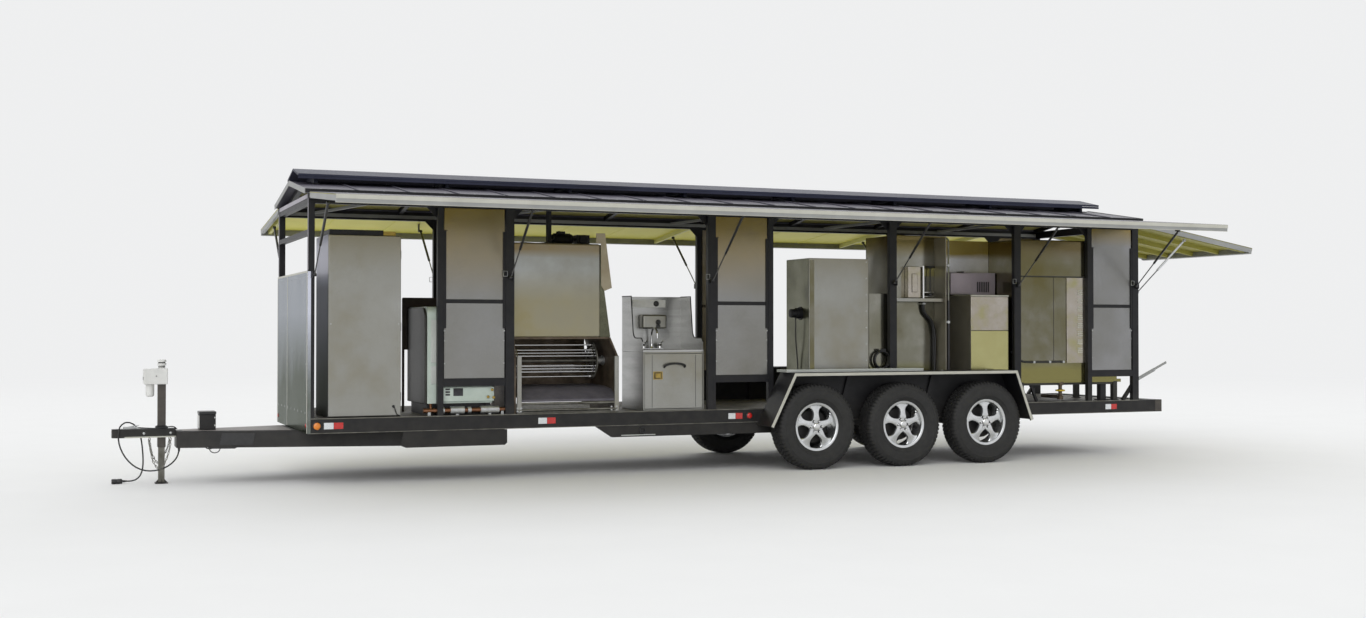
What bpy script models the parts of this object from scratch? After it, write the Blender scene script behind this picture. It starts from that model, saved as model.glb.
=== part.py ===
"""Open-sided kitchen trailer on three axles, with propped awnings.

Metres, +Z up, +X towards the rear, the near side at -Y, the ground at Z = 0.
Places along the trailer are measured from the front edge of the deck. Every
object hangs on one empty, which puts the middle of the whole outline at X = 0.
"""
from math import atan2, cos, hypot, pi, radians, sin, tan

import bmesh
import bpy
from mathutils import Matrix, Vector

# Clearances and laps shared by all pieces
GAP = 0.0003          # between pieces that touch
LAP = 0.008           # how far welded members run into each other
STEP = 0.0015         # faces that would be flush stay this far apart
OVERRUN = 0.02        # how far a cutter runs past the face it opens
WELD = 0.00001        # merge distance of a curve's caps

# Deck and rails
DECK_LENGTH = 8.37
RAIL_LENGTH = 8.66
HALF_WIDTH = 0.85
DECK_TOP = 0.556
DECK_THICK = 0.006
RAIL_HEIGHT = 0.123
RAIL_WIDTH = 0.05
CROSS_HEIGHT = 0.075
CROSS_WIDTH = 0.05
CROSS_COUNT = 13
BUMPER_WIDTH = 0.10
SUBRAIL_DEPTH = 0.099
SUBRAIL_START = 2.47
SUBRAIL_END = 4.20
SUBRAIL_SLANT = 0.15

# Tongue, coupler and jack
COUPLER_TIP = -1.45
COUPLER_REAR = -0.95
COUPLER_WIDTH = 0.10
COUPLER_LOW = 0.385
COUPLER_TOP = 0.457
BEAM_HEIGHT = 0.135
BEAM_WIDTH = 0.05
BEAM_REAR = 1.645
BEAM_FRONT_Y = 0.105
TONGUE_PLATE = 0.006
TONGUE_BOX_PLACE = -0.70
TONGUE_BOX_WIDTH = 0.13
TONGUE_BOX_HEIGHT = 0.155
JACK_PLACE = -1.06
JACK_TUBE = 0.064
JACK_LEG = 0.050
JACK_TUBE_LOW = 0.30
JACK_LEG_TOP = 0.56
JACK_HEAD_LOW = 0.823
JACK_HEAD_TOP = 0.957
JACK_HEAD_FRONT = 0.14
JACK_HEAD_REAR = 0.045
JACK_HEAD_HALF = 0.055
JACK_CAP_TOP = 1.03
JACK_CAP_WIDTH = 0.05
JACK_MOTOR_LOW = 0.72
JACK_MOTOR_RADIUS = 0.034
JACK_COLLAR = 0.096
JACK_COLLAR_THICK = 0.012
JACK_FOOT = 0.10
JACK_FOOT_THICK = 0.010

# Towing lead: a cord from the tongue's crossbar over the coupler to a plug on the ground
LEAD_RADIUS = 0.006
LEAD_STEPS = 4
LEAD_PLUG_RADIUS = 0.021
LEAD_PLUG_LENGTH = 0.085
LEAD_GRIP_RADIUS = 0.012
LEAD_GRIP_LENGTH = 0.035
# The route of the lead's middle line, chosen by hand: along the trailer, across and up
LEAD_ROUTE = ((-0.925, -0.055, 0.2991), (-0.927, -0.056, 0.262), (-0.945, -0.060, 0.212),
              (-0.985, -0.065, 0.166), (-1.045, -0.068, 0.130), (-1.115, -0.069, 0.113),
              (-1.190, -0.069, 0.116), (-1.262, -0.068, 0.146), (-1.322, -0.068, 0.200),
              (-1.366, -0.069, 0.268), (-1.392, -0.069, 0.342), (-1.398, -0.067, 0.414),
              (-1.387, -0.055, 0.475), (-1.350, -0.020, 0.508), (-1.305, 0.022, 0.507),
              (-1.256, 0.056, 0.474), (-1.226, 0.069, 0.412), (-1.211, 0.072, 0.340),
              (-1.203, 0.072, 0.265), (-1.199, 0.072, 0.190), (-1.203, 0.072, 0.120),
              (-1.221, 0.072, 0.064), (-1.256, 0.072, 0.031), (-1.295, 0.072, 0.0215),
              (-1.325, 0.072, 0.0215))

# Upright frames
POST_DEPTH = 0.051
THIN_POST = 0.051
WIDE_POST = 0.076
EAVE_LOW = 2.30
EAVE_TOP = 2.38
FRONT_BAR_LOW = 2.05
FRONT_BAR_HEIGHT = 0.04
# Middle of each post as a share of the deck's length, and its width
NEAR_POST_SHARES = ((0.1302, THIN_POST), (0.2019, WIDE_POST), (0.4269, WIDE_POST),
                    (0.4976, THIN_POST), (0.6526, WIDE_POST), (0.8222, WIDE_POST),
                    (0.9266, THIN_POST))
FAR_POST_SHARES = ((0.1744, WIDE_POST), (0.2497, THIN_POST), (0.4982, THIN_POST),
                   (0.5687, THIN_POST), (0.7742, WIDE_POST), (0.9235, THIN_POST))
# Bays that hold a wall panel, by the number of the post in front of them
NEAR_PANEL_BAYS = (1, 3, 7)
FAR_PANEL_BAYS = (1, 3, 6)
PANEL_SHEET = 0.010
PANEL_SET = 0.014
PANEL_LOW = 0.80
PANEL_RAIL = 0.065
PANEL_BAR = 0.03
PANEL_BAR_PLACE = 1.50
PANEL_BAR_DEPTH = 0.035

# Roof
RIDGE_UNDER = 2.53
ROOF_EDGE_UNDER = 2.388
ROOF_EDGE_OUT = 0.035
ROOF_THICK = 0.022
ROOF_OVERHANG = 0.03
RAFTER_DEPTH = 0.045
RAFTER_WIDTH = 0.04
PURLIN_WIDTH = 0.04
PURLIN_DROP = 0.03
RAFTER_COUNT = 9
PURLIN_SHARES = (-0.55, 0.0, 0.55)
CAP_HALF = 0.31
CAP_EDGE_STANDOFF = 0.073
CAP_RIDGE_STANDOFF = 0.093
CAP_THICK = 0.018
CAP_START = 0.0
CAP_END = 8.30
CAP_LEG_INSET = 0.16
CAP_LEG_COUNT = 8
CAP_LEG_HALF = 0.22
CAP_LEG_WIDTH = 0.03

# Nose panel
NOSE_PANEL_TOP = 1.75
NOSE_PANEL_THICK = 0.006
NOSE_PANEL_RETURN = 0.024

# Awnings: u runs outwards from the hinge, w upwards from the panel's hinge line
HINGE_OUT = 0.055
HINGE_Z = 2.345
HINGE_RADIUS = 0.010
HINGE_LUG = 0.04
AWNING_TOP = 0.045
AWNING_SHEET = 0.008
AWNING_DROP = 0.020
AWNING_RIB_DROP = 0.008
AWNING_EDGE = 0.04
AWNING_RIB = 0.03
AWNING_LENGTH = 8.36
SIDE_AWNING_DEPTH = 1.226
SIDE_AWNING_SLOPE = radians(5.6)
REAR_AWNING_DEPTH = 1.475
REAR_AWNING_SLOPE = radians(9.5)
REAR_RIB_SHARES = (-0.5, 0.0, 0.5)
REAR_LUG_SHARES = (-0.8, -0.4, 0.0, 0.4, 0.8)
# Posts beside which the side awnings have a rib without a strut, by number
NEAR_RIB_POSTS = (2, 5)
FAR_RIB_POSTS = (2, 6)

# Gas struts
STRUT_OUT = 0.60
STRUT_DROP = 0.036
STRUT_POST_GAP = 0.025
STRUT_FOOT_Z = 1.72
REAR_STRUT_FOOT_Z = 1.66
STRUT_RADIUS = 0.011
STRUT_ROD = 0.006
STRUT_EYE = 0.014
STRUT_EYE_WIDTH = 0.028
STRUT_CYLINDER_SHARE = 0.58
STRUT_LUG = 0.008
STRUT_LUG_HEIGHT = 0.05
NOSE_STRUT_PLACE = 0.048
REAR_STRUT_SET = 0.05
# Posts that carry a strut of the modelled set, by number
NEAR_STRUT_POSTS = (3, 6)
FAR_STRUT_POSTS = (3, 5)

# Wheels and axles
TYRE_RADIUS = 0.391
TYRE_WIDTH = 0.235
TYRE_SHOULDER = 0.094
TYRE_BULGE_RADIUS = 0.300
RIM_BARREL = 0.2030
RIM_FLANGE = 0.2205
RIM_HALF = 0.086
RIM_LIP = 0.008
RIM_WALL = 0.010
RIM_DISC_BACK = 0.045
RIM_DISC_FACE = 0.070
RIM_CAP_RADIUS = 0.040
RIM_CAP_FACE = 0.090
SPOKES = 5
WHEEL_STEPS = 24
WINDOW_INNER = 0.085
WINDOW_OUTER = 0.176
WINDOW_HALF_ANGLE = radians(22)
WHEEL_OUT = 0.1425
FIRST_AXLE = 4.52
AXLE_SPACING = 0.915
AXLE_COUNT = 3
AXLE_TUBE = 0.076
ARM_LENGTH = 0.15
ARM_HEIGHT = 0.06
ARM_WIDTH = 0.035
DRUM_RADIUS = 0.150
DRUM_OUT = 0.04
DRUM_WIDTH = 0.09
SPINDLE_RADIUS = 0.030

# Fenders
FENDER_REACH = 0.29
FENDER_TOP = 0.887
FENDER_LOW = 0.41
FENDER_REACH_FRONT = 0.50
FENDER_REACH_REAR = 0.50
FENDER_TOP_REACH_FRONT = 0.26
FENDER_TOP_REACH_REAR = 0.32
FENDER_THICK = 0.006
FENDER_LIP = 0.035
FENDER_LIP_WIDTH = 0.012
FENDER_WALL_LOW = 0.52

# Equipment on the deck
FACE_SET = 0.055
CABINET_START, CABINET_LENGTH, CABINET_DEPTH, CABINET_HEIGHT = 0.17, 0.60, 0.60, 1.50
BOILER_START, BOILER_LENGTH, BOILER_DEPTH = 0.97, 0.60, 0.68
BOILER_BASE, BOILER_TOP, BOILER_BASE_SET = 0.10, 1.47, 0.03
ROTARY_START, ROTARY_LENGTH, ROTARY_DEPTH = 1.74, 0.90, 0.72
ROTARY_CHEEK, ROTARY_HOOD_LOW, ROTARY_HOOD_TOP = 0.02, 1.21, 2.03
ROTARY_FRONT_LOW, ROTARY_HOOD_SET = 1.03, 0.055
ROTARY_TRAY_Z, ROTARY_TRAY_THICK = 0.66, 0.02
ROTARY_MOTOR_RADIUS, ROTARY_MOTOR_LENGTH = 0.055, 0.22
REEL_Z, REEL_RADIUS, REEL_SHAFT, REEL_ROD = 1.00, 0.165, 0.015, 0.006
REEL_DISC, REEL_GROUPS, REEL_BACK = 0.010, 6, 0.36
SINK_START, SINK_LENGTH, SINK_DEPTH, SINK_HEIGHT = 2.93, 0.59, 0.54, 0.52
SINK_WALL, SINK_TOP_THICK, SINK_BOWL_DEPTH, SINK_BOWL_RIM = 0.02, 0.02, 0.14, 0.09
SINK_GUARD_TOP, SINK_GUARD_FRONT, SINK_GUARD_THICK = 1.58, 1.20, 0.012
SINK_DOOR_THICK, SINK_DOOR_MARGIN = 0.018, 0.015
TALL_START, TALL_LENGTH, TALL_DEPTH, TALL_TOP = 4.59, 0.63, 0.47, 1.944
CHILLER_START, CHILLER_LENGTH, CHILLER_DEPTH, CHILLER_TOP = 5.51, 0.58, 0.55, 2.18
PARTITION_END, PARTITION_THICK = 6.36, 0.02
SMALL_START, SMALL_LENGTH, SMALL_DEPTH, SMALL_TOP = 6.37, 0.44, 0.50, 1.615
TANK_START, TANK_LENGTH, TANK_DEPTH = 6.94, 1.20, 0.66
TANK_LOW, TANK_TOP, TANK_LEG = 0.75, 2.175, 0.05

RAIL_LOW = DECK_TOP - RAIL_HEIGHT
DECK_UNDER = DECK_TOP - DECK_THICK
POST_OUTER = HALF_WIDTH - STEP
POST_INNER = HALF_WIDTH - POST_DEPTH + STEP
BEAM_INNER = HALF_WIDTH - POST_DEPTH
FACE_Y = -(HALF_WIDTH - FACE_SET)
FLOOR = DECK_TOP + GAP
ROOF_EDGE_Y = HALF_WIDTH + ROOF_EDGE_OUT
WHEEL_Y = HALF_WIDTH + WHEEL_OUT
FENDER_OUT = HALF_WIDTH + FENDER_REACH
LAST_AXLE = FIRST_AXLE + AXLE_SPACING * (AXLE_COUNT - 1)
FENDER_START = FIRST_AXLE - FENDER_REACH_FRONT
FENDER_TOP_START = FIRST_AXLE - FENDER_TOP_REACH_FRONT
FENDER_TOP_END = LAST_AXLE + FENDER_TOP_REACH_REAR
FENDER_END = LAST_AXLE + FENDER_REACH_REAR
DRUM_INNER_Y = HALF_WIDTH + DRUM_OUT
HINGE_Y = HALF_WIDTH + HINGE_OUT
REAR_STRUT_Y = HALF_WIDTH - REAR_STRUT_SET
REAR_HINGE_X = DECK_LENGTH + HINGE_OUT
REAR_TIP = (REAR_HINGE_X + REAR_AWNING_DEPTH * cos(REAR_AWNING_SLOPE)
            + AWNING_TOP * sin(REAR_AWNING_SLOPE))
MIDDLE = (COUPLER_TIP + REAR_TIP) / 2
NEAR, FAR = -1, 1


def clear_scene():
    """Start from an empty file."""
    for item in list(bpy.data.objects):
        bpy.data.objects.remove(item)


def collection(name):
    """Make a collection under the scene."""
    made = bpy.data.collections.new(name)
    bpy.context.scene.collection.children.link(made)
    return made


def finish(name, colour, roughness, metallic):
    """Make a plain Principled material."""
    made = bpy.data.materials.new(name)
    made.use_nodes = True
    shader = made.node_tree.nodes["Principled BSDF"]
    shader.inputs["Base Color"].default_value = (*colour, 1)
    shader.inputs["Roughness"].default_value = roughness
    shader.inputs["Metallic"].default_value = metallic
    return made


clear_scene()
PARTS = collection("kitchen_trailer")
CUTTERS = collection("cutters")
ORIGIN = bpy.data.objects.new("trailer_origin", None)
PARTS.objects.link(ORIGIN)
ORIGIN.location = (-MIDDLE, 0, 0)

BLACK = finish("black_frame", (0.020, 0.021, 0.023), 0.35, 0.0)
STEEL = finish("stainless_steel", (0.42, 0.40, 0.36), 0.30, 1.0)
SKIN = finish("roof_sheet", (0.30, 0.27, 0.29), 0.50, 0.0)
GLOSS = finish("ridge_black", (0.010, 0.011, 0.014), 0.12, 0.0)
CREAM = finish("awning_sheet", (0.55, 0.53, 0.46), 0.45, 0.0)
RUBBER = finish("tyre_rubber", (0.018, 0.018, 0.018), 0.85, 0.0)
ALLOY = finish("polished_alloy", (0.62, 0.62, 0.63), 0.18, 1.0)
MINT = finish("mint_enamel", (0.42, 0.60, 0.54), 0.40, 0.0)
DECK = finish("deck_steel", (0.06, 0.06, 0.06), 0.60, 0.0)
WHITE = finish("jack_white", (0.62, 0.63, 0.60), 0.45, 0.0)


def cube_into(mesh, low, high):
    """Add a box between two corners."""
    first, second = Vector(low), Vector(high)
    size = [abs(part) for part in second - first]
    place = Matrix.Translation((first + second) / 2) @ Matrix.Diagonal((*size, 1))
    bmesh.ops.create_cube(mesh, size=1, matrix=place)


def rod_into(mesh, start, end, radius, sides=12):
    """Add a cylinder between two points."""
    first, second = Vector(start), Vector(end)
    along = second - first
    place = Matrix.Translation((first + second) / 2) @ along.to_track_quat("Z", "Y").to_matrix().to_4x4()
    bmesh.ops.create_cone(mesh, cap_ends=True, segments=sides, radius1=radius,
                          radius2=radius, depth=along.length, matrix=place)


# How the two directions of a flat outline and its thickness lie in space
PLANES = {
    "XY": Matrix(((1, 0, 0), (0, 1, 0), (0, 0, 1))).to_4x4(),
    "XZ": Matrix(((1, 0, 0), (0, 0, -1), (0, 1, 0))).to_4x4(),
    "YZ": Matrix(((0, 0, 1), (1, 0, 0), (0, 1, 0))).to_4x4(),
}
NORMAL_SIGN = {"XY": 1, "XZ": -1, "YZ": 1}


def outline_into(mesh, plane, loops, low, high):
    """Add a flat outline, with its holes, between two places across its plane."""
    curve = bpy.data.curves.new("outline", "CURVE")
    curve.dimensions = "2D"
    curve.fill_mode = "BOTH"
    curve.extrude = abs(high - low) / 2
    for loop in loops:
        spline = curve.splines.new("POLY")
        spline.points.add(len(loop) - 1)
        for point, (across, up) in zip(spline.points, loop):
            point.co = (across, up, 0, 1)
        spline.use_cyclic_u = True
    holder = bpy.data.objects.new("outline", curve)
    bpy.context.scene.collection.objects.link(holder)
    graph = bpy.context.evaluated_depsgraph_get()
    flat = bpy.data.meshes.new_from_object(holder.evaluated_get(graph))
    bpy.data.objects.remove(holder)
    piece = bmesh.new()
    piece.from_mesh(flat)
    bmesh.ops.remove_doubles(piece, verts=piece.verts, dist=WELD)
    shift = Matrix.Translation((0, 0, NORMAL_SIGN[plane] * (low + high) / 2))
    bmesh.ops.transform(piece, matrix=PLANES[plane] @ shift, verts=piece.verts)
    piece.to_mesh(flat)
    piece.free()
    mesh.from_mesh(flat)
    bpy.data.meshes.remove(flat)


def ribbon(points, thickness):
    """Return the outline of a bent strip whose outer line is given."""
    sides = [(b - a).normalized() for a, b in zip(points, points[1:])]
    normals = [Vector((side.y, -side.x)) for side in sides]
    inner = []
    for number, point in enumerate(points):
        before = normals[max(number - 1, 0)]
        after = normals[min(number, len(normals) - 1)]
        inner.append(point + (before + after) * thickness / (1 + before.dot(after)))
    return [tuple(point) for point in points] + [tuple(point) for point in reversed(inner)]


class Body:
    """One closed piece, made of shapes that are welded or cut."""

    def __init__(self):
        self.shapes = []
        self.cuts = []

    def box(self, low, high):
        """Add a box."""
        shape = bmesh.new()
        cube_into(shape, low, high)
        self.shapes.append(shape)

    def rod(self, start, end, radius, sides=12):
        """Add a cylinder."""
        shape = bmesh.new()
        rod_into(shape, start, end, radius, sides)
        self.shapes.append(shape)

    def plate(self, plane, loops, low, high):
        """Add an extruded outline."""
        shape = bmesh.new()
        outline_into(shape, plane, loops, low, high)
        self.shapes.append(shape)

    def cut_box(self, low, high):
        """Take a box away."""
        shape = bmesh.new()
        cube_into(shape, low, high)
        self.cuts.append(shape)

    def build(self, name, material, pivot=(0, 0, 0), turn=(0, 0, 0)):
        """Weld the shapes, take the cuts away and place the object."""
        made = holding(name, self.shapes[:-1] or self.shapes, PARTS)
        made.data.materials.append(material)
        if len(self.shapes) > 1:
            joined(made, [self.shapes[-1]], "UNION")
        for shape in self.cuts:
            joined(made, [shape], "DIFFERENCE")
        made.location = pivot
        made.rotation_euler = turn
        for cutter in [item for item in CUTTERS.objects if item.name.startswith(name + "_")]:
            if cutter.parent is None:
                cutter.parent = made
        return made


def holding(name, shapes, group):
    """Make an object that holds the given shapes."""
    mesh = bpy.data.meshes.new(name)
    whole = bmesh.new()
    for shape in shapes:
        part = bpy.data.meshes.new("shape")
        shape.to_mesh(part)
        whole.from_mesh(part)
        bpy.data.meshes.remove(part)
    whole.to_mesh(mesh)
    whole.free()
    made = bpy.data.objects.new(name, mesh)
    group.objects.link(made)
    if group is PARTS:
        made.parent = ORIGIN
    return made


def joined(target, shapes, operation):
    """Weld shapes to a piece, or cut them from it."""
    cutter = holding(target.name + "_" + operation.lower(), shapes, CUTTERS)
    cutter.hide_render = True
    cutter.display_type = "WIRE"
    step = target.modifiers.new(operation.lower(), "BOOLEAN")
    step.operation = operation
    step.object = cutter
    step.solver = "EXACT"
    step.use_self = operation == "UNION"
    return step


def posts(side):
    """Return the middle and width of every post of a side, front to rear."""
    shares = NEAR_POST_SHARES if side == NEAR else FAR_POST_SHARES
    inner = [(share * DECK_LENGTH, width) for share, width in shares]
    front = (STEP + THIN_POST / 2, THIN_POST)
    rear = (DECK_LENGTH - STEP - WIDE_POST / 2, WIDE_POST)
    return [front] + inner + [rear]


def strut_places(side):
    """Return where the struts of a side stand, along the trailer."""
    uprights = posts(side)
    numbers = NEAR_STRUT_POSTS if side == NEAR else FAR_STRUT_POSTS
    return [NOSE_STRUT_PLACE] + [uprights[number][0] for number in numbers]


def build_chassis():
    """Main rails, crossmembers, sub-rails and bumper."""
    frame = Body()
    for side in (NEAR, FAR):
        frame.box((0, side * HALF_WIDTH, RAIL_LOW),
                  (RAIL_LENGTH, side * (HALF_WIDTH - RAIL_WIDTH), DECK_TOP))
        slant = [(SUBRAIL_START, RAIL_LOW + LAP), (SUBRAIL_START, RAIL_LOW - STEP),
                 (SUBRAIL_START + SUBRAIL_SLANT, RAIL_LOW - SUBRAIL_DEPTH),
                 (SUBRAIL_END, RAIL_LOW - SUBRAIL_DEPTH), (SUBRAIL_END, RAIL_LOW + LAP)]
        low, high = sorted((side * (HALF_WIDTH - STEP), side * (HALF_WIDTH - RAIL_WIDTH + STEP)))
        frame.plate("XZ", [slant], low, high)
    reach = HALF_WIDTH - RAIL_WIDTH + LAP
    for number in range(CROSS_COUNT):
        start = STEP + (DECK_LENGTH - CROSS_WIDTH) * number / (CROSS_COUNT - 1)
        frame.box((start, -reach, DECK_UNDER - GAP - CROSS_HEIGHT),
                  (start + CROSS_WIDTH, reach, DECK_UNDER - GAP))
    frame.box((RAIL_LENGTH - BUMPER_WIDTH, -reach, RAIL_LOW + STEP),
              (RAIL_LENGTH - STEP, reach, DECK_TOP - STEP))
    frame.build("chassis_frame", BLACK)
    deck = Body()
    across = HALF_WIDTH - RAIL_WIDTH - GAP
    deck.box((0, -across, DECK_UNDER), (DECK_LENGTH, across, DECK_TOP))
    deck.build("deck_plate", DECK)


def build_tongue():
    """The A-frame under the deck, its plate and box, the coupler and the jack."""
    top = RAIL_LOW - GAP
    low = top - BEAM_HEIGHT
    rear_y = HALF_WIDTH - BEAM_WIDTH / 2
    frame = Body()
    for side in (NEAR, FAR):
        inner = BEAM_FRONT_Y - BEAM_WIDTH / 2
        outer = BEAM_FRONT_Y + BEAM_WIDTH / 2
        beam = [(COUPLER_REAR + STEP, side * inner), (BEAM_REAR, side * (rear_y - BEAM_WIDTH / 2)),
                (BEAM_REAR, side * (rear_y + BEAM_WIDTH / 2)), (COUPLER_REAR + STEP, side * outer)]
        frame.plate("XY", [beam], low, top)
    front = COUPLER_REAR + BEAM_WIDTH
    across = BEAM_FRONT_Y
    frame.box((COUPLER_REAR, -across, low + STEP), (front, across, top - STEP))
    slope = (rear_y - BEAM_FRONT_Y) / (BEAM_REAR - COUPLER_REAR)
    plate_rear = -NOSE_PANEL_THICK - LAP
    half_rear = BEAM_FRONT_Y + slope * (plate_rear - COUPLER_REAR)
    plate = [(COUPLER_REAR + STEP, -BEAM_FRONT_Y), (plate_rear, -half_rear),
             (plate_rear, half_rear), (COUPLER_REAR + STEP, BEAM_FRONT_Y)]
    plate_low = top - TONGUE_PLATE / 2
    plate_top = plate_low + TONGUE_PLATE
    frame.plate("XY", [plate], plate_low, plate_top)
    reach = BEAM_FRONT_Y + slope * (-COUPLER_REAR)
    frame.box((-BEAM_WIDTH - OVERRUN, -reach + BEAM_WIDTH / 2, low + STEP),
              (-OVERRUN, reach - BEAM_WIDTH / 2, plate_low + STEP))
    half = TONGUE_BOX_WIDTH / 2
    frame.box((TONGUE_BOX_PLACE - half, -half, plate_top - TONGUE_PLATE / 2),
              (TONGUE_BOX_PLACE + half, half, plate_top + TONGUE_BOX_HEIGHT))
    frame.build("tongue_frame", BLACK)

    coupler = Body()
    half = COUPLER_WIDTH / 2
    nose = COUPLER_TIP + half
    arc = [(nose - half * sin(pi * step / 8), half * cos(pi * step / 8)) for step in range(9)]
    hole = JACK_TUBE / 2 + GAP
    opening = [(JACK_PLACE - hole, -hole), (JACK_PLACE + hole, -hole),
               (JACK_PLACE + hole, hole), (JACK_PLACE - hole, hole)]
    body = [(COUPLER_REAR - GAP, half)] + arc + [(COUPLER_REAR - GAP, -half)]
    coupler.plate("XY", [body, opening], COUPLER_LOW, COUPLER_TOP)
    coupler.build("coupler", BLACK)

    jack = Body()
    outer, inner = JACK_TUBE / 2, JACK_LEG / 2 + GAP
    square = [(-1, -1), (1, -1), (1, 1), (-1, 1)]
    wall = [[(JACK_PLACE + outer * a, outer * b) for a, b in square],
            [(JACK_PLACE + inner * a, inner * b) for a, b in square]]
    jack.plate("XY", wall, JACK_TUBE_LOW, JACK_HEAD_LOW + LAP)
    collar = JACK_COLLAR / 2
    bore = JACK_TUBE / 2 - STEP
    ring = [[(JACK_PLACE + collar * a, collar * b) for a, b in square],
            [(JACK_PLACE + bore * a, bore * b) for a, b in square]]
    jack.plate("XY", ring, COUPLER_TOP + GAP, COUPLER_TOP + GAP + JACK_COLLAR_THICK)
    jack.box((JACK_PLACE - JACK_HEAD_FRONT, -JACK_HEAD_HALF, JACK_HEAD_LOW),
             (JACK_PLACE + JACK_HEAD_REAR, JACK_HEAD_HALF, JACK_HEAD_TOP))
    cap = JACK_CAP_WIDTH / 2
    jack.box((JACK_PLACE - cap, -cap, JACK_HEAD_TOP - LAP), (JACK_PLACE + cap, cap, JACK_CAP_TOP))
    motor = JACK_PLACE - JACK_HEAD_FRONT + JACK_MOTOR_RADIUS + LAP
    jack.rod((motor, 0, JACK_MOTOR_LOW), (motor, 0, JACK_HEAD_LOW + LAP), JACK_MOTOR_RADIUS)
    jack.build("jack_tube", WHITE)

    leg = Body()
    half, foot = JACK_LEG / 2, JACK_FOOT / 2
    leg.box((-foot, -foot, 0), (foot, foot, JACK_FOOT_THICK))
    leg.box((-half, -half, JACK_FOOT_THICK / 2), (half, half, JACK_LEG_TOP))
    leg.build("jack_leg", ALLOY, (JACK_PLACE, 0, 0))


def smooth_route(points, steps):
    """Return a smooth line through the points of a route, with some steps between each two."""
    route = [Vector(point) for point in points]
    line = []
    for number in range(len(route) - 1):
        start, end = route[number], route[number + 1]
        before = route[number - 1] if number else start * 2 - end
        after = route[number + 2] if number + 2 < len(route) else end * 2 - start
        first, last = (end - before) / 2, (after - start) / 2
        for step in range(steps):
            part = step / steps
            line.append(start * (2 * part**3 - 3 * part**2 + 1) + first * (part**3 - 2 * part**2 + part)
                        + end * (3 * part**2 - 2 * part**3) + last * (part**3 - part**2))
    return line + [route[-1]]


def build_towing_lead():
    """The free lead and the plug on its end."""
    line = smooth_route(LEAD_ROUTE, LEAD_STEPS)[::LEAD_STEPS // 2]
    curve = bpy.data.curves.new("towing_lead", "CURVE")
    curve.dimensions = "3D"
    curve.bevel_depth = LEAD_RADIUS
    curve.bevel_resolution = 2
    curve.use_fill_caps = True
    spline = curve.splines.new("POLY")
    spline.points.add(len(line) - 1)
    for point, place in zip(spline.points, line):
        point.co = (*place, 1)
    lead = bpy.data.objects.new("towing_lead", curve)
    PARTS.objects.link(lead)
    lead.parent = ORIGIN
    curve.materials.append(RUBBER)
    end = line[-1]
    plug = Body()
    start = end.x - GAP
    grip = start - LEAD_GRIP_LENGTH
    plug.rod((start, end.y, end.z), (grip - LAP, end.y, end.z), LEAD_GRIP_RADIUS)
    plug.rod((grip, end.y, end.z), (grip - LEAD_PLUG_LENGTH, end.y, end.z), LEAD_PLUG_RADIUS)
    plug.build("lead_plug", RUBBER)


def build_side_frame(side):
    """Posts and eave beam of one side, with the lugs that the awning hangs on."""
    frame = Body()
    frame.box((0, side * HALF_WIDTH, EAVE_LOW), (DECK_LENGTH, side * BEAM_INNER, EAVE_TOP))
    for middle, width in posts(side):
        frame.box((middle - width / 2, side * POST_OUTER, FLOOR),
                  (middle + width / 2, side * POST_INNER, EAVE_LOW + LAP))
        lug = HINGE_LUG / 2
        frame.box((middle - lug, side * (HALF_WIDTH - LAP), HINGE_Z - lug / 2),
                  (middle + lug, side * (HINGE_Y - HINGE_RADIUS - GAP), HINGE_Z + lug / 2))
    if side == NEAR:
        for place, low, high in ((STEP, FRONT_BAR_LOW, FRONT_BAR_LOW + FRONT_BAR_HEIGHT),
                                 (STEP * 2, EAVE_LOW + STEP, EAVE_TOP - STEP),
                                 (DECK_LENGTH - THIN_POST - STEP, EAVE_LOW + STEP, EAVE_TOP - STEP)):
            frame.box((place, -POST_INNER - LAP, low),
                      (place + THIN_POST - STEP * 2, BEAM_INNER - GAP, high))
        for share in REAR_LUG_SHARES:
            middle = share * HALF_WIDTH
            frame.box((DECK_LENGTH - POST_DEPTH / 2, middle - HINGE_LUG / 2, HINGE_Z - HINGE_LUG / 4),
                      (REAR_HINGE_X - HINGE_RADIUS - GAP, middle + HINGE_LUG / 2, HINGE_Z + HINGE_LUG / 4))
    for place in strut_places(side):
        lug_end = place - STRUT_EYE_WIDTH / 2 - GAP
        low, high = STRUT_FOOT_Z - STRUT_LUG_HEIGHT / 2, STRUT_FOOT_Z + STRUT_LUG_HEIGHT / 2
        frame.box((lug_end - STRUT_LUG, side * (POST_OUTER - LAP), low),
                  (lug_end, side * (HALF_WIDTH + STRUT_POST_GAP + STRUT_EYE), high))
    frame.build("side_frame_near" if side == NEAR else "side_frame_far", BLACK)


def build_panels(side):
    """Stainless wall panels between neighbouring posts of one side."""
    uprights = posts(side)
    bays = NEAR_PANEL_BAYS if side == NEAR else FAR_PANEL_BAYS
    word = "near" if side == NEAR else "far"
    for number, bay in enumerate(bays, 1):
        start = uprights[bay][0] + uprights[bay][1] / 2 + GAP
        end = uprights[bay + 1][0] - uprights[bay + 1][1] / 2 - GAP
        panel = Body()
        face = HALF_WIDTH - PANEL_SET
        panel.box((start, side * face, PANEL_LOW + PANEL_RAIL / 2),
                  (end, side * (face - PANEL_SHEET), EAVE_LOW - GAP))
        panel.box((start + STEP, side * (HALF_WIDTH - STEP * 2), PANEL_LOW),
                  (end - STEP, side * (BEAM_INNER + STEP), PANEL_LOW + PANEL_RAIL))
        panel.box((start + STEP, side * (face + STEP * 2), PANEL_BAR_PLACE),
                  (end - STEP, side * (face - PANEL_BAR_DEPTH), PANEL_BAR_PLACE + PANEL_BAR))
        panel.build(f"wall_panel_{word}_{number}", STEEL)


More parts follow.
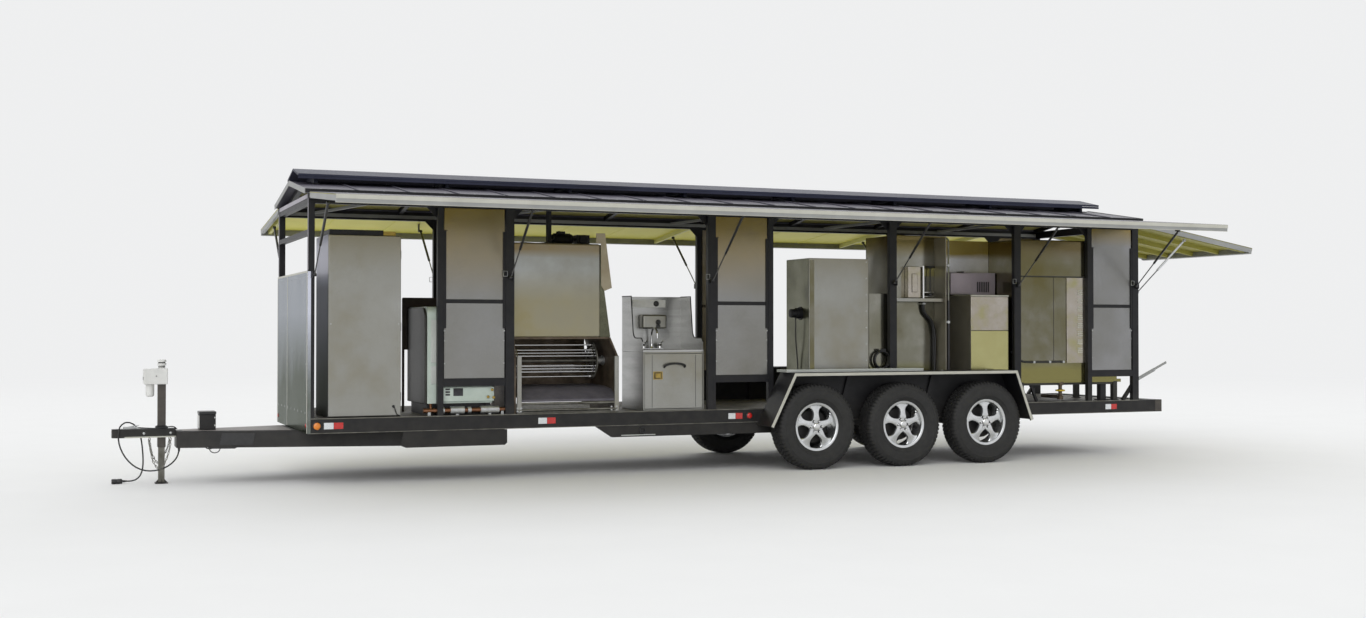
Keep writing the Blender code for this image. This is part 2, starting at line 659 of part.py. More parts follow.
def roof_under(across):
    """Height of the roof sheet's underside at a distance from the middle."""
    return RIDGE_UNDER - (RIDGE_UNDER - ROOF_EDGE_UNDER) * abs(across) / ROOF_EDGE_Y


def build_roof():
    """Rafters and purlins, the folded roof sheet and the raised ridge cap."""
    frame = Body()
    edge = BEAM_INNER - GAP
    top_edge, top_ridge = roof_under(edge) - GAP * 2, roof_under(0) - GAP * 2
    rafter = [(-edge, top_edge - RAFTER_DEPTH), (0, top_ridge - RAFTER_DEPTH),
              (edge, top_edge - RAFTER_DEPTH), (edge, top_edge), (0, top_ridge), (-edge, top_edge)]
    first, last = THIN_POST + STEP, DECK_LENGTH - THIN_POST - RAFTER_WIDTH - STEP * 2
    for number in range(RAFTER_COUNT):
        start = first + (last - first) * number / (RAFTER_COUNT - 1)
        frame.plate("YZ", [rafter], start, start + RAFTER_WIDTH)
    for share in PURLIN_SHARES:
        middle = share * edge
        top = roof_under(abs(middle) + PURLIN_WIDTH / 2) - STEP
        frame.box((first + STEP, middle - PURLIN_WIDTH / 2, top - PURLIN_DROP),
                  (last + RAFTER_WIDTH - STEP, middle + PURLIN_WIDTH / 2, top))
    frame.build("roof_frame", BLACK)

    skin = Body()
    sheet = [(-ROOF_EDGE_Y, ROOF_EDGE_UNDER), (0, RIDGE_UNDER), (ROOF_EDGE_Y, ROOF_EDGE_UNDER),
             (ROOF_EDGE_Y, ROOF_EDGE_UNDER + ROOF_THICK), (0, RIDGE_UNDER + ROOF_THICK),
             (-ROOF_EDGE_Y, ROOF_EDGE_UNDER + ROOF_THICK)]
    skin.plate("YZ", [sheet], -ROOF_OVERHANG, DECK_LENGTH + ROOF_OVERHANG)
    skin.build("roof_skin", SKIN)

    cap = Body()
    cap_edge = roof_under(CAP_HALF) + ROOF_THICK + CAP_EDGE_STANDOFF
    cap_ridge = roof_under(0) + ROOF_THICK + CAP_RIDGE_STANDOFF
    fold = [(-CAP_HALF, cap_edge), (0, cap_ridge), (CAP_HALF, cap_edge),
            (CAP_HALF, cap_edge + CAP_THICK), (0, cap_ridge + CAP_THICK), (-CAP_HALF, cap_edge + CAP_THICK)]
    cap.plate("YZ", [fold], CAP_START, CAP_END)
    leg_top = cap_ridge - (cap_ridge - cap_edge) * CAP_LEG_HALF / CAP_HALF + CAP_THICK / 2
    leg_low = roof_under(CAP_LEG_HALF) + ROOF_THICK + GAP
    leg = [(-CAP_LEG_HALF, leg_low), (0, roof_under(0) + ROOF_THICK + GAP), (CAP_LEG_HALF, leg_low),
           (CAP_LEG_HALF, leg_top), (0, cap_ridge + CAP_THICK / 2), (-CAP_LEG_HALF, leg_top)]
    leg_run = CAP_END - CAP_START - CAP_LEG_INSET * 2
    for number in range(CAP_LEG_COUNT):
        start = CAP_START + CAP_LEG_INSET + leg_run * number / (CAP_LEG_COUNT - 1)
        cap.plate("YZ", [leg], start - CAP_LEG_WIDTH / 2, start + CAP_LEG_WIDTH / 2)
    cap.build("ridge_cap", GLOSS)


def build_nose_panel():
    """Stainless sheet across the front, folded round the corner posts."""
    panel = Body()
    outer, inner = HALF_WIDTH + GAP + NOSE_PANEL_THICK, HALF_WIDTH + GAP
    front, back = -GAP - NOSE_PANEL_THICK, -GAP
    fold = [(front, -outer), (NOSE_PANEL_RETURN, -outer), (NOSE_PANEL_RETURN, -inner), (back, -inner),
            (back, inner), (NOSE_PANEL_RETURN, inner), (NOSE_PANEL_RETURN, outer), (front, outer)]
    panel.plate("XY", [fold], RAIL_LOW + STEP, NOSE_PANEL_TOP)
    panel.build("nose_panel", STEEL)


def lay(side, along, out, up):
    """Place a point of an awning or strut: along its hinge, outwards and up."""
    return (out, along, up) if side == 0 else (along, side * out, up)


def build_awning(name, side, start, end, depth, slope, ribs, lugs):
    """One awning: sheet, edge beams, ribs, strut lugs and hinge barrel, turned to its slope."""
    panel = Body()
    under = AWNING_TOP - AWNING_SHEET
    panel.box(lay(side, start, 0, under), lay(side, end, depth, AWNING_TOP))
    panel.box(lay(side, start + STEP, 0, 0), lay(side, end - STEP, AWNING_EDGE, AWNING_TOP - STEP))
    panel.box(lay(side, start + STEP, depth - AWNING_EDGE, -AWNING_DROP),
              lay(side, end - STEP, depth - STEP, AWNING_TOP - STEP))
    for place in [start + STEP * 2, end - AWNING_RIB - STEP * 2] + list(ribs):
        panel.box(lay(side, place, AWNING_EDGE - LAP, -AWNING_RIB_DROP),
                  lay(side, place + AWNING_RIB, depth - AWNING_EDGE + LAP, AWNING_TOP - STEP * 2))
    for place in lugs:
        near_end, far_end = STRUT_OUT - STRUT_LUG_HEIGHT / 2, STRUT_OUT + STRUT_LUG_HEIGHT / 2
        panel.box(lay(side, place, near_end, -STRUT_DROP - STRUT_EYE / 2),
                  lay(side, place + STRUT_LUG, far_end, AWNING_TOP - AWNING_SHEET / 2))
    panel.rod(lay(side, start + STEP * 3, 0, 0), lay(side, end - STEP * 3, 0, 0), HINGE_RADIUS, 8)
    if side == 0:
        panel.build(name, CREAM, (REAR_HINGE_X, 0, HINGE_Z), (0, slope, 0))
    else:
        panel.build(name, CREAM, (0, side * HINGE_Y, HINGE_Z), (-side * slope, 0, 0))


def strut_line(slope, hinge_out, foot_out, foot_z):
    """Return a strut's upper pivot, length and lean, outwards and up from the hinge's side."""
    out = hinge_out + STRUT_OUT * cos(slope) - STRUT_DROP * sin(slope)
    up = HINGE_Z - STRUT_OUT * sin(slope) - STRUT_DROP * cos(slope)
    return out, up, hypot(out - foot_out, up - foot_z), atan2(out - foot_out, up - foot_z)


def build_strut(name, side, place, line):
    """One gas strut, built hanging from its upper eye and then leaned over."""
    out, up, length, lean = line
    strut = Body()
    half = STRUT_EYE_WIDTH / 2
    for height in (0, -length):
        strut.rod(lay(side, -half, 0, height), lay(side, half, 0, height), STRUT_EYE)
    change = -length * STRUT_CYLINDER_SHARE
    strut.rod(lay(side, 0, 0, -STRUT_EYE / 2), lay(side, 0, 0, change), STRUT_RADIUS, 10)
    strut.rod(lay(side, 0, 0, change + LAP), lay(side, 0, 0, -length + STRUT_EYE / 2), STRUT_ROD, 8)
    if side == 0:
        strut.build(name, BLACK, (out, place, up), (0, lean, 0))
    else:
        strut.build(name, BLACK, (place, side * out, up), (-side * lean, 0, 0))


def build_awnings():
    """Two side awnings and the rear one, each with its struts."""
    beside = STRUT_EYE_WIDTH / 2 + GAP
    foot = HALF_WIDTH + STRUT_POST_GAP
    line = strut_line(SIDE_AWNING_SLOPE, HINGE_Y, foot, STRUT_FOOT_Z)
    for side, word in ((NEAR, "near"), (FAR, "far")):
        places = strut_places(side)
        lugs = [place + beside for place in places]
        ribs = [place + STEP for place in lugs]
        numbers = NEAR_RIB_POSTS if side == NEAR else FAR_RIB_POSTS
        ribs += [posts(side)[number][0] + beside for number in numbers]
        build_awning("awning_" + word, side, 0, AWNING_LENGTH, SIDE_AWNING_DEPTH,
                     SIDE_AWNING_SLOPE, ribs, lugs)
        for number, place in enumerate(places, 1):
            build_strut(f"strut_{word}_{number}", side, place, line)
    foot = DECK_LENGTH + STRUT_POST_GAP
    rear_line = strut_line(REAR_AWNING_SLOPE, REAR_HINGE_X, foot, REAR_STRUT_FOOT_Z)
    lugs = [-REAR_STRUT_Y + beside, REAR_STRUT_Y - beside - STRUT_LUG]
    ribs = [share * REAR_STRUT_Y for share in REAR_RIB_SHARES]
    ribs += [lugs[0] + STEP, lugs[1] + STRUT_LUG - AWNING_RIB - STEP]
    build_awning("awning_rear", 0, -HALF_WIDTH, HALF_WIDTH, REAR_AWNING_DEPTH,
                 REAR_AWNING_SLOPE, ribs, lugs)
    for side, word in ((NEAR, "near"), (FAR, "far")):
        build_strut("strut_rear_" + word, 0, side * REAR_STRUT_Y, rear_line)


def turned(name, profile, steps):
    """Make a mesh turned about +Z from radius and height pairs that run down its outer side."""
    mesh = bpy.data.meshes.new(name)
    shape = bmesh.new()
    verts = [shape.verts.new((radius, 0, height)) for radius, height in profile]
    for first, second in zip(verts, verts[1:]):
        shape.edges.new((first, second))
    if profile[0][0] > 0:
        shape.edges.new((verts[-1], verts[0]))
    shape.to_mesh(mesh)
    shape.free()
    made = bpy.data.objects.new(name, mesh)
    bpy.context.scene.collection.objects.link(made)
    turn = made.modifiers.new("turn", "SCREW")
    turn.axis = "Z"
    turn.steps = steps
    turn.render_steps = steps
    turn.use_merge_vertices = True
    turn.merge_threshold = WELD
    return made


def tyre_profile():
    """Half of the tyre's section, mirrored: bead, bulging sidewall, shoulder and tread."""
    bead = RIM_HALF - RIM_LIP - GAP
    half = [(RIM_BARREL + GAP, bead), (RIM_FLANGE + GAP, bead), (RIM_FLANGE + LAP, RIM_HALF),
            (TYRE_BULGE_RADIUS, TYRE_WIDTH / 2), (TYRE_RADIUS - RIM_LIP * 2, TYRE_SHOULDER + RIM_LIP),
            (TYRE_RADIUS - STEP, TYRE_SHOULDER - RIM_LIP), (TYRE_RADIUS, TYRE_SHOULDER / 2)]
    return half + [(radius, -height) for radius, height in reversed(half)]


def rim_profile():
    """The rim's section from its cap to the back of its disc."""
    inner = RIM_BARREL - RIM_WALL
    return [(0, RIM_CAP_FACE), (RIM_CAP_RADIUS, RIM_CAP_FACE), (RIM_CAP_RADIUS, RIM_DISC_FACE),
            (inner, RIM_DISC_FACE), (inner, RIM_HALF), (RIM_FLANGE, RIM_HALF),
            (RIM_FLANGE, RIM_HALF - RIM_LIP), (RIM_BARREL, RIM_HALF - RIM_LIP),
            (RIM_BARREL, -RIM_HALF + RIM_LIP), (RIM_FLANGE, -RIM_HALF + RIM_LIP),
            (RIM_FLANGE, -RIM_HALF), (inner, -RIM_HALF), (inner, RIM_DISC_BACK), (0, RIM_DISC_BACK)]


def rim_windows():
    """Five openings between the spokes, as one cutter."""
    windows = []
    for number in range(SPOKES):
        middle = 2 * pi * (number + 0.5) / SPOKES
        corners = []
        for radius, spread in ((WINDOW_INNER, WINDOW_HALF_ANGLE / 2), (WINDOW_OUTER, WINDOW_HALF_ANGLE)):
            pair = [middle - spread, middle + spread]
            pair = pair if radius == WINDOW_INNER else pair[::-1]
            corners += [(radius * cos(turn), radius * sin(turn)) for turn in pair]
        shape = bmesh.new()
        outline_into(shape, "XY", [corners], RIM_DISC_BACK - OVERRUN, RIM_DISC_FACE + OVERRUN)
        windows.append(shape)
    return windows


def settled(holder):
    """Return the evaluated mesh of an object and remove the object."""
    graph = bpy.context.evaluated_depsgraph_get()
    mesh = bpy.data.meshes.new_from_object(holder.evaluated_get(graph))
    bpy.data.objects.remove(holder)
    return mesh


def build_wheels():
    """Six tyres and rims, each pair sharing one mesh, and the three axles."""
    tyre_mesh = settled(turned("tyre", tyre_profile(), WHEEL_STEPS))
    rim = turned("rim", rim_profile(), WHEEL_STEPS)
    joined(rim, rim_windows(), "DIFFERENCE")
    rim_mesh = settled(rim)
    tyre_mesh.materials.append(RUBBER)
    rim_mesh.materials.append(ALLOY)
    for mesh in (tyre_mesh, rim_mesh):
        mesh.shade_smooth()
        mesh.set_sharp_from_angle(angle=radians(35))
    for number in range(AXLE_COUNT):
        place = FIRST_AXLE + AXLE_SPACING * number
        for side, word in ((NEAR, "near"), (FAR, "far")):
            for kind, mesh in (("tyre", tyre_mesh), ("rim", rim_mesh)):
                wheel = bpy.data.objects.new(f"{kind}_{word}_{number + 1}", mesh)
                PARTS.objects.link(wheel)
                wheel.parent = ORIGIN
                wheel.location = (place, side * WHEEL_Y, TYRE_RADIUS)
                wheel.rotation_euler = (-side * pi / 2, 0, 0)
        build_axle(f"axle_{number + 1}", place)


def build_axle(name, place):
    """Torsion axle: cross tube, trailing arms, drums and spindles."""
    axle = Body()
    top = RAIL_LOW - GAP
    tube = place - ARM_LENGTH
    middle = top - AXLE_TUBE / 2
    across = HALF_WIDTH - RAIL_WIDTH + STEP
    axle.box((tube - AXLE_TUBE / 2, -across, top - AXLE_TUBE), (tube + AXLE_TUBE / 2, across, top))
    for side in (NEAR, FAR):
        inner = side * (across - LAP)
        outer = side * (across + ARM_WIDTH)
        low, high = sorted((inner, outer))
        half = ARM_HEIGHT / 2
        arm = [(tube - half, middle - half), (place + half, TYRE_RADIUS - half),
               (place + half, TYRE_RADIUS + half - STEP), (tube - half, middle + half - STEP)]
        axle.plate("XZ", [arm], low, high)
        axle.rod((place, side * across, TYRE_RADIUS),
                 (place, side * (WHEEL_Y + RIM_DISC_BACK - GAP), TYRE_RADIUS), SPINDLE_RADIUS)
        axle.rod((place, side * DRUM_INNER_Y, TYRE_RADIUS),
                 (place, side * (DRUM_INNER_Y + DRUM_WIDTH), TYRE_RADIUS), DRUM_RADIUS, 24)
    axle.build(name, BLACK)


def build_fender(side):
    """Folded fender over the three wheels, with its inner wall and outer lip."""
    line = [Vector((FENDER_START, FENDER_LOW)), Vector((FENDER_TOP_START, FENDER_TOP)),
            Vector((FENDER_TOP_END, FENDER_TOP)), Vector((FENDER_END, FENDER_LOW))]
    fender = Body()
    inner, outer = side * (HALF_WIDTH + GAP), side * FENDER_OUT
    fender.plate("XZ", [ribbon(line, FENDER_THICK)], *sorted((inner, outer)))
    lip = side * (FENDER_OUT - FENDER_LIP_WIDTH)
    fender.plate("XZ", [ribbon(line, FENDER_LIP)], *sorted((lip, side * (FENDER_OUT + STEP))))
    rise = (FENDER_WALL_LOW - FENDER_LOW) / (FENDER_TOP - FENDER_LOW)
    wall = [line[0].lerp(line[1], rise), line[1], line[2], line[3].lerp(line[2], rise)]
    shrink = [(LAP / 2, 0), (LAP / 2, -STEP), (-LAP / 2, -STEP), (-LAP / 2, 0)]
    wall = [tuple(point + Vector(move)) for point, move in zip(wall, shrink)]
    fender.plate("XZ", [wall], *sorted((inner + side * STEP, side * (HALF_WIDTH + GAP + FENDER_THICK))))
    fender.build("fender_near" if side == NEAR else "fender_far", BLACK)


def build_nose_cabinet():
    """Tall stainless cabinet at the nose."""
    cabinet = Body()
    cabinet.box((CABINET_START, FACE_Y, FLOOR),
                (CABINET_START + CABINET_LENGTH, FACE_Y + CABINET_DEPTH, DECK_TOP + CABINET_HEIGHT))
    cabinet.build("nose_cabinet", STEEL)


def build_boiler():
    """Mint boiler on a dark base."""
    boiler = Body()
    start, end = BOILER_START, BOILER_START + BOILER_LENGTH
    back = FACE_Y + BOILER_DEPTH
    inset = BOILER_BASE_SET
    boiler.box((start + inset, FACE_Y + inset, FLOOR),
               (end - inset, back - inset, DECK_TOP + BOILER_BASE + LAP))
    boiler.box((start, FACE_Y, DECK_TOP + BOILER_BASE), (end, back, BOILER_TOP))
    boiler.build("boiler", MINT)


def build_rotary():
    """Machine with a turning reel of rods: cheeks and tray, hood, and the reel."""
    start, end = ROTARY_START, ROTARY_START + ROTARY_LENGTH
    back = FACE_Y + ROTARY_DEPTH
    hood_face = FACE_Y + ROTARY_HOOD_SET
    frame = Body()
    cheek = [(FACE_Y, FLOOR), (back, FLOOR), (back, ROTARY_HOOD_LOW - GAP),
             (hood_face, ROTARY_HOOD_LOW - GAP), (FACE_Y, ROTARY_FRONT_LOW)]
    frame.plate("YZ", [cheek], start, start + ROTARY_CHEEK)
    frame.plate("YZ", [cheek], end - ROTARY_CHEEK, end)
    frame.box((start + STEP, FACE_Y + STEP, ROTARY_TRAY_Z),
              (end - STEP, back - STEP, ROTARY_TRAY_Z + ROTARY_TRAY_THICK))
    frame.box((start + STEP, back - ROTARY_CHEEK, ROTARY_TRAY_Z),
              (end - STEP, back - STEP * 2, ROTARY_HOOD_LOW - STEP))
    frame.build("rotary_frame", STEEL)

    hood = Body()
    hood.box((start, hood_face, ROTARY_HOOD_LOW), (end, back, ROTARY_HOOD_TOP))
    motor_y = (hood_face + back) / 2
    motor_z = ROTARY_HOOD_TOP + ROTARY_MOTOR_RADIUS - LAP
    middle = (start + end) / 2
    hood.rod((middle - ROTARY_MOTOR_LENGTH / 2, motor_y, motor_z),
             (middle + ROTARY_MOTOR_LENGTH / 2, motor_y, motor_z), ROTARY_MOTOR_RADIUS)
    hood.build("rotary_hood", STEEL)

    reel = Body()
    half = (ROTARY_LENGTH - ROTARY_CHEEK * 2) / 2 - GAP
    disc = half - REEL_DISC * 4
    reel.rod((-half, 0, 0), (half, 0, 0), REEL_SHAFT, 8)
    for side in (-1, 1):
        reel.rod((side * disc, 0, 0), (side * (disc - REEL_DISC), 0, 0), REEL_RADIUS, 18)
    reach = REEL_RADIUS - REEL_ROD * 3
    for number in range(REEL_GROUPS):
        turn = 2 * pi * number / REEL_GROUPS
        place = (reach * cos(turn), reach * sin(turn))
        reel.rod((-disc + STEP, *place), (disc - STEP, *place), REEL_ROD, 6)
    reel.build("rotary_reel", STEEL, ((start + end) / 2, FACE_Y + REEL_BACK, REEL_Z))


def build_sink():
    """Hand-wash unit: open-topped base, top with bowl and guards, and door."""
    start, end = SINK_START, SINK_START + SINK_LENGTH
    door_back = FACE_Y + SINK_DOOR_THICK
    front = door_back + GAP
    back = FACE_Y + SINK_DEPTH
    top = DECK_TOP + SINK_HEIGHT
    base = Body()
    base.box((start, front, FLOOR), (end, back, top))
    base.cut_box((start + SINK_WALL, front - OVERRUN, FLOOR + SINK_WALL),
                 (end - SINK_WALL, back - SINK_WALL, top + OVERRUN))
    base.build("sink_base", STEEL)

    deck = Body()
    low = top + GAP
    bowl_start, bowl_end = start + SINK_BOWL_RIM, end - SINK_BOWL_RIM
    bowl_front, bowl_back = front + SINK_BOWL_RIM, back - SINK_BOWL_RIM
    deck.box((start, front, low), (end, back, low + SINK_TOP_THICK))
    deck.box((bowl_start, bowl_front, low - SINK_BOWL_DEPTH), (bowl_end, bowl_back, low + LAP))
    guard = [(front + STEP, low + SINK_TOP_THICK / 2), (back - STEP, low + SINK_TOP_THICK / 2),
             (back - STEP, SINK_GUARD_TOP), ((front + back) / 2, SINK_GUARD_TOP),
             (front + STEP, SINK_GUARD_FRONT)]
    deck.plate("YZ", [guard], start + STEP, start + SINK_GUARD_THICK)
    deck.plate("YZ", [guard], end - SINK_GUARD_THICK, end - STEP)
    deck.box((start + STEP * 2, back - SINK_GUARD_THICK, low + SINK_TOP_THICK / 2),
             (end - STEP * 2, back - STEP * 2, SINK_GUARD_TOP - STEP))
    wall = SINK_GUARD_THICK
    deck.cut_box((bowl_start + wall, bowl_front + wall, low - SINK_BOWL_DEPTH + wall),
                 (bowl_end - wall, bowl_back - wall, low + SINK_TOP_THICK + OVERRUN))
    deck.build("sink_top", STEEL)

    door = Body()
    hinge_x = start + SINK_DOOR_MARGIN
    width = SINK_LENGTH - SINK_DOOR_MARGIN * 2
    door.box((0, 0, FLOOR + SINK_DOOR_MARGIN), (width, SINK_DOOR_THICK, top - SINK_DOOR_MARGIN))
    door.build("sink_door", STEEL, (hinge_x, FACE_Y, 0))


def build_rear_equipment():
    """Tall cabinet, chiller with its partition, small cabinet and rear tank."""
    tall = Body()
    tall.box((TALL_START, FACE_Y, FLOOR), (TALL_START + TALL_LENGTH, FACE_Y + TALL_DEPTH, TALL_TOP))
    tall.build("tall_cabinet", STEEL)
    chiller = Body()
    end = CHILLER_START + CHILLER_LENGTH
    back = FACE_Y + CHILLER_DEPTH
    chiller.box((CHILLER_START, FACE_Y, FLOOR), (end, back, CHILLER_TOP))
    chiller.box((end - LAP, back - PARTITION_THICK - STEP, FLOOR + STEP),
                (PARTITION_END, back - STEP, CHILLER_TOP - STEP))
    chiller.build("chiller", STEEL)
    small = Body()
    small.box((SMALL_START, FACE_Y, FLOOR),
              (SMALL_START + SMALL_LENGTH, FACE_Y + SMALL_DEPTH, SMALL_TOP))
    small.build("small_cabinet", STEEL)
    tank = Body()
    tank_end, tank_back = TANK_START + TANK_LENGTH, FACE_Y + TANK_DEPTH
    tank.box((TANK_START, FACE_Y, TANK_LOW), (tank_end, tank_back, TANK_TOP))
    for x in (TANK_START + STEP, tank_end - TANK_LEG - STEP):
        for y in (FACE_Y + STEP, tank_back - TANK_LEG - STEP):
            tank.box((x, y, FLOOR), (x + TANK_LEG, y + TANK_LEG, TANK_LOW + LAP))
    tank.build("rear_tank", STEEL)


build_chassis()
build_tongue()
build_towing_lead()
for SIDE in (NEAR, FAR):
    build_side_frame(SIDE)
    build_panels(SIDE)
    build_fender(SIDE)
build_roof()
build_nose_panel()
build_awnings()
build_wheels()
build_nose_cabinet()
build_boiler()
build_rotary()
build_sink()
build_rear_equipment()
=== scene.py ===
# %% [markdown]
# # An open-sided kitchen trailer
#
# The real thing is a long trailer on three axles. Black square tubes carry a roof, three awnings stand open
# on gas struts, and stainless kitchen equipment stands along one side of the deck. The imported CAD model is
# a fixed frame here. Every lesson below dresses one part of it, either with a better finish or with a
# detailed piece.

# %% Load the frame
from math import atan2, cos, hypot, pi, radians, sin

import bmesh
import bpy
from mathutils import Matrix, Vector


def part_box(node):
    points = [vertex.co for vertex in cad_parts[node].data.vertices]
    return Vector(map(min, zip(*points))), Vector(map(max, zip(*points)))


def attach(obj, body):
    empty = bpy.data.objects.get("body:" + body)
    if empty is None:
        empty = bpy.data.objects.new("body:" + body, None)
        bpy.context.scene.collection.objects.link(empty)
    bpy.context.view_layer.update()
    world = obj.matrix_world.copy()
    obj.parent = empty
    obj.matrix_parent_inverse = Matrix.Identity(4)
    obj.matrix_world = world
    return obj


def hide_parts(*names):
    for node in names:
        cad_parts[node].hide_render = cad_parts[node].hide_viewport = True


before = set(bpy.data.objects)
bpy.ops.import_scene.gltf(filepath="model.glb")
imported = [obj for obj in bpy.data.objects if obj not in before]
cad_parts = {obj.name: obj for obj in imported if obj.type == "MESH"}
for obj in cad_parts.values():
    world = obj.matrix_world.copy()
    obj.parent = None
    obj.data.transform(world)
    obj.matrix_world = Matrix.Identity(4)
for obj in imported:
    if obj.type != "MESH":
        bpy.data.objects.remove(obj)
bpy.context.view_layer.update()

# %% [markdown]
# ## Places on the trailer
#
# Places along the trailer are counted from the deck's front edge, as a builder with a tape would. The frame
# gives that edge and most other sizes, so nothing has to be fitted by eye. Posts are listed as shares of
# the deck's length.

# %% Driving sizes
deck_low, deck_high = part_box("deck_plate")
rail_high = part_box("chassis_frame")[1]
FRONT = deck_low.x
DECK_LENGTH = deck_high.x - deck_low.x
DECK_TOP = deck_high.z
HALF_WIDTH = rail_high.y
RAIL_LOW = 0.433
RAIL_END = rail_high.x - FRONT
THIN, WIDE = 0.051, 0.076
EAVE_LOW, EAVE_TOP = 2.30, 2.38
FACE = 0.795
NEAR, FAR = -1, 1
SIDES = ((NEAR, "near"), (FAR, "far"))
INNER_POST_SHARES = {
    NEAR: ((0.1302, THIN), (0.2019, WIDE), (0.4269, WIDE), (0.4976, THIN), (0.6526, WIDE), (0.8222, WIDE),
           (0.9266, THIN)),
    FAR: ((0.1744, WIDE), (0.2497, THIN), (0.4982, THIN), (0.5687, THIN), (0.7742, WIDE), (0.9235, THIN)),
}


def at(place):
    """Turn a place counted from the deck's front edge into the frame's X."""
    return FRONT + place


def posts(side):
    """Return the middle and width of each post of a side, front to rear."""
    inner = [(share * DECK_LENGTH, width) for share, width in INNER_POST_SHARES[side]]
    return [(THIN / 2, THIN)] + inner + [(DECK_LENGTH - WIDE / 2, WIDE)]


print("deck", round(DECK_LENGTH, 3), "long, posts near", len(posts(NEAR)), "far", len(posts(FAR)))

# %% [markdown]
# ## The camera
#
# The photographer stood level with the front of the deck, thirteen metres to the side, and looked back
# along the trailer. Upright posts stay upright in the photograph, so the camera looks almost level. A
# normal 39 mm lens on a
# 36 mm wide sensor gives the same spread as the picture.

# %% Camera
CAMERA_PLACE = Vector((at(-1.905), -13.11, 1.277))
CAMERA_LOOK = Vector((0.3901, 0.9208, 0.0138))
LENS_MM, SENSOR_MM = 39.27, 36.0
camera_data = bpy.data.cameras.new("camera")
camera_data.lens = LENS_MM
camera_data.sensor_width = SENSOR_MM
camera = bpy.data.objects.new("camera", camera_data)
bpy.context.scene.collection.objects.link(camera)
camera.location = CAMERA_PLACE
camera.rotation_euler = CAMERA_LOOK.to_track_quat("-Z", "Y").to_euler()
bpy.context.scene.camera = camera
bpy.context.scene.view_settings.view_transform = "Standard"
print("camera at", [round(part, 3) for part in camera.location])

# %% [markdown]
# ## Shapes
#
# Most pieces are sheet, tube or rod, so a few helpers add a box, a rod, a cut outline or a turned profile
# to one mesh. A piece is finished with a small bevel, because a real folded or sawn edge always catches a
# line of light.

# %% Helpers that add a shape to a mesh
STAGE = "kitchen_pieces"
pieces = bpy.data.collections.new(STAGE)
bpy.context.scene.collection.children.link(pieces)
EDGE = 0.0015


def box_in(shape, low, high):
    """Add a box between two corners."""
    first, second = Vector(low), Vector(high)
    size = [abs(part) for part in second - first]
    place = Matrix.Translation((first + second) / 2) @ Matrix.Diagonal((*size, 1))
    return bmesh.ops.create_cube(shape, size=1, matrix=place)["verts"]


def block_in(shape, start, end, front, back, low, high):
    """Add a box by places along the deck, across it and up."""
    return box_in(shape, (at(start), front, low), (at(end), back, high))


def rod_in(shape, start, end, radius, sides=16, end_radius=None):
    """Add a round rod, or a cone, between two points."""
    first, second = Vector(start), Vector(end)
    along = second - first
    turn = along.to_track_quat("Z", "Y").to_matrix().to_4x4()
    place = Matrix.Translation((first + second) / 2) @ turn
    return bmesh.ops.create_cone(shape, cap_ends=True, segments=sides, radius1=radius,
                                 radius2=radius if end_radius is None else end_radius,
                                 depth=along.length, matrix=place)["verts"]


def bar_in(shape, start, end, width, height):
    """Add a square bar between two points, upright in its height."""
    first, second = Vector(start), Vector(end)
    along = second - first
    across = along.cross(Vector((0, 0, 1))).normalized()
    up = across.cross(along).normalized()
    turn = Matrix((along.normalized(), across, up)).transposed().to_4x4()
    size = Matrix.Diagonal((along.length, width, height, 1))
    place = Matrix.Translation((first + second) / 2) @ turn @ size
    return bmesh.ops.create_cube(shape, size=1, matrix=place)["verts"]


def turned(spot, axis, quarters=1):
    """Return the place of a piece that is moved to a spot and turned by quarters about an axis."""
    return Matrix.Translation(spot) @ Matrix.Rotation(quarters * pi / 2, 4, axis)


def outline_in(shape, points, depth):
    """Add a plate from the points of its outline, thickened by a vector."""
    base = [shape.verts.new(point) for point in points]
    face = shape.faces.new(base)
    top = bmesh.ops.extrude_face_region(shape, geom=[face])["geom"]
    moved = [item for item in top if isinstance(item, bmesh.types.BMVert)]
    bmesh.ops.translate(shape, verts=moved, vec=Vector(depth))
    return base + moved


def turned_in(shape, profile, place=Matrix.Identity(4), steps=32):
    """Turn radius and height pairs about Z and put the result in place."""
    rings = []
    for radius, height in profile:
        if radius < EDGE / 10:
            rings.append([shape.verts.new(place @ Vector((0, 0, height)))])
        else:
            turns = [2 * pi * step / steps for step in range(steps)]
            rings.append([shape.verts.new(place @ Vector((radius * cos(turn), radius * sin(turn), height)))
                          for turn in turns])
    for first, second in zip(rings, rings[1:]):
        for step in range(steps):
            after = (step + 1) % steps
            corners = [first[step % len(first)], first[after % len(first)],
                       second[after % len(second)], second[step % len(second)]]
            corners = list(dict.fromkeys(corners))
            if len(corners) > 2:
                shape.faces.new(corners)
    return [vert for ring in rings for vert in ring]


print("shape helpers ready")

# %% Helpers that finish a piece
SMOOTH_ANGLE = radians(35)


def piece(name, shape, made_of, body="chassis", edge=EDGE, stands_for=()):
    """Make an object of a mesh, round its edges, and let it ride on a body."""
    bmesh.ops.recalc_face_normals(shape, faces=shape.faces)
    mesh = bpy.data.meshes.new(name)
    shape.to_mesh(mesh)
    shape.free()
    mesh.materials.append(made_of)
    made = bpy.data.objects.new(name, mesh)
    pieces.objects.link(made)
    mesh.shade_smooth()
    if edge:
        rounding = made.modifiers.new("edges", "BEVEL")
        rounding.width = edge
        rounding.segments = 2
        rounding.limit_method = "ANGLE"
        rounding.angle_limit = SMOOTH_ANGLE
        rounding.harden_normals = True
    else:
        mesh.set_sharp_from_angle(angle=SMOOTH_ANGLE)
    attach(made, body)
    if stands_for:
        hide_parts(*stands_for)
    return made


def boxes(name, made_of, *corners, **settings):
    """Make a piece of boxes, each between two corners."""
    shape = bmesh.new()
    for low, high in corners:
        box_in(shape, low, high)
    return piece(name, shape, made_of, **settings)


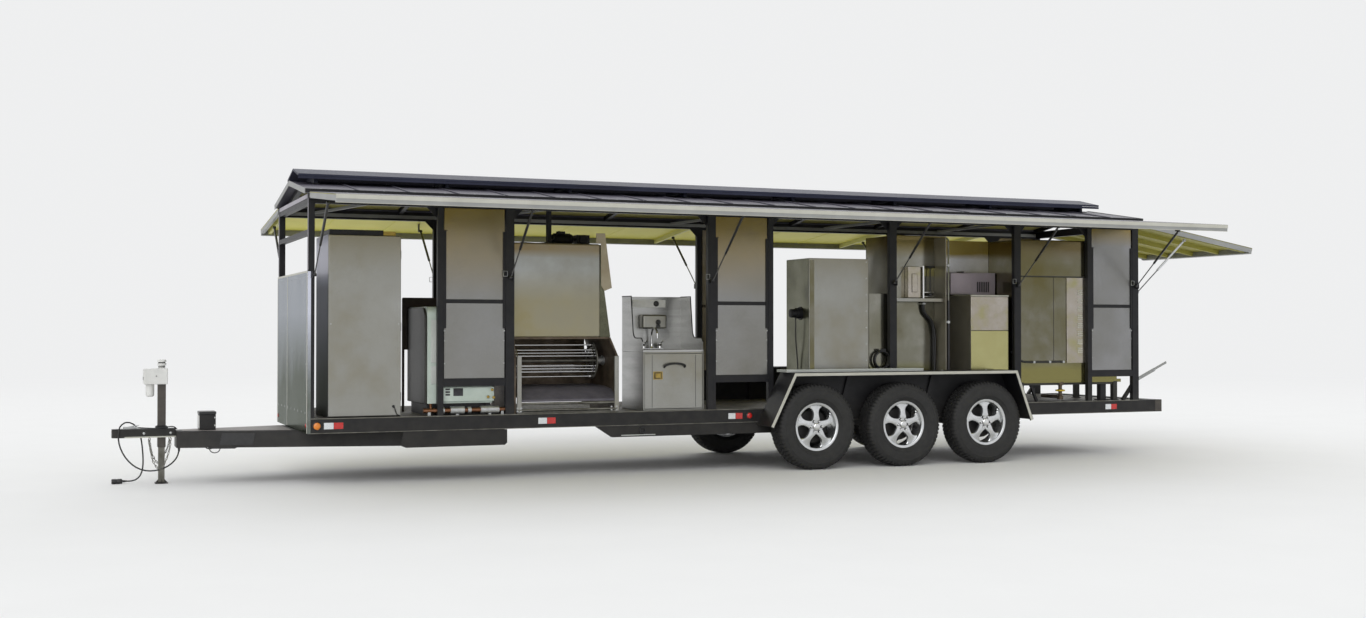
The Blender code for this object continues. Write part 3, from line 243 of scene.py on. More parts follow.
def blocks(name, made_of, *places, **settings):
    """Make a piece of boxes, each from places along the deck, across it and up."""
    shape = bmesh.new()
    for place in places:
        block_in(shape, *place)
    return piece(name, shape, made_of, **settings)


def smooth_route(points, steps):
    """Return a smooth line through the points of a route."""
    route = [Vector(point) for point in points]
    line = []
    for number in range(len(route) - 1):
        start, end = route[number], route[number + 1]
        before = route[number - 1] if number else start * 2 - end
        after = route[number + 2] if number + 2 < len(route) else end * 2 - start
        first, last = (end - before) / 2, (after - start) / 2
        for step in range(steps):
            part = step / steps
            line.append(start * (2 * part**3 - 3 * part**2 + 1) + first * (part**3 - 2 * part**2 + part)
                        + end * (3 * part**2 - 2 * part**3) + last * (part**3 - part**2))
    return line + [route[-1]]


def wire(name, line, radius, made_of, body="chassis", sides=3):
    """Make a round wire, pipe or handle along a line of points."""
    curve = bpy.data.curves.new(name, "CURVE")
    curve.dimensions = "3D"
    curve.bevel_depth = radius
    curve.bevel_resolution = sides
    curve.use_fill_caps = True
    spline = curve.splines.new("POLY")
    spline.points.add(len(line) - 1)
    for point, place in zip(spline.points, line):
        point.co = (*place, 1)
    spline.use_smooth = True
    curve.materials.append(made_of)
    made = bpy.data.objects.new(name, curve)
    pieces.objects.link(made)
    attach(made, body)
    return made


def routed(name, points, steps, radius, made_of, **settings):
    """Make a wire along a smooth route, from places along the deck, across it and up."""
    line = smooth_route([(at(x), y, z) for x, y, z in points], steps)
    return wire(name, line, radius, made_of, **settings)


print("piece helpers ready")

# %% [markdown]
# ## The room
#
# The trailer stands on one pale floor that reaches far out on every side, so it can be looked at from
# anywhere. A backdrop wall would hide it from behind. Instead, far from the trailer, the floor takes the
# same plain pale tone as the world, and the two melt together without an edge. Close by it is ordinary matt
# paper that takes a shadow. Soft even light from the sky and two wide, weak suns light it as an overcast
# day does.

# %% Floor
FLOOR_HALF = 400.0
PALE = (0.86, 0.865, 0.87, 1)
MELT_FROM, MELT_TO = 9.0, 30.0
PAPER_TINTS = (0.80, 0.80, 0.795, 1), (0.83, 0.83, 0.825, 1)
PAPER_GRAIN, PAPER_ROUGH, PAPER_GLOSS = 1.5, 0.9, 0.1


def node(tree, kind, values=None, joins=None, **options):
    """Add a shader node with its options, the values of its sockets and what is joined to them."""
    made = tree.nodes.new("ShaderNode" + kind)
    for name, option in options.items():
        setattr(made, name, option)
    for socket, value in (values or {}).items():
        made.inputs[socket].default_value = value
    for socket, source in (joins or {}).items():
        tree.links.new(source, made.inputs[socket])
    return made


def seen_straight(tree):
    """Return a socket that is 1 for what the camera, a gloss or clear glass sees, and 0 for light."""
    path = node(tree, "LightPath").outputs
    seen = path["Is Camera Ray"]
    for name in ("Is Glossy Ray", "Is Transmission Ray"):
        seen = node(tree, "Math", joins={0: seen, 1: path[name]}, operation="MAXIMUM").outputs[0]
    return seen


def make_floor():
    """Build the floor as one wide sheet that melts into the pale world far out."""
    shape = bmesh.new()
    bmesh.ops.create_grid(shape, x_segments=8, y_segments=8, size=FLOOR_HALF)
    mesh = bpy.data.meshes.new("floor")
    shape.to_mesh(mesh)
    shape.free()
    floor = bpy.data.objects.new("floor", mesh)
    pieces.objects.link(floor)
    paper = bpy.data.materials.new("floor_paper")
    paper.use_nodes = True
    tree = paper.node_tree
    shader = tree.nodes["Principled BSDF"]
    place = node(tree, "TexCoord").outputs["Object"]
    grain = node(tree, "TexNoise", {"Scale": PAPER_GRAIN}, {"Vector": place})
    tint = node(tree, "ValToRGB", joins={"Fac": grain.outputs["Fac"]})
    for stop, colour in zip(tint.color_ramp.elements, PAPER_TINTS):
        stop.color = colour
    tree.links.new(tint.outputs["Color"], shader.inputs["Base Color"])
    shader.inputs["Roughness"].default_value = PAPER_ROUGH
    shader.inputs["Specular IOR Level"].default_value = PAPER_GLOSS
    reach = node(tree, "VectorMath", joins={0: place}, operation="LENGTH").outputs["Value"]
    melt = node(tree, "MapRange", {"From Min": MELT_FROM, "From Max": MELT_TO}, {"Value": reach},
                interpolation_type="SMOOTHSTEP").outputs["Result"]
    share = node(tree, "Math", joins={0: melt, 1: seen_straight(tree)}, operation="MULTIPLY").outputs[0]
    pale = node(tree, "Emission", {"Color": PALE}).outputs["Emission"]
    both = node(tree, "MixShader", joins={"Fac": share, 1: shader.outputs["BSDF"], 2: pale})
    tree.links.new(both.outputs["Shader"], tree.nodes["Material Output"].inputs["Surface"])
    mesh.materials.append(paper)


make_floor()
print("floor", 2 * FLOOR_HALF, "m wide")

# %% Light
SKY_LOW, SKY_HIGH, SKY_FULL = (0.55, 0.55, 0.54, 1), (0.84, 0.85, 0.86, 1), 0.55
SUN_AWAY = 20
SUNS = (("sun_front", (-0.45, -0.75, 0.48), 60.0, 1.15), ("sun_back", (0.5, 0.6, 0.62), 70.0, 0.55))


def make_light():
    """Set the world light and two wide, weak suns."""
    world = bpy.data.worlds.new("studio")
    bpy.context.scene.world = world
    world.use_nodes = True
    tree = world.node_tree
    soft = tree.nodes["Background"]
    ways = node(tree, "TexCoord").outputs["Generated"]
    height = node(tree, "SeparateXYZ", joins={"Vector": ways}).outputs["Z"]
    sky = node(tree, "ValToRGB", joins={"Fac": height})
    low, high = sky.color_ramp.elements
    low.color, high.color, high.position = SKY_LOW, SKY_HIGH, SKY_FULL
    tree.links.new(sky.outputs["Color"], soft.inputs["Color"])
    seen = node(tree, "Background", {"Color": PALE}).outputs["Background"]
    blend = node(tree, "MixShader",
                 joins={"Fac": seen_straight(tree), 1: soft.outputs["Background"], 2: seen})
    tree.links.new(blend.outputs["Shader"], tree.nodes["World Output"].inputs["Surface"])
    for name, way, spread, strength in SUNS:
        lamp = bpy.data.lights.new(name, "SUN")
        lamp.angle = radians(spread)
        lamp.energy = strength
        sun = bpy.data.objects.new(name, lamp)
        pieces.objects.link(sun)
        sun.location = SUN_AWAY * Vector(way)
        sun.rotation_euler = Vector(way).to_track_quat("Z", "Y").to_euler()


make_light()
print(len(SUNS), "wide suns")

# %% [markdown]
# ## Finishes
#
# The trailer has few materials: black coated tube, brushed stainless sheet, painted roof sheet, rubber and
# alloy. One helper mixes them all from cloudy noise, so every surface gets its own slight colour changes,
# roughness and bump. The noise is laid in real metres, and stretching it along one axis gives brushed or
# rolled metal.

# %% A helper that mixes a finish
CLOUD_LOW, CLOUD_SPREAD = 0.32, 0.36
SPECK_LOW, SPECK_HIGH = 0.3, 0.7
GRAIN_DEEP = 0.001
SHEET_GRAIN, SHEET_BUMP = 420, 0.008
DENT_SCALE, DENT_DEEP = 1.6, 0.03


def finish(name, slot, tints, rough, metallic=0.0, grain=5.0, stretch=(1, 1, 1), fine=300.0, bump=0.1,
           bands=(), coat=0.0, dent=0.0, gloss=0.5):
    """Mix a finish from cloudy tints, roughness, a fine grain, and bands by height: road dust on black tube,
    painted reflection and shade on sheets.
    """
    made = bpy.data.materials.new(name)
    made.use_nodes = True
    made["slot"] = slot
    tree = made.node_tree
    shader = tree.nodes["Principled BSDF"].inputs
    place = node(tree, "TexCoord").outputs["Object"]
    laid = node(tree, "Mapping", {"Scale": stretch}, {"Vector": place}).outputs["Vector"]
    cloud = node(tree, "TexNoise", {"Scale": grain, "Detail": 6, "Roughness": 0.6},
                 {"Vector": laid}).outputs["Fac"]
    ramp = node(tree, "ValToRGB", joins={"Fac": cloud})
    stops = ramp.color_ramp.elements
    for number, tint in enumerate(tints):
        spot = CLOUD_LOW + CLOUD_SPREAD * number / (len(tints) - 1)
        stop = stops[number] if number < 2 else stops.new(spot)
        stop.position = spot
        stop.color = (*tint, 1)
    colour = ramp.outputs["Color"]
    for tint, clear, full, cover in bands:
        height = node(tree, "SeparateXYZ", joins={"Vector": place}).outputs["Z"]
        fade = node(tree, "MapRange", {"From Min": clear, "From Max": full, "To Max": cover},
                    {"Value": height})
        patchy = node(tree, "Math", joins={0: fade.outputs["Result"], 1: cloud}, operation="MULTIPLY",
                      use_clamp=True)
        layer = node(tree, "Mix", {"B": (*tint, 1)}, {"Factor": patchy.outputs["Value"], "A": colour},
                     data_type="RGBA")
        colour = layer.outputs["Result"]
    tree.links.new(colour, shader["Base Color"])
    speck = node(tree, "TexNoise", {"Scale": fine, "Detail": 3}, {"Vector": laid}).outputs["Fac"]
    spread = node(tree, "MapRange",
                  {"From Min": SPECK_LOW, "From Max": SPECK_HIGH, "To Min": rough[0], "To Max": rough[1]},
                  {"Value": speck})
    tree.links.new(spread.outputs["Result"], shader["Roughness"])
    normal = node(tree, "Bump", {"Strength": bump, "Distance": GRAIN_DEEP},
                  {"Height": speck}).outputs["Normal"]
    if dent:
        wave = node(tree, "TexNoise", {"Scale": DENT_SCALE, "Detail": 1}, {"Vector": place}).outputs["Fac"]
        normal = node(tree, "Bump", {"Strength": dent, "Distance": DENT_DEEP},
                      {"Height": wave, "Normal": normal}).outputs["Normal"]
    tree.links.new(normal, shader["Normal"])
    for socket, value in (("Metallic", metallic), ("Coat Weight", coat), ("Specular IOR Level", gloss)):
        shader[socket].default_value = value
    return made


def sheet(name, tints, rough, metallic, **settings):
    """Mix a sheet steel, which has a very fine grain and hardly any relief of its own."""
    return finish(name, "stainless_steel", tints, rough, metallic, fine=SHEET_GRAIN, bump=SHEET_BUMP,
                  **settings)


ROAD_DUST = (0.040, 0.037, 0.031)
print("finish helper ready")

# %% [markdown]
# ## Paint and metal
#
# Stainless sheet is not a mirror: it is brushed along the sheet and slightly slack. Its bands by height are
# painted reflection and painted shade: the warm yellow of the awnings, the lilac of the sky, and darker tones
# where a face stands in shade. Some sheets get lighter or darker copies of a steel, painted for the light
# their faces stand in. The equipment gets a warmer steel than the wall panels, a painted reflection of the
# awnings, and a more worn one, because it is cooked on. Black tube is coated and picks up road dust near the
# ground.

# %% Metals and paints
frame_black = finish("frame_black", "black_frame", ((0.008, 0.008, 0.010), (0.015, 0.015, 0.017)),
                     (0.38, 0.52), grain=9, bands=((ROAD_DUST, 0.75, 0.25, 1.0),), gloss=0.28)
# The wall panels' warm band at the top is a painted reflection of the awning; the rear panels' copy is a
# little lighter, with a shorter band, painted for the light it stands in.
panel_steel = sheet("panel_steel", ((0.20, 0.195, 0.175), (0.245, 0.243, 0.232), (0.27, 0.272, 0.272)),
                    (0.22, 0.3), 0.9, grain=1.1, dent=0.2, bands=(((0.27, 0.205, 0.085), 1.55, 2.30, 2.0),))
rear_panel_steel = sheet("rear_panel_steel", ((0.215, 0.212, 0.20), (0.25, 0.25, 0.248), (0.30, 0.30, 0.31)),
                         (0.22, 0.3), 0.9, grain=1.6, dent=0.25,
                         bands=(((0.27, 0.205, 0.085), 2.12, 2.30, 2.0),))
# The nose steel's lilac-blue tint is a painted reflection of the sky, and its band darkens the bottom as
# painted shade.
nose_steel = sheet("nose_steel", ((0.60, 0.62, 0.72), (0.70, 0.72, 0.83)), (0.2, 0.28), 0.9, grain=1.2,
                   stretch=(1, 2.2, 0.5), dent=0.3, bands=(((0.085, 0.10, 0.065), 1.42, 0.75, 2.2),))
nose_steel.node_tree.nodes["Principled BSDF"].inputs["Specular Tint"].default_value = (0.42, 0.44, 0.42, 1)
# The cabinet side is a dark copy of the steel as painted shade, with a lilac band of painted sky reflection
# at the top.
cabinet_side_shade = sheet("cabinet_side_shade", ((0.05, 0.05, 0.055), (0.085, 0.085, 0.09)), (0.3, 0.42), 0.5,
                     grain=2.5, dent=0.2, bands=(((0.36, 0.36, 0.43), 1.62, 1.78, 2.0),))
# Side steel is a dark olive copy for sides in shade: painted shade, tinted by a painted reflection of the
# awning.
side_shade_steel = sheet("side_shade_steel", ((0.075, 0.075, 0.05), (0.13, 0.13, 0.085), (0.19, 0.19, 0.14)),
                   (0.2, 0.32), 0.8, grain=2.2, dent=0.3)
brushed_steel = finish("brushed_steel", "stainless_steel", ((0.36, 0.36, 0.35), (0.46, 0.46, 0.45)),
                       (0.24, 0.36), metallic=1.0, grain=2.2, stretch=(0.6, 1, 9), fine=260, bump=0.02,
                       dent=0.08)
# The front steel's warm band at the top is a painted reflection of the awning.
front_steel = sheet("front_steel", ((0.25, 0.235, 0.185), (0.30, 0.297, 0.27), (0.34, 0.34, 0.325)),
                    (0.26, 0.36), 0.85, grain=1.3, dent=0.16, bands=(((0.25, 0.215, 0.13), 1.75, 2.1, 1.2),))
# The tank and bay steels' olive tints, their yellow towards the bottom and their brown towards the top, are
# painted reflection.
tank_steel = sheet("tank_steel", ((0.125, 0.108, 0.045), (0.16, 0.15, 0.098), (0.235, 0.228, 0.205)),
                   (0.14, 0.22), 0.95, grain=1.5, dent=0.45,
                   bands=(((0.225, 0.205, 0.08), 0.98, 0.86, 2.2), ((0.14, 0.112, 0.055), 1.95, 2.12, 2.0)))
bay_steel = sheet("bay_steel", ((0.14, 0.13, 0.085), (0.20, 0.195, 0.155), (0.29, 0.285, 0.255)),
                  (0.14, 0.22), 0.95, grain=1.9, dent=0.5,
                  bands=(((0.26, 0.255, 0.10), 0.98, 0.80, 2.2), ((0.20, 0.16, 0.065), 1.98, 2.12, 2.0)))
# The bay wall's near-white band and its yellow-brown top band are painted reflection.
bay_wall_steel = sheet("bay_wall_steel", ((0.16, 0.145, 0.11), (0.24, 0.225, 0.18)), (0.24, 0.34), 0.4,
                       grain=1.6, dent=0.3,
                       bands=(((0.80, 0.80, 0.85), 1.80, 1.88, 1.9), ((0.38, 0.29, 0.08), 1.99, 2.06, 2.2)))
polished_steel = sheet("polished_steel", ((0.36, 0.33, 0.14), (0.43, 0.41, 0.20)), (0.14, 0.22), 0.95,
                       grain=1.6, dent=0.25)
blush_steel = sheet("blush_steel", ((0.34, 0.315, 0.17), (0.37, 0.335, 0.28), (0.43, 0.395, 0.36)),
                    (0.14, 0.22), 0.95, grain=4.5, dent=0.25)
dark_steel = finish("dark_steel", "worn_steel", ((0.028, 0.028, 0.026), (0.055, 0.054, 0.048)), (0.34, 0.5),
                    metallic=0.6, grain=3, fine=140, bump=0.05, gloss=0.3)
worn_steel = finish("worn_steel", "worn_steel",
                    ((0.09, 0.085, 0.07), (0.16, 0.155, 0.135), (0.24, 0.235, 0.21)), (0.38, 0.55),
                    metallic=0.8, grain=7, fine=160, bump=0.12)
burnt_steel = finish("burnt_steel", "worn_steel",
                     ((0.045, 0.032, 0.022), (0.1, 0.075, 0.05), (0.15, 0.12, 0.09)), (0.4, 0.6),
                     metallic=0.55, grain=8, fine=150, bump=0.18)
chrome = finish("chrome", "polished_alloy", ((0.66, 0.66, 0.66), (0.74, 0.74, 0.74)), (0.08, 0.14),
                metallic=1.0, grain=8, bump=0.01)
alloy = finish("alloy", "polished_alloy", ((0.56, 0.57, 0.58), (0.68, 0.69, 0.7)), (0.18, 0.28),
               metallic=0.9, grain=12, bump=0.02)
# Alloy shade is the near-black of pockets, slots, vents and wells: painted shade in those recesses.
alloy_shade = finish("alloy_shade", "polished_alloy", ((0.02, 0.02, 0.022), (0.05, 0.05, 0.055)),
                     (0.4, 0.55), metallic=0.5, grain=14, bump=0.05)
zinc = finish("zinc", "zinc_steel", ((0.36, 0.37, 0.37), (0.5, 0.51, 0.51)), (0.34, 0.5), metallic=0.85,
              grain=26, bump=0.12)
brass = finish("brass", "zinc_steel", ((0.32, 0.22, 0.06), (0.46, 0.34, 0.1)), (0.25, 0.4), metallic=0.95,
               grain=20, bump=0.05)
copper = finish("copper", "worn_steel", ((0.17, 0.08, 0.045), (0.28, 0.14, 0.08)), (0.25, 0.4), metallic=1.0,
                grain=18, bump=0.05)
print("metals mixed:", len(bpy.data.materials))

# %% Coats, sheet, rubber and lamp glass
rubber = finish("tyre_rubber", "tyre_rubber", ((0.011, 0.011, 0.011), (0.02, 0.0195, 0.019)), (0.62, 0.82),
                grain=18, fine=420, bump=0.2)
lead_rubber = finish("lead_rubber", "lead_rubber", ((0.012, 0.012, 0.013), (0.022, 0.022, 0.023)),
                     (0.45, 0.6), grain=30, fine=500, bump=0.1)
hose_black = finish("hose_black", "black_frame", ((0.008, 0.008, 0.009), (0.016, 0.016, 0.017)), (0.3, 0.45),
                    grain=30)
roof_paint = finish("roof_paint", "roof_sheet", ((0.060, 0.056, 0.076), (0.090, 0.085, 0.110)), (0.4, 0.52),
                    grain=1.2, metallic=0.1, bump=0.02, fine=300, dent=0.06, gloss=0.35)
ridge_gloss = finish("ridge_gloss", "ridge_black", ((0.016, 0.018, 0.036), (0.028, 0.031, 0.058)),
                     (0.42, 0.52), grain=2, bump=0.02, fine=60, gloss=0.22)
roof_under = finish("roof_under", "awning_sheet", ((0.36, 0.325, 0.085), (0.43, 0.39, 0.12)), (0.5, 0.65),
                    grain=2, bump=0.05)
awning_paint = finish("awning_paint", "awning_sheet", ((0.46, 0.43, 0.075), (0.54, 0.505, 0.11)),
                      (0.45, 0.58), grain=1.5, bump=0.04, fine=90, dent=0.06, gloss=0.3)
# The far underside's copy of the yellow is lighter, as painted light, and the rear underside's copy darker,
# as painted shade.
awning_far_lit_paint = finish("awning_far_lit_paint", "awning_sheet", ((0.68, 0.635, 0.10), (0.78, 0.73, 0.15)),
                          (0.45, 0.58), grain=1.5, bump=0.04, fine=90, dent=0.06, gloss=0.3)
awning_rear_shaded_paint = finish("awning_rear_shaded_paint", "awning_sheet", ((0.30, 0.28, 0.05), (0.36, 0.335, 0.075)),
                           (0.45, 0.58), grain=1.5, bump=0.04, fine=90, dent=0.06, gloss=0.3)
rib_paint = finish("rib_paint", "awning_sheet", ((0.52, 0.50, 0.17), (0.60, 0.58, 0.23)), (0.45, 0.58),
                   grain=3, bump=0.04, gloss=0.3)
trim_grey = finish("trim_grey", "awning_sheet", ((0.26, 0.265, 0.26), (0.315, 0.32, 0.31)), (0.36, 0.5),
                   grain=4, metallic=0.3, bump=0.04)
# Lilac highlight is a painted highlight for the front faces of the black bars.
lilac_highlight = finish("lilac_highlight", "awning_sheet", ((0.33, 0.31, 0.35), (0.40, 0.38, 0.42)), (0.4, 0.55),
                    grain=4, bump=0.03)
trim_cream = finish("trim_cream", "awning_sheet", ((0.42, 0.415, 0.36), (0.50, 0.495, 0.44)), (0.36, 0.5),
                    grain=4, bump=0.04)
mint = finish("mint", "mint_enamel", ((0.4, 0.47, 0.42), (0.5, 0.57, 0.52)), (0.3, 0.45), grain=5, bump=0.05,
              metallic=0.1)
cream_grey = finish("cream_grey", "mint_enamel", ((0.42, 0.44, 0.42), (0.52, 0.54, 0.52)), (0.35, 0.5),
                    grain=6, bump=0.06)
tan_paint = finish("tan_paint", "mint_enamel", ((0.3, 0.25, 0.17), (0.42, 0.37, 0.28)), (0.4, 0.55), grain=4,
                   bump=0.08)
deck_tread = finish("deck_tread", "deck_steel", ((0.07, 0.065, 0.055), (0.14, 0.13, 0.11)), (0.5, 0.7),
                    grain=5, metallic=0.4, bump=0.2, fine=120)
jack_white = finish("jack_white", "jack_paint", ((0.6, 0.6, 0.58), (0.7, 0.7, 0.68)), (0.3, 0.42), grain=9,
                    bump=0.03)
post_brown = finish("post_brown", "black_frame", ((0.035, 0.03, 0.026), (0.065, 0.055, 0.045)), (0.4, 0.55),
                    grain=9)
tongue_grey = finish("tongue_grey", "deck_steel", ((0.20, 0.182, 0.172), (0.28, 0.258, 0.245)), (0.45, 0.6),
                     grain=5, metallic=0.1, bump=0.06)
box_mauve = finish("box_mauve", "deck_steel", ((0.40, 0.345, 0.41), (0.49, 0.43, 0.50)), (0.4, 0.55),
                   grain=5, metallic=0.15, bump=0.05)
# Shade steel is the steel toned for faces deep in shade, lighter than they render there: painted light.
shade_steel = sheet("shade_steel", ((0.17, 0.155, 0.12), (0.24, 0.225, 0.18)), (0.28, 0.4), 0.35, grain=2.4,
                    dent=0.15)
shield_brown = finish("shield_brown", "worn_steel", ((0.028, 0.021, 0.017), (0.058, 0.043, 0.033)),
                      (0.55, 0.75), grain=5, bump=0.1, gloss=0.3)
plate_mauve = finish("plate_mauve", "deck_steel", ((0.1, 0.095, 0.115), (0.17, 0.16, 0.185)), (0.4, 0.6),
                     grain=6, metallic=0.3, bump=0.15)
strut_black = finish("strut_black", "black_strut", ((0.01, 0.01, 0.011), (0.02, 0.02, 0.021)), (0.22, 0.34),
                     grain=20, coat=0.3)
strut_grey = finish("strut_grey", "grey_strut", ((0.42, 0.43, 0.44), (0.52, 0.53, 0.54)), (0.26, 0.38),
                    grain=20, metallic=0.4)
rod_chrome = finish("rod_chrome", "grey_strut", ((0.10, 0.10, 0.105), (0.16, 0.16, 0.165)), (0.2, 0.3),
                    metallic=0.9)
lamp_red = finish("lamp_red", "black_frame", ((0.42, 0.012, 0.01), (0.55, 0.02, 0.015)), (0.12, 0.2),
                  grain=60, fine=900, bump=0.3, coat=0.4)
lamp_amber = finish("lamp_amber", "black_frame", ((0.62, 0.17, 0.012), (0.75, 0.24, 0.02)), (0.12, 0.2),
                    grain=60, fine=900, bump=0.3, coat=0.4)
tape_silver = finish("tape_silver", "black_frame", ((0.62, 0.64, 0.66), (0.74, 0.76, 0.78)), (0.2, 0.3),
                     grain=90, fine=700, bump=0.25, metallic=0.3)
label_blank = finish("label_blank", "black_frame", ((0.62, 0.62, 0.6), (0.7, 0.7, 0.68)), (0.45, 0.55),
                     grain=30)
label_gold = finish("label_gold", "zinc_steel", ((0.30, 0.20, 0.022), (0.38, 0.26, 0.035)), (0.4, 0.5),
                    grain=24)
valve_yellow = finish("valve_yellow", "zinc_steel", ((0.5, 0.34, 0.02), (0.62, 0.44, 0.04)), (0.35, 0.5),
                      grain=20)
print("finishes mixed:", len(bpy.data.materials))

# %% [markdown]
# ## The carried-over nodes
#
# Nodes whose shape is already right keep it and only get a finish. Each one is assigned to the object's
# material slots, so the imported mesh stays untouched.

# %% Give every CAD node its finish
PACKED_FINISH = {
    "roof_skin": roof_paint, "ridge_cap": ridge_gloss, "deck_plate": deck_tread, "tyre": rubber, "rim": alloy,
    "awning": awning_paint, "wall": panel_steel, "nose": front_steel, "strut": strut_black, "boiler": mint,
    "tall": front_steel, "chiller": bay_steel, "small": bay_steel, "rear": tank_steel, "sink": front_steel,
    "rotary": worn_steel, "reel": worn_steel, "towing": lead_rubber, "lead": lead_rubber,
}


def dress_nodes():
    """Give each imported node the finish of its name, or of its name's first word, or else the black one."""
    for name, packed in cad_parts.items():
        made = PACKED_FINISH.get(name) or PACKED_FINISH.get(name.split("_")[0], frame_black)
        packed.data.materials.clear()
        packed.data.materials.append(made)


dress_nodes()
print("nodes dressed:", sorted(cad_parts))

# %% [markdown]
# ## The towing lead
#
# A rubber lead leaves the tongue's crossbar, hangs in a loop, lies over the coupler and ends in a plug on
# the ground. It is a cord, so a smooth curve follows the same route as the model.

# %% The lead's route and its plug
LEAD_RADIUS, LEAD_STEPS = 0.006, 4
LEAD_ROUTE = ((-0.925, -0.055, 0.2991), (-0.927, -0.056, 0.262), (-0.945, -0.060, 0.212),
              (-0.985, -0.065, 0.166), (-1.045, -0.068, 0.130), (-1.115, -0.069, 0.113),
              (-1.190, -0.069, 0.116), (-1.262, -0.068, 0.146), (-1.322, -0.068, 0.200),
              (-1.366, -0.069, 0.268), (-1.392, -0.069, 0.342), (-1.398, -0.067, 0.414),
              (-1.387, -0.055, 0.475), (-1.350, -0.020, 0.508), (-1.305, 0.022, 0.507),
              (-1.256, 0.056, 0.474), (-1.226, 0.069, 0.412), (-1.211, 0.072, 0.340),
              (-1.203, 0.072, 0.265), (-1.199, 0.072, 0.190), (-1.203, 0.072, 0.120),
              (-1.221, 0.072, 0.064), (-1.256, 0.072, 0.031), (-1.295, 0.072, 0.0215),
              (-1.325, 0.072, 0.0215))
GRIP_LENGTH, PLUG_RADIUS = 0.035, 0.021


def make_lead():
    """Lay the lead along its route and put the plug on its end."""
    line = smooth_route([(at(place), y, z) for place, y, z in LEAD_ROUTE], LEAD_STEPS)[::2]
    lead = wire("towing_cable", line, LEAD_RADIUS, lead_rubber)
    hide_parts("towing_lead")
    end = turned(line[-1], "Y", -1)
    shape = bmesh.new()
    grip = [(LEAD_RADIUS + 0.004 * step / 6 + 0.0015 * (step % 2), GRIP_LENGTH * step / 6)
            for step in range(7)]
    body = [(0.0195, GRIP_LENGTH + 0.002), (PLUG_RADIUS, GRIP_LENGTH + 0.008), (PLUG_RADIUS, 0.072),
            (0.0195, 0.075), (0.0195, 0.079), (PLUG_RADIUS, 0.082), (PLUG_RADIUS, 0.112), (0.0195, 0.1175),
            (0.0165, 0.1195), (0.0165, 0.110), (0, 0.110)]
    turned_in(shape, grip + body, end, 24)
    plug = piece("lead_plug_body", shape, hose_black, edge=0, stands_for=("lead_plug",))
    shape = bmesh.new()
    turned_in(shape,
              [(0.006, -0.036), (0.008, -0.03), (0.011, -0.008), (0.016, -0.006), (0.016, 0.0), (0, 0)],
              Matrix.Translation(line[0]), 20)
    piece("lead_gland", shape, hose_black, edge=0)
    return line


lead_line = make_lead()
print("lead points:", len(lead_line))

# %% [markdown]
# ## Tyres
#
# A trailer tyre has a ribbed tread with small blocks, square shoulder lugs and a bulging sidewall. The
# casing is turned from one profile, and the blocks are short wedges copied round it. That gives real
# grooves for a few thousand triangles, where a displaced surface would need many times more.

# %% Casing, tread and lugs
PITCHES = 64
SIDEWALL = [(0.3835, 0.0), (0.383, 0.03), (0.3815, 0.065), (0.377, 0.088), (0.366, 0.103), (0.350, 0.1112),
            (0.336, 0.1145), (0.334, 0.1162), (0.330, 0.1164), (0.328, 0.1152), (0.310, 0.1168),
            (0.292, 0.1172),
            (0.272, 0.1150), (0.262, 0.1128), (0.260, 0.1142), (0.256, 0.1140), (0.254, 0.1112),
            (0.240, 0.1040),
            (0.229, 0.0935), (0.2225, 0.0868), (0.2135, 0.0780)]
CASING = [(radius, -height) for radius, height in reversed(SIDEWALL[1:])] + SIDEWALL
TREAD_ROWS = ((-0.0115, 0.0115, 0.0, 0.78), (0.018, 0.044, 0.5, 0.70), (-0.044, -0.018, 0.25, 0.70))
SHOULDER_LUG = ((0.378, 0.052), (0.3902, 0.052), (0.3885, 0.080), (0.380, 0.0975), (0.3655, 0.1075),
                (0.360, 0.1085), (0.358, 0.103))


def wheel_place(word, number):
    """Return the place of a wheel: its middle, with Z turned outwards."""
    low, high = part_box(f"tyre_{word}_{number}")
    side = NEAR if word == "near" else FAR
    return turned((low + high) / 2, "X", -side)


def sector_in(shape, place, outline, start, end):
    """Add a wedge: an outline of radius and height pairs between two turns."""
    rows = [[shape.verts.new(place @ Vector((radius * cos(turn), radius * sin(turn), height)))
             for radius, height in outline] for turn in (start, end)]
    shape.faces.new(rows[0][::-1])
    shape.faces.new(rows[1])
    for number in range(len(outline)):
        after = (number + 1) % len(outline)
        shape.faces.new((rows[0][number], rows[0][after], rows[1][after], rows[1][number]))


def make_tyre(word, number):
    """Turn the casing and lay the tread blocks round it."""
    shape = bmesh.new()
    place = wheel_place(word, number)
    turned_in(shape, CASING, place, 72)
    pitch = 2 * pi / PITCHES
    for step in range(PITCHES):
        for low, high, shift, share in TREAD_ROWS:
            start = (step + shift) * pitch
            block = [(0.379, low), (0.3906, low), (0.3906, high), (0.379, high)]
            sector_in(shape, place, block, start, start + pitch * share)
        for side in (-1, 1):
            start = (step + 0.25 * side) * pitch
            lug = [(radius, side * height) for radius, height in SHOULDER_LUG]
            sector_in(shape, place, lug, start, start + pitch * 0.66)
    return piece(f"tyre_{word}_{number}_tread", shape, rubber, f"wheel_{word}_{number}", edge=0,
                 stands_for=(f"tyre_{word}_{number}",))


WHEELS = [(word, number) for _, word in SIDES for number in (1, 2, 3)]
for word, number in WHEELS:
    made = make_tyre(word, number)
print("tyre faces:", len(made.data.polygons), "each")

# %% [markdown]
# ## Alloy wheels
#
# Each wheel has five wide spokes that swell out of the hub and flare into a polished lip, with dark
# openings between them. A spoke is a small grid whose width and height change along the radius, which gives
# the curved openings that a cut disc does not.

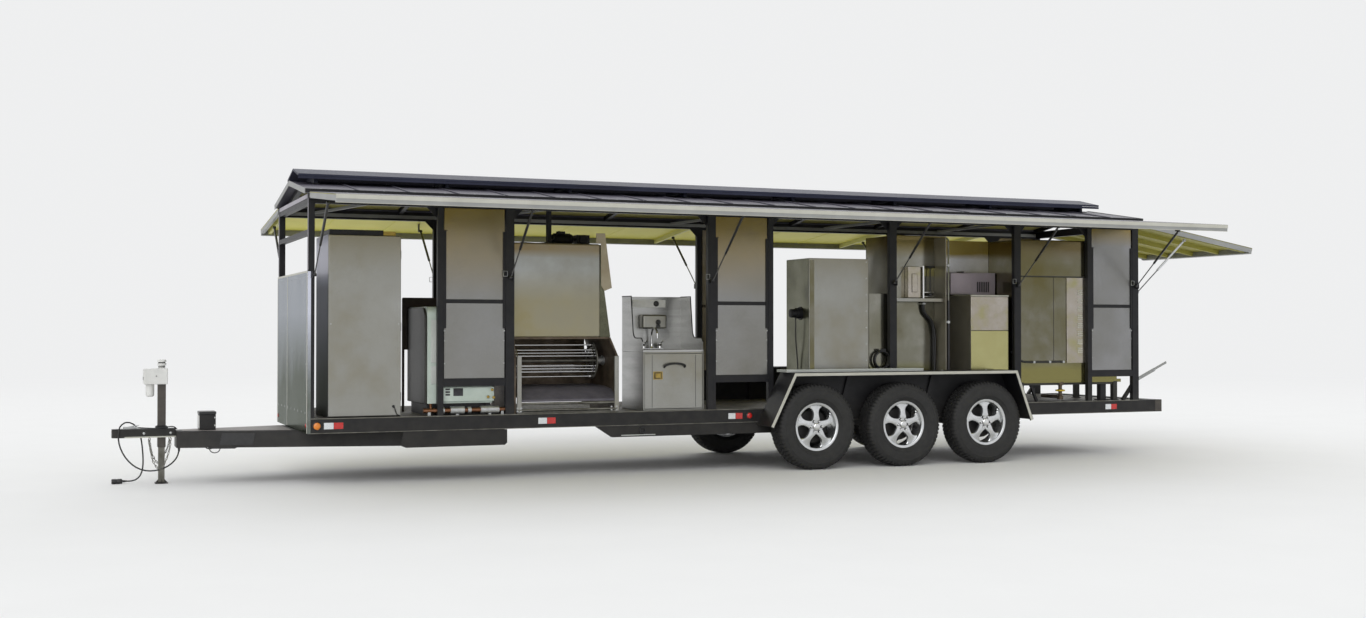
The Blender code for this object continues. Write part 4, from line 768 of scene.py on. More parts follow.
# %% Lip, hub and spokes
LIP = [(0.193, 0.056), (0.1935, 0.072), (0.1975, 0.0795), (0.2045, 0.0825), (0.213, 0.085), (0.2185, 0.0858),
       (0.2205, 0.084), (0.2205, 0.079), (0.206, 0.0775), (0.203, 0.07), (0.203, -0.078), (0.2205, -0.079),
       (0.2205, -0.086), (0.196, -0.086), (0.1945, -0.03), (0.193, 0.056)]
HUB = [(0.037, 0.070), (0.050, 0.0705), (0.062, 0.069), (0.069, 0.064), (0.071, 0.05), (0.068, 0.045),
       (0.03, 0.045)]
CAP = [(0, 0.0898), (0.018, 0.0895), (0.028, 0.0875), (0.0335, 0.083), (0.0365, 0.0775), (0.0375, 0.069)]
SPOKE_ROWS = ((0.045, 0.036, 0.071), (0.060, 0.041, 0.0735), (0.076, 0.0385, 0.0748), (0.096, 0.031, 0.0745),
              (0.116, 0.0275, 0.073), (0.134, 0.0285, 0.0705), (0.150, 0.0335, 0.067), (0.165, 0.043, 0.0635),
              (0.179, 0.057, 0.061), (0.1935, 0.078, 0.0595))
SPOKE_COLUMNS = ((-1.0, -0.030), (-0.97, -0.009), (-0.84, -0.0035), (-0.5, -0.001), (0.0, 0.0), (0.5, -0.001),
                 (0.84, -0.0035), (0.97, -0.009), (1.0, -0.030))
SPOKES = 5
LUG_COUNT, LUG_CIRCLE, LUG_RADIUS = 6, 0.054, 0.0095


def spoke_in(shape, place, turn):
    """Add one spoke as a grid that flares into the lip."""
    rows = []
    spin = place @ Matrix.Rotation(turn, 4, "Z")
    for radius, half, height in SPOKE_ROWS:
        angle = half / radius
        row = []
        for share, drop in SPOKE_COLUMNS:
            row.append(shape.verts.new(spin @ Vector((radius * cos(angle * share),
                                                      radius * sin(angle * share),
                                                      height + drop))))
        rows.append(row)
    for first, second in zip(rows, rows[1:]):
        for number in range(len(SPOKE_COLUMNS) - 1):
            shape.faces.new((first[number], second[number], second[number + 1], first[number + 1]))


def make_wheel(word, number):
    """Build one wheel: lip and spokes, cap, nuts, and dark discs of painted shade in the pockets behind them.
    """
    place = wheel_place(word, number)
    body = f"wheel_{word}_{number}"
    shape = bmesh.new()
    turned_in(shape, LIP, place, 64)
    turned_in(shape, HUB, place, 40)
    for step in range(SPOKES):
        spoke_in(shape, place, 2 * pi * step / SPOKES + pi / 2)
    piece(body + "_alloy", shape, alloy, body, edge=0, stands_for=(f"rim_{word}_{number}",))
    shape = bmesh.new()
    turned_in(shape, CAP, place, 36)
    for step in range(LUG_COUNT):
        turn = 2 * pi * step / LUG_COUNT
        nut = place @ Matrix.Translation((LUG_CIRCLE * cos(turn), LUG_CIRCLE * sin(turn), 0))
        turned_in(shape, [(LUG_RADIUS, 0.066), (LUG_RADIUS, 0.080), (LUG_RADIUS * 0.8, 0.083),
                          (0, 0.084)], nut, 6)
    piece(body + "_cap", shape, chrome, body, edge=0)
    # Dark discs round the nuts are painted shade in their pockets.
    shape = bmesh.new()
    for step in range(LUG_COUNT):
        turn = 2 * pi * step / LUG_COUNT
        hole = place @ Matrix.Translation((LUG_CIRCLE * cos(turn), LUG_CIRCLE * sin(turn), 0))
        turned_in(shape, [(LUG_RADIUS * 1.5, 0.0705), (LUG_RADIUS * 1.45, 0.0725), (0, 0.0725)], hole, 20)
    valve = place @ Vector((0.176 * cos(0.63), 0.176 * sin(0.63), 0.035))
    rod_in(shape, valve, place @ Vector((0.180 * cos(0.63), 0.180 * sin(0.63), 0.068)), 0.004, 10)
    piece(body + "_pockets", shape, alloy_shade, body, edge=0)


for word, number in WHEELS:
    make_wheel(word, number)
print("wheels:", len(WHEELS))

# %% [markdown]
# ## Fenders
#
# The folded fender stays as the model has it. Its outer edge carries a pale rubbing strip, which is the
# lightest line low on the trailer, and a plank step lies on its top. The strip is a ribbon that follows the
# fender's fold.

# %% Strips, plank and braces
FENDER_LINE = ((4.02, 0.41), (4.26, 0.887), (6.67, 0.887), (6.85, 0.41))
FENDER_OUT = 1.14
STRIP_DEEP, STRIP_THICK = 0.026, 0.0016
PLANK_START, PLANK_END = 4.10, 5.66


def ribbon_points(line, inset, deep):
    """Return the outline of a band that runs along the inside of a fender's fold."""
    outer, inner = [], []
    for number, point in enumerate(line):
        here = Vector(point)
        before = Vector(line[number - 1]) if number else here * 2 - Vector(line[1])
        after = Vector(line[number + 1]) if number + 1 < len(line) else here * 2 - Vector(line[number - 1])
        first, second = (here - before).normalized(), (after - here).normalized()
        normal = (Vector((first.y, -first.x)) + Vector((second.y, -second.x))).normalized()
        reach = 1 / max(normal.dot(Vector((first.y, -first.x))), 0.2)
        outer.append(here + normal * inset * reach)
        inner.append(here + normal * (inset + deep) * reach)
    return outer + inner[::-1]


def make_fender_trim(side, word):
    """Lay the pale strip, and add the braces and bolts of the fender."""
    shape = bmesh.new()
    face = side * (FENDER_OUT + 0.0005)
    outline = [(at(x), face, z) for x, z in ribbon_points(FENDER_LINE, 0.004, STRIP_DEEP)]
    outline_in(shape, outline, (0, side * STRIP_THICK, 0))
    piece(f"fender_{word}_strip", shape, trim_cream, edge=0.0006)
    shape = bmesh.new()
    inner = side * (HALF_WIDTH + 0.009)
    for place, lean in ((4.975, -0.09), (5.89, -0.09)):
        bar_in(shape, (at(place), inner + side * 0.01, 0.878), (at(place + lean), inner + side * 0.01, 0.56),
               0.02, 0.03)
    for place in (4.30, 4.98, 5.89, 6.62):
        box_in(shape, (at(place) - 0.012, inner, 0.850),
               (at(place) + 0.012, side * (FENDER_OUT - 0.014), 0.8805))
    piece(f"fender_{word}_braces", shape, frame_black)
    shape = bmesh.new()
    for place in (4.45, 4.95, 5.45, 5.95, 6.45):
        turned_in(shape, [(0.009, 0), (0.009, 0.003), (0.006, 0.006), (0, 0.0065)],
                  Matrix.Translation((at(place), side * 0.93, 0.8871)), 12)
    piece(f"fender_{word}_bolts", shape, zinc, edge=0)


def make_plank():
    """Lay the step plank along the inner edge of the near fender."""
    boxes("fender_plank", cream_grey,
          ((at(PLANK_START + 0.12), -1.06, 0.8885), (at(PLANK_END), -0.86, 0.912)),
          ((at(PLANK_START + 0.12), -1.064, 0.9), (at(PLANK_END), -1.06, 0.914)))


for side, word in SIDES:
    make_fender_trim(side, word)
make_plank()
print("fender width outside the deck:", round(FENDER_OUT - HALF_WIDTH, 3))

# %% [markdown]
# ## Awnings
#
# Each awning is a framed sheet on a long hinge. Its top is dark and its underside a warm yellow. The far
# underside gets a lighter copy of that yellow as painted light, and the rear one a darker copy as painted
# shade. The edge is grey with cream stripes.
# The parts are built flat along the hinge and then turned down to the slope, so that every size is a plain
# one.

# %% Sheets, ribs and edges
HINGE_Y, HINGE_Z, REAR_HINGE = 0.905, 2.345, 8.425
SIDE_SLOPE, REAR_SLOPE = radians(5.6), radians(9.5)
AWNINGS = {
    "near": (NEAR, 0.0, 8.36, 1.226), "far": (FAR, 0.0, 8.36, 1.226), "rear": (0, -0.85, 0.85, 1.475),
}
AWNING_RIBS = {
    "near": (0.066, 1.706, 3.589, 5.478, 6.898), "far": (0.066, 2.105, 4.186, 6.496, 7.746),
    "rear": (-0.785, -0.4, 0.0, 0.4, 0.76),
}
SHEET_LOW, SHEET_TOP, EDGE_LOW, RIB_LOW = 0.037, 0.045, -0.020, -0.008
EDGE_WIDE, RIB_WIDE = 0.04, 0.03
# The far and rear undersides take the lighter and darker copies of the yellow: painted light and shade.
UNDERSIDE = {"near": awning_paint, "far": awning_far_lit_paint, "rear": awning_rear_shaded_paint}


def hinge_place(word):
    """Return the matrix of an awning's hinge and slope."""
    side = AWNINGS[word][0]
    if side == 0:
        return Matrix.Translation((at(REAR_HINGE), 0, HINGE_Z)) @ Matrix.Rotation(REAR_SLOPE, 4, "Y")
    return Matrix.Translation((at(0), side * HINGE_Y, HINGE_Z)) @ Matrix.Rotation(-side * SIDE_SLOPE, 4, "X")


def lay(side, along, out, up):
    """Place a point along the hinge, outwards and up."""
    return Vector((out, along, up)) if side == 0 else Vector((along, side * out, up))


def awning_boxes(word, name, parts, made_of, stands_for=(), edge=EDGE):
    """Build the boxes of one awning piece flat and turn them to its slope."""
    side, shape = AWNINGS[word][0], bmesh.new()
    for low, high in parts:
        box_in(shape, lay(side, *low), lay(side, *high))
    bmesh.ops.transform(shape, matrix=hinge_place(word), verts=shape.verts)
    return piece(f"awning_{word}_{name}", shape, made_of, f"awning_{word}", edge, stands_for)


def make_awning(word):
    """Build one awning: top sheet, underside, ribs, seams, edges and hinge barrel."""
    side, start, end, depth = AWNINGS[word]
    skin = (SHEET_LOW + SHEET_TOP) / 2
    awning_boxes(word, "top", [((start, 0.002, skin), (end, depth, SHEET_TOP))], roof_paint,
                 (f"awning_{word}",))
    awning_boxes(word, "underside", [((start + 0.001, 0.003, SHEET_LOW), (end - 0.001, depth - 0.001, skin))],
                 UNDERSIDE[word])
    ribs = [((place, EDGE_WIDE, RIB_LOW), (place + RIB_WIDE, depth - EDGE_WIDE, SHEET_LOW))
            for place in AWNING_RIBS[word]]
    awning_boxes(word, "ribs", ribs, rib_paint if side else UNDERSIDE[word])
    bays = 14 if side else 4
    seams = []
    for step in range(1, bays):
        place = start + (end - start) * step / bays
        seams.append(((place - 0.011, EDGE_WIDE, SHEET_LOW - 0.004),
                      (place + 0.011, depth - EDGE_WIDE, SHEET_LOW)))
    awning_boxes(word, "seams", seams, UNDERSIDE[word])
    frame_parts = [((start + 0.001, 0.0, 0.0), (end - 0.001, EDGE_WIDE, SHEET_LOW)),
                   ((start + 0.001, depth - EDGE_WIDE, EDGE_LOW), (end - 0.001, depth - 0.003, SHEET_LOW)),
                   ((start + 0.001, EDGE_WIDE, RIB_LOW), (start + 0.028, depth - EDGE_WIDE, SHEET_LOW)),
                   ((end - 0.028, EDGE_WIDE, RIB_LOW), (end - 0.001, depth - EDGE_WIDE, SHEET_LOW))]
    awning_boxes(word, "frame", frame_parts, trim_grey)
    stripes = [((start, depth - 0.003, SHEET_LOW - 0.026), (end, depth, SHEET_TOP)),
               ((start, depth - 0.004, EDGE_LOW), (end, depth - 0.002, EDGE_LOW + 0.004))]
    awning_boxes(word, "stripe", stripes, trim_cream, edge=0.0008)
    shape = bmesh.new()
    count = 9 if side else 5
    length = (end - start) / count
    for step in range(count):
        low = start + step * length + 0.006
        rod_in(shape, lay(side, low, 0, 0), lay(side, low + length - 0.012, 0, 0), 0.010, 16)
    bmesh.ops.transform(shape, matrix=hinge_place(word), verts=shape.verts)
    piece(f"awning_{word}_hinge", shape, frame_black, f"awning_{word}", 0.001)


for word in AWNINGS:
    make_awning(word)
print("awnings:", list(AWNINGS))

# %% [markdown]
# ## Gas struts
#
# A gas strut is a painted cylinder with a thinner polished rod and an eye at each end. The three modelled
# struts of a side are replaced by detailed ones, and the struts at the other posts are added, because the
# photograph shows one at almost every wide post.

# %% Struts on every awning
STRUT_OUT, STRUT_DROP, STRUT_FOOT_GAP = 0.60, 0.036, 0.025
STRUT_FOOT_Z = {"near": 1.72, "far": 1.72, "rear": 1.66}
STRUT_PLACES = {
    "near": ((0.048, "strut_near_1"), (1.690, None), (3.573, "strut_near_2"), (5.462, None),
             (6.882, "strut_near_3"), (8.322, None)),
    "far": ((0.048, "strut_far_1"), (1.460, None), (4.170, "strut_far_2"), (6.480, "strut_far_3"),
            (8.322, None)),
    "rear": ((-0.80, "strut_rear_near"), (0.80, "strut_rear_far")),
}
EYE_RADIUS, EYE_WIDE, CYLINDER_SHARE = 0.014, 0.028, 0.58


def strut_line(word):
    """Return a strut's upper pivot, its length and its lean."""
    side = AWNINGS[word][0]
    slope = SIDE_SLOPE if side else REAR_SLOPE
    hinge, foot = (HINGE_Y, HALF_WIDTH) if side else (REAR_HINGE, DECK_LENGTH)
    out = hinge + STRUT_OUT * cos(slope) - STRUT_DROP * sin(slope)
    up = HINGE_Z - STRUT_OUT * sin(slope) - STRUT_DROP * cos(slope)
    run, drop = out - foot - STRUT_FOOT_GAP, up - STRUT_FOOT_Z[word]
    return out, up, hypot(run, drop), atan2(run, drop)


def make_strut(word, number, place, packed):
    """Build one strut hanging from its upper eye, then lean it to its post."""
    side, body = AWNINGS[word][0], f"struts_{word}"
    out, up, length, lean = strut_line(word)
    if side:
        hang = Matrix.Translation((at(place), side * out, up)) @ Matrix.Rotation(-side * lean, 4, "X")
        across = Matrix.Rotation(pi / 2, 4, "Y")
    else:
        hang = Matrix.Translation((at(out), place, up)) @ Matrix.Rotation(lean, 4, "Y")
        across = Matrix.Rotation(pi / 2, 4, "X")
    change = length * CYLINDER_SHARE
    name = f"gas_strut_{word}_{number}"
    body_finish = strut_grey if word == "rear" and number == 1 else strut_black
    shape = bmesh.new()
    turned_in(shape, [(0, -0.020), (0.0075, -0.020), (0.0105, -0.026), (0.011, -0.032),
                      (0.011, 0.004 - change),
                      (0.0095, -change), (0, -change)], hang, 20)
    for height in (0, -length):
        eye = hang @ Matrix.Translation((0, 0, height)) @ across @ Matrix.Translation((0, 0, -EYE_WIDE / 2))
        turned_in(shape, [(0.006, 0.0), (EYE_RADIUS * 0.8, 0.0), (EYE_RADIUS, 0.004),
                          (EYE_RADIUS, EYE_WIDE - 0.004),
                          (EYE_RADIUS * 0.8, EYE_WIDE), (0.006, EYE_WIDE), (0.006, 0.0)], eye, 20)
    piece(name, shape, body_finish, body, edge=0, stands_for=(packed,) if packed else ())
    shape = bmesh.new()
    turned_in(shape, [(0, 0.002 - change), (0.0055, 0.002 - change), (0.0055, 0.03 - length),
                      (0.0075, 0.026 - length),
                      (0.0075, 0.012 - length), (0, 0.012 - length)], hang, 16)
    turned_in(shape, [(0, -0.010), (0.006, -0.010), (0.006, -0.021), (0, -0.021)], hang, 14)
    for height in (0, -length):
        pin = hang @ Matrix.Translation((0, 0, height)) @ across @ Matrix.Translation((0, 0, -EYE_WIDE / 2))
        turned_in(shape,
                  [(0, -0.0012), (0.0055, -0.0012), (0.0055, EYE_WIDE + 0.0012), (0, EYE_WIDE + 0.0012)],
                  pin, 12)
    piece(name + "_rod", shape, rod_chrome, body, edge=0)
    if packed is None:
        make_strut_lugs(word, number, place)


def make_strut_lugs(word, number, place):
    """Put a lug on the post and one under the awning beside an added strut."""
    side = AWNINGS[word][0]
    beside = EYE_WIDE / 2 + 0.0015
    foot = STRUT_FOOT_Z[word]
    boxes(f"strut_foot_{word}_{number}", frame_black,
          ((at(place + beside), side * (HALF_WIDTH - 0.004), foot - 0.025),
           (at(place + beside + 0.008), side * (HALF_WIDTH + STRUT_FOOT_GAP + EYE_RADIUS), foot + 0.025)))
    shape = bmesh.new()
    box_in(shape, lay(side, place - beside - 0.008, STRUT_OUT - 0.025, -STRUT_DROP - EYE_RADIUS / 2),
           lay(side, place - beside, STRUT_OUT + 0.025, SHEET_LOW))
    bmesh.ops.transform(shape, matrix=hinge_place(word), verts=shape.verts)
    piece(f"strut_head_{word}_{number}", shape, frame_black, f"awning_{word}")


strut_count = 0
for word, places in STRUT_PLACES.items():
    for number, (place, packed) in enumerate(places, 1):
        make_strut(word, number, place, packed)
        strut_count += 1
print("struts:", strut_count, "side strut length", round(strut_line("near")[2], 3))

# %% [markdown]
# ## Wall panels
#
# Some bays are closed by stainless sheets held in black tracks. Each has an upper and a lower sheet with a
# black bar between them and a black rail under them. The sheets are thin boxes with a rolled edge, and
# their finish has a slow wave, so that they reflect the room as slack sheet does.

# %% Sheets, bars, tracks and rails
PANEL_BAYS = {NEAR: (1, 3, 7), FAR: (1, 3, 6)}
PANEL_LOW, PANEL_RAIL, PANEL_BAR, PANEL_BAR_HIGH = 0.80, 0.065, 0.03, 1.50
PANEL_SET, PANEL_THICK = 0.014, 0.010
TRACK_LOW, TRACK_HIGH, TRACK_WIDE = 1.287, 2.11, 0.022


def make_wall_panel(side, word, number, bay):
    """Build one closed bay between two posts."""
    uprights = posts(side)
    start = at(uprights[bay][0] + uprights[bay][1] / 2 + 0.0005)
    end = at(uprights[bay + 1][0] - uprights[bay + 1][1] / 2 - 0.0005)
    face = HALF_WIDTH - PANEL_SET
    back = face - PANEL_THICK
    shape = bmesh.new()
    for low, high in ((PANEL_LOW + PANEL_RAIL, PANEL_BAR_HIGH),
                      (PANEL_BAR_HIGH + PANEL_BAR, EAVE_LOW - 0.0005)):
        box_in(shape, (start + 0.006, side * face, low), (end - 0.006, side * back, high))
        for place in (start + 0.006, end - 0.016):
            box_in(shape, (place, side * (back - 0.012), low), (place + 0.010, side * (back + 0.002), high))
    name = f"wall_{word}_{number}"
    # The rear panels take the copy with the shorter band of painted reflection.
    made_of = rear_panel_steel if number == 3 else panel_steel
    piece(name + "_sheets", shape, made_of, edge=0.0025, stands_for=(f"wall_panel_{word}_{number}",))
    boxes(name + "_tracks", frame_black,
          ((start, side * (HALF_WIDTH - 0.002), PANEL_LOW),
           (end, side * (face - 0.036), PANEL_LOW + PANEL_RAIL)),
          ((start, side * (face + 0.004), PANEL_BAR_HIGH),
           (end, side * (face - 0.036), PANEL_BAR_HIGH + PANEL_BAR)),
          *[((place, side * (face + 0.0105), TRACK_LOW),
             (place + TRACK_WIDE, side * (face - 0.002), TRACK_HIGH))
            for place in (start, end - TRACK_WIDE)],
          ((start, side * (face + 0.0105), TRACK_HIGH - 0.006),
           (start + TRACK_WIDE + 0.012, side * (face - 0.002), TRACK_HIGH)))
    shape = bmesh.new()
    for place in (start + 0.010, end - 0.010):
        bolt = turned((place, side * face, TRACK_LOW - 0.02), "X", -side)
        turned_in(shape, [(0.008, -0.002), (0.008, 0.004), (0.005, 0.007), (0, 0.0075)], bolt, 14)
        for share in (0.2, 0.5, 0.8):
            low = PANEL_LOW + PANEL_RAIL + (PANEL_BAR_HIGH - PANEL_LOW - PANEL_RAIL) * share
            screw = turned((place, side * face, low), "X", -side)
            turned_in(shape, [(0.0045, -0.001), (0.0045, 0.0012), (0, 0.002)], screw, 10)
    piece(name + "_bolts", shape, zinc, edge=0)


for side, word in SIDES:
    for number, bay in enumerate(PANEL_BAYS[side], 1):
        make_wall_panel(side, word, number, bay)
print("panel bays:", {word: PANEL_BAYS[side] for side, word in SIDES})

# %% [markdown]
# ## Latches on the posts
#
# The wide posts carry a small square wire latch that holds the closed awning. It is a bent wire loop on a
# plate.

# %% Latch loops
LATCH_HIGH, LATCH_WIDE, LATCH_TALL = 1.752, 0.036, 0.044
LATCH_ASIDE = 0.062
LATCH_POSTS = {NEAR: (2, 3, 6, 8), FAR: (1, 4, 5, 7)}


def make_latch(side, word, number):
    """Put a wire latch on the outside of one post."""
    middle = posts(side)[number][0]
    face = side * (HALF_WIDTH + 0.001)
    boxes(f"latch_{word}_{number}_plate", frame_black,
          ((at(middle) - 0.037, face - side * 0.003, LATCH_HIGH - 0.012),
           (at(middle) - 0.026, face + side * 0.004, LATCH_HIGH + 0.012)))
    left, right = at(middle) - LATCH_ASIDE, at(middle) - LATCH_ASIDE + LATCH_WIDE
    low, high = LATCH_HIGH - LATCH_TALL / 2, LATCH_HIGH + LATCH_TALL / 2
    loop = [(left, low), (right, low), (right, high), (left, high), (left, low)]
    line = [Vector((x, face + side * 0.007, z)) for x, z in loop]
    wire(f"latch_{word}_{number}_loop", line, 0.0026, zinc, sides=2)


for side, word in SIDES:
    for number in LATCH_POSTS[side]:
        make_latch(side, word, number)
print("latches:", sum(len(numbers) for numbers in LATCH_POSTS.values()))

# %% [markdown]
# ## The nose cabinet
#
# A tall stainless cabinet stands behind the nose. Its whole face is one door, stained by weather, with a warm
# band at the top that is painted reflection of the awning, and its sides are dark with painted shade. A black
# header with a blank label lies on top. The door is a separate slab with a narrow shadow gap, because that
# dark line is what tells the eye that it is a door.

# %% Helpers for equipment
EQUIPMENT_FACE = -FACE


def screws_in(shape, spots, facing=(0, -1, 0), radius=0.0055):
    """Add small domed screws that face one way."""
    turn = Vector(facing).to_track_quat("Z", "Y").to_matrix().to_4x4()
    for spot in spots:
        turned_in(shape, [(radius, -0.001), (radius, 0.0012), (radius * 0.6, 0.0026), (0, 0.003)],
                  Matrix.Translation(spot) @ turn, 10)


def back_cover(name, start, end, back, low, high, made_of, rows=5):
    """Add the plate, louvres and screws at the back of a machine."""
    shape = bmesh.new()
    block_in(shape, start + 0.02, end - 0.02, back, back + 0.004, low + 0.03, high - 0.03)
    width = (end - start) * 0.5
    middle = (start + end) / 2
    for row in range(rows):
        place = low + (high - low) * 0.22 + row * 0.035
        louvre = [(at(middle - width / 2), back + 0.004, place),
                  (at(middle - width / 2), back + 0.013, place),
                  (at(middle - width / 2), back + 0.004, place + 0.018)]
        outline_in(shape, louvre, (width, 0, 0))
    piece(name + "_back", shape, made_of)
    shape = bmesh.new()
    spots = [(at(x), back + 0.004, z) for x in (start + 0.035, end - 0.035)
             for z in (low + 0.05, (low + high) / 2, high - 0.05)]
    screws_in(shape, spots, (0, 1, 0))
    piece(name + "_back_screws", shape, zinc, edge=0)


print("equipment face at", EQUIPMENT_FACE)

# %% Nose cabinet
def make_nose_cabinet():
    """Build the body, the door slab, the header and the label plate."""
    low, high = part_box("nose_cabinet")
    start, end = low.x - FRONT, high.x - FRONT
    # The body's sides are painted shade.
    blocks("nose_cabinet_body", cabinet_side_shade, (start, end, low.y + 0.024, high.y, low.z, high.z), edge=0.004,
           stands_for=("nose_cabinet",))
    blocks("nose_cabinet_door", front_steel,
           (start + 0.001, end - 0.002, low.y, low.y + 0.021, low.z + 0.006, high.z - 0.002), edge=0.007)
    shape = bmesh.new()
    block_in(shape, start + 0.004, end - 0.004, low.y + 0.021, low.y + 0.024, low.z + 0.012, high.z - 0.010)
    block_in(shape, start + 0.01, start + 0.452, low.y + 0.01, low.y + 0.40, high.z, high.z + 0.042)
    for step in range(9):
        place = start + 0.03 + step * 0.045
        block_in(shape, place, place + 0.030, low.y + 0.006, low.y + 0.012, high.z + 0.010, high.z + 0.032)
    piece("nose_cabinet_header", shape, frame_black)
    blocks("nose_cabinet_label", label_gold,
           (start + 0.452, start + 0.554, low.y + 0.012, low.y + 0.30, high.z, high.z + 0.034))
    shape = bmesh.new()
    screws_in(shape, [(at(start + x), low.y, 1.323) for x in (0.022, end - start - 0.022)])
    for z in (0.72, 1.30, 1.90):
        rod_in(shape, (at(end - 0.004), low.y + 0.022, z - 0.035),
               (at(end - 0.004), low.y + 0.022, z + 0.035), 0.008)
    piece("nose_cabinet_hinges", shape, zinc, edge=0)
    shape = bmesh.new()
    hole = turned((at(0.706), low.y, 0.641), "X")
    turned_in(shape, [(0.012, -0.004), (0.012, 0.003), (0.008, 0.004), (0.008, 0.001), (0, 0.001)], hole, 20)
    piece("nose_cabinet_grommet", shape, hose_black, edge=0)
    routed("nose_cabinet_tail",
           [(0.706, low.y - 0.003, 0.641), (0.712, low.y - 0.018, 0.634), (0.722, low.y - 0.016, 0.605),
            (0.735, low.y - 0.012, 0.575), (0.76, low.y - 0.012, 0.563)], 5, 0.0035, hose_black)
    back_cover("nose_cabinet", start, end, high.y, low.z, high.z, dark_steel)


make_nose_cabinet()

# %% [markdown]
# ## The boiler
#
# The boiler is a mint enamelled box whose top edge is rolled over. Its side is a dark grey casting, and
# pipes run along the deck in front of its base. The rolled top comes from an outline that is pushed through
# the width.

# %% Boiler, its base and pipes
def rolled_outline(front, back, low, high, radius, steps=8):
    """Return the side view of a box with a rolled upper front edge."""
    points = [(front, low), (front, high - radius)]
    points += [(front + radius - radius * cos(pi / 2 * step / steps),
                high - radius + radius * sin(pi / 2 * step / steps))
               for step in range(1, steps + 1)]
    return points + [(back, high), (back, low)]


def make_boiler():
    """Build the mint shell, its dark sides, base, doors, valve box, heat shield and flue."""
    low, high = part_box("boiler")
    start, end = low.x - FRONT, high.x - FRONT
    waist = DECK_TOP + 0.10
    shape = bmesh.new()
    shell = rolled_outline(low.y, high.y, waist, high.z, 0.07)
    outline_in(shape, [(at(start + 0.02), y, z) for y, z in shell], (end - start - 0.04, 0, 0))
    piece("boiler_shell", shape, mint, edge=0.002, stands_for=("boiler",))
    shape = bmesh.new()
    side_view = rolled_outline(low.y + 0.006, high.y - 0.004, waist - 0.004, high.z - 0.006, 0.11)
    for place in (start, end - 0.0195):
        outline_in(shape, [(at(place), y, z) for y, z in side_view], (0.0195, 0, 0))
    piece("boiler_sides", shape, dark_steel, edge=0.006)
    blocks("boiler_base", frame_black, (start + 0.03, end - 0.03, low.y + 0.03, high.y - 0.03, low.z, waist),
           *[(place, place + 0.045, low.y + 0.012, low.y + 0.055, low.z, waist + 0.002)
             for place in (start + 0.03, end - 0.075)])
    blocks("boiler_doors", cream_grey, (start + 0.05, end - 0.05, low.y - 0.006, low.y + 0.002, 1.00, 1.36),
           (start + 0.05, end - 0.05, low.y - 0.006, low.y + 0.002, 0.82, 0.97), edge=0.003)
    blocks("boiler_valve_box", mint, (1.118, 1.56, low.y - 0.022, low.y - 0.001, 0.672, 0.792), edge=0.004)
    shape = bmesh.new()
    for place, z in ((1.541, 0.767), (1.505, 0.707), (1.553, 0.702)):
        knob = turned((at(place), low.y - 0.022, z), "X")
        turned_in(shape,
                  [(0.009, 0), (0.009, 0.005), (0.012, 0.007), (0.012, 0.016), (0.008, 0.019), (0, 0.019)],
                  knob, 18)
    piece("boiler_knobs", shape, brass, edge=0)
    # The dark slots are painted shade in the vent openings.
    blocks("boiler_slots", alloy_shade,
           *[(1.139, 1.178, low.y - 0.0235, low.y - 0.021, 0.722 + step * 0.023, 0.737 + step * 0.023)
             for step in range(3)], (1.207, 1.29, low.y - 0.0235, low.y - 0.021, 0.718, 0.784), edge=0.001)
    blocks("boiler_heat_shield", shield_brown, (0.93, end, high.y + 0.012, high.y + 0.016, 1.10, 1.558),
           *[(place, place + 0.02, high.y + 0.016, high.y + 0.036, DECK_TOP, 1.55)
             for place in (0.93, 1.25, end - 0.02)],
           *[(place, place + 0.03, high.y - 0.002, high.y + 0.016, 1.30, 1.33)
             for place in (1.08, end - 0.08)], edge=0.001)
    shape = bmesh.new()
    flue = Matrix.Translation((at(start + 0.3), (low.y + high.y) / 2 + 0.1, high.z))
    turned_in(shape, [(0.11, 0), (0.11, 0.012), (0.078, 0.014), (0.078, 0.20), (0.084, 0.202), (0.084, 0.216),
                      (0.078, 0.216), (0.07, 0.216), (0.07, 0.02), (0, 0.02)], flue, 40)
    piece("boiler_flue", shape, burnt_steel, edge=0)
    back_cover("boiler", start, end, high.y, waist, high.z, dark_steel)


def make_deck_pipes():
    """Lay the copper and steel pipes in front of the boiler's base."""
    shape = bmesh.new()
    y, z = -0.812, 0.598
    for start, end in ((0.95, 1.10), (1.13, 1.33), (1.36, 1.66)):
        rod_in(shape, (at(start), y, z), (at(end), y, z), 0.021, 20)
    rod_in(shape, (at(1.02), y, z), (at(1.02), y + 0.05, z + 0.09), 0.014, 16)
    piece("deck_pipe_copper", shape, copper, edge=0.001)
    shape = bmesh.new()
    for start, end, radius in ((1.10, 1.13, 0.028), (1.33, 1.36, 0.028), (1.18, 1.30, 0.034),
                               (1.44, 1.60, 0.034)):
        rod_in(shape, (at(start), y, z), (at(end), y, z), radius, 24)
    for place in (1.0, 1.24, 1.52, 1.63):
        block_in(shape, place - 0.012, place + 0.012, y - 0.018, y + 0.018, DECK_TOP, z - 0.012)
    piece("deck_pipe_steel", shape, zinc, edge=0.0015)
    routed("deck_pipe_bend",
           [(1.66, y, z), (1.70, y + 0.005, z + 0.01), (1.715, y + 0.06, z + 0.02),
            (1.715, y + 0.16, z + 0.02)], 6, 0.014, copper)


make_boiler()
make_deck_pipes()

# %% [markdown]
# ## The turning-rack machine
#
# Meat turns on racks between two cheeks, over a drip tray and under a deep hood. The racks are pairs of
# thin rods between two discs, and they ride on the reel, so they turn with it. The hood's face is the
# largest sheet on the trailer, so it gets a warm mottled steel, with tan bands at top and bottom that are
# painted reflection of the yellow awning.

# %% Hood, cheeks and tray
MACHINE_START, MACHINE_END = 1.74, 2.64
FLARE_END = 2.70
CHEEK, HOOD_LOW, HOOD_TOP = 0.02, 1.21, 2.03
HOOD_FACE, MACHINE_BACK = -0.74, -0.075
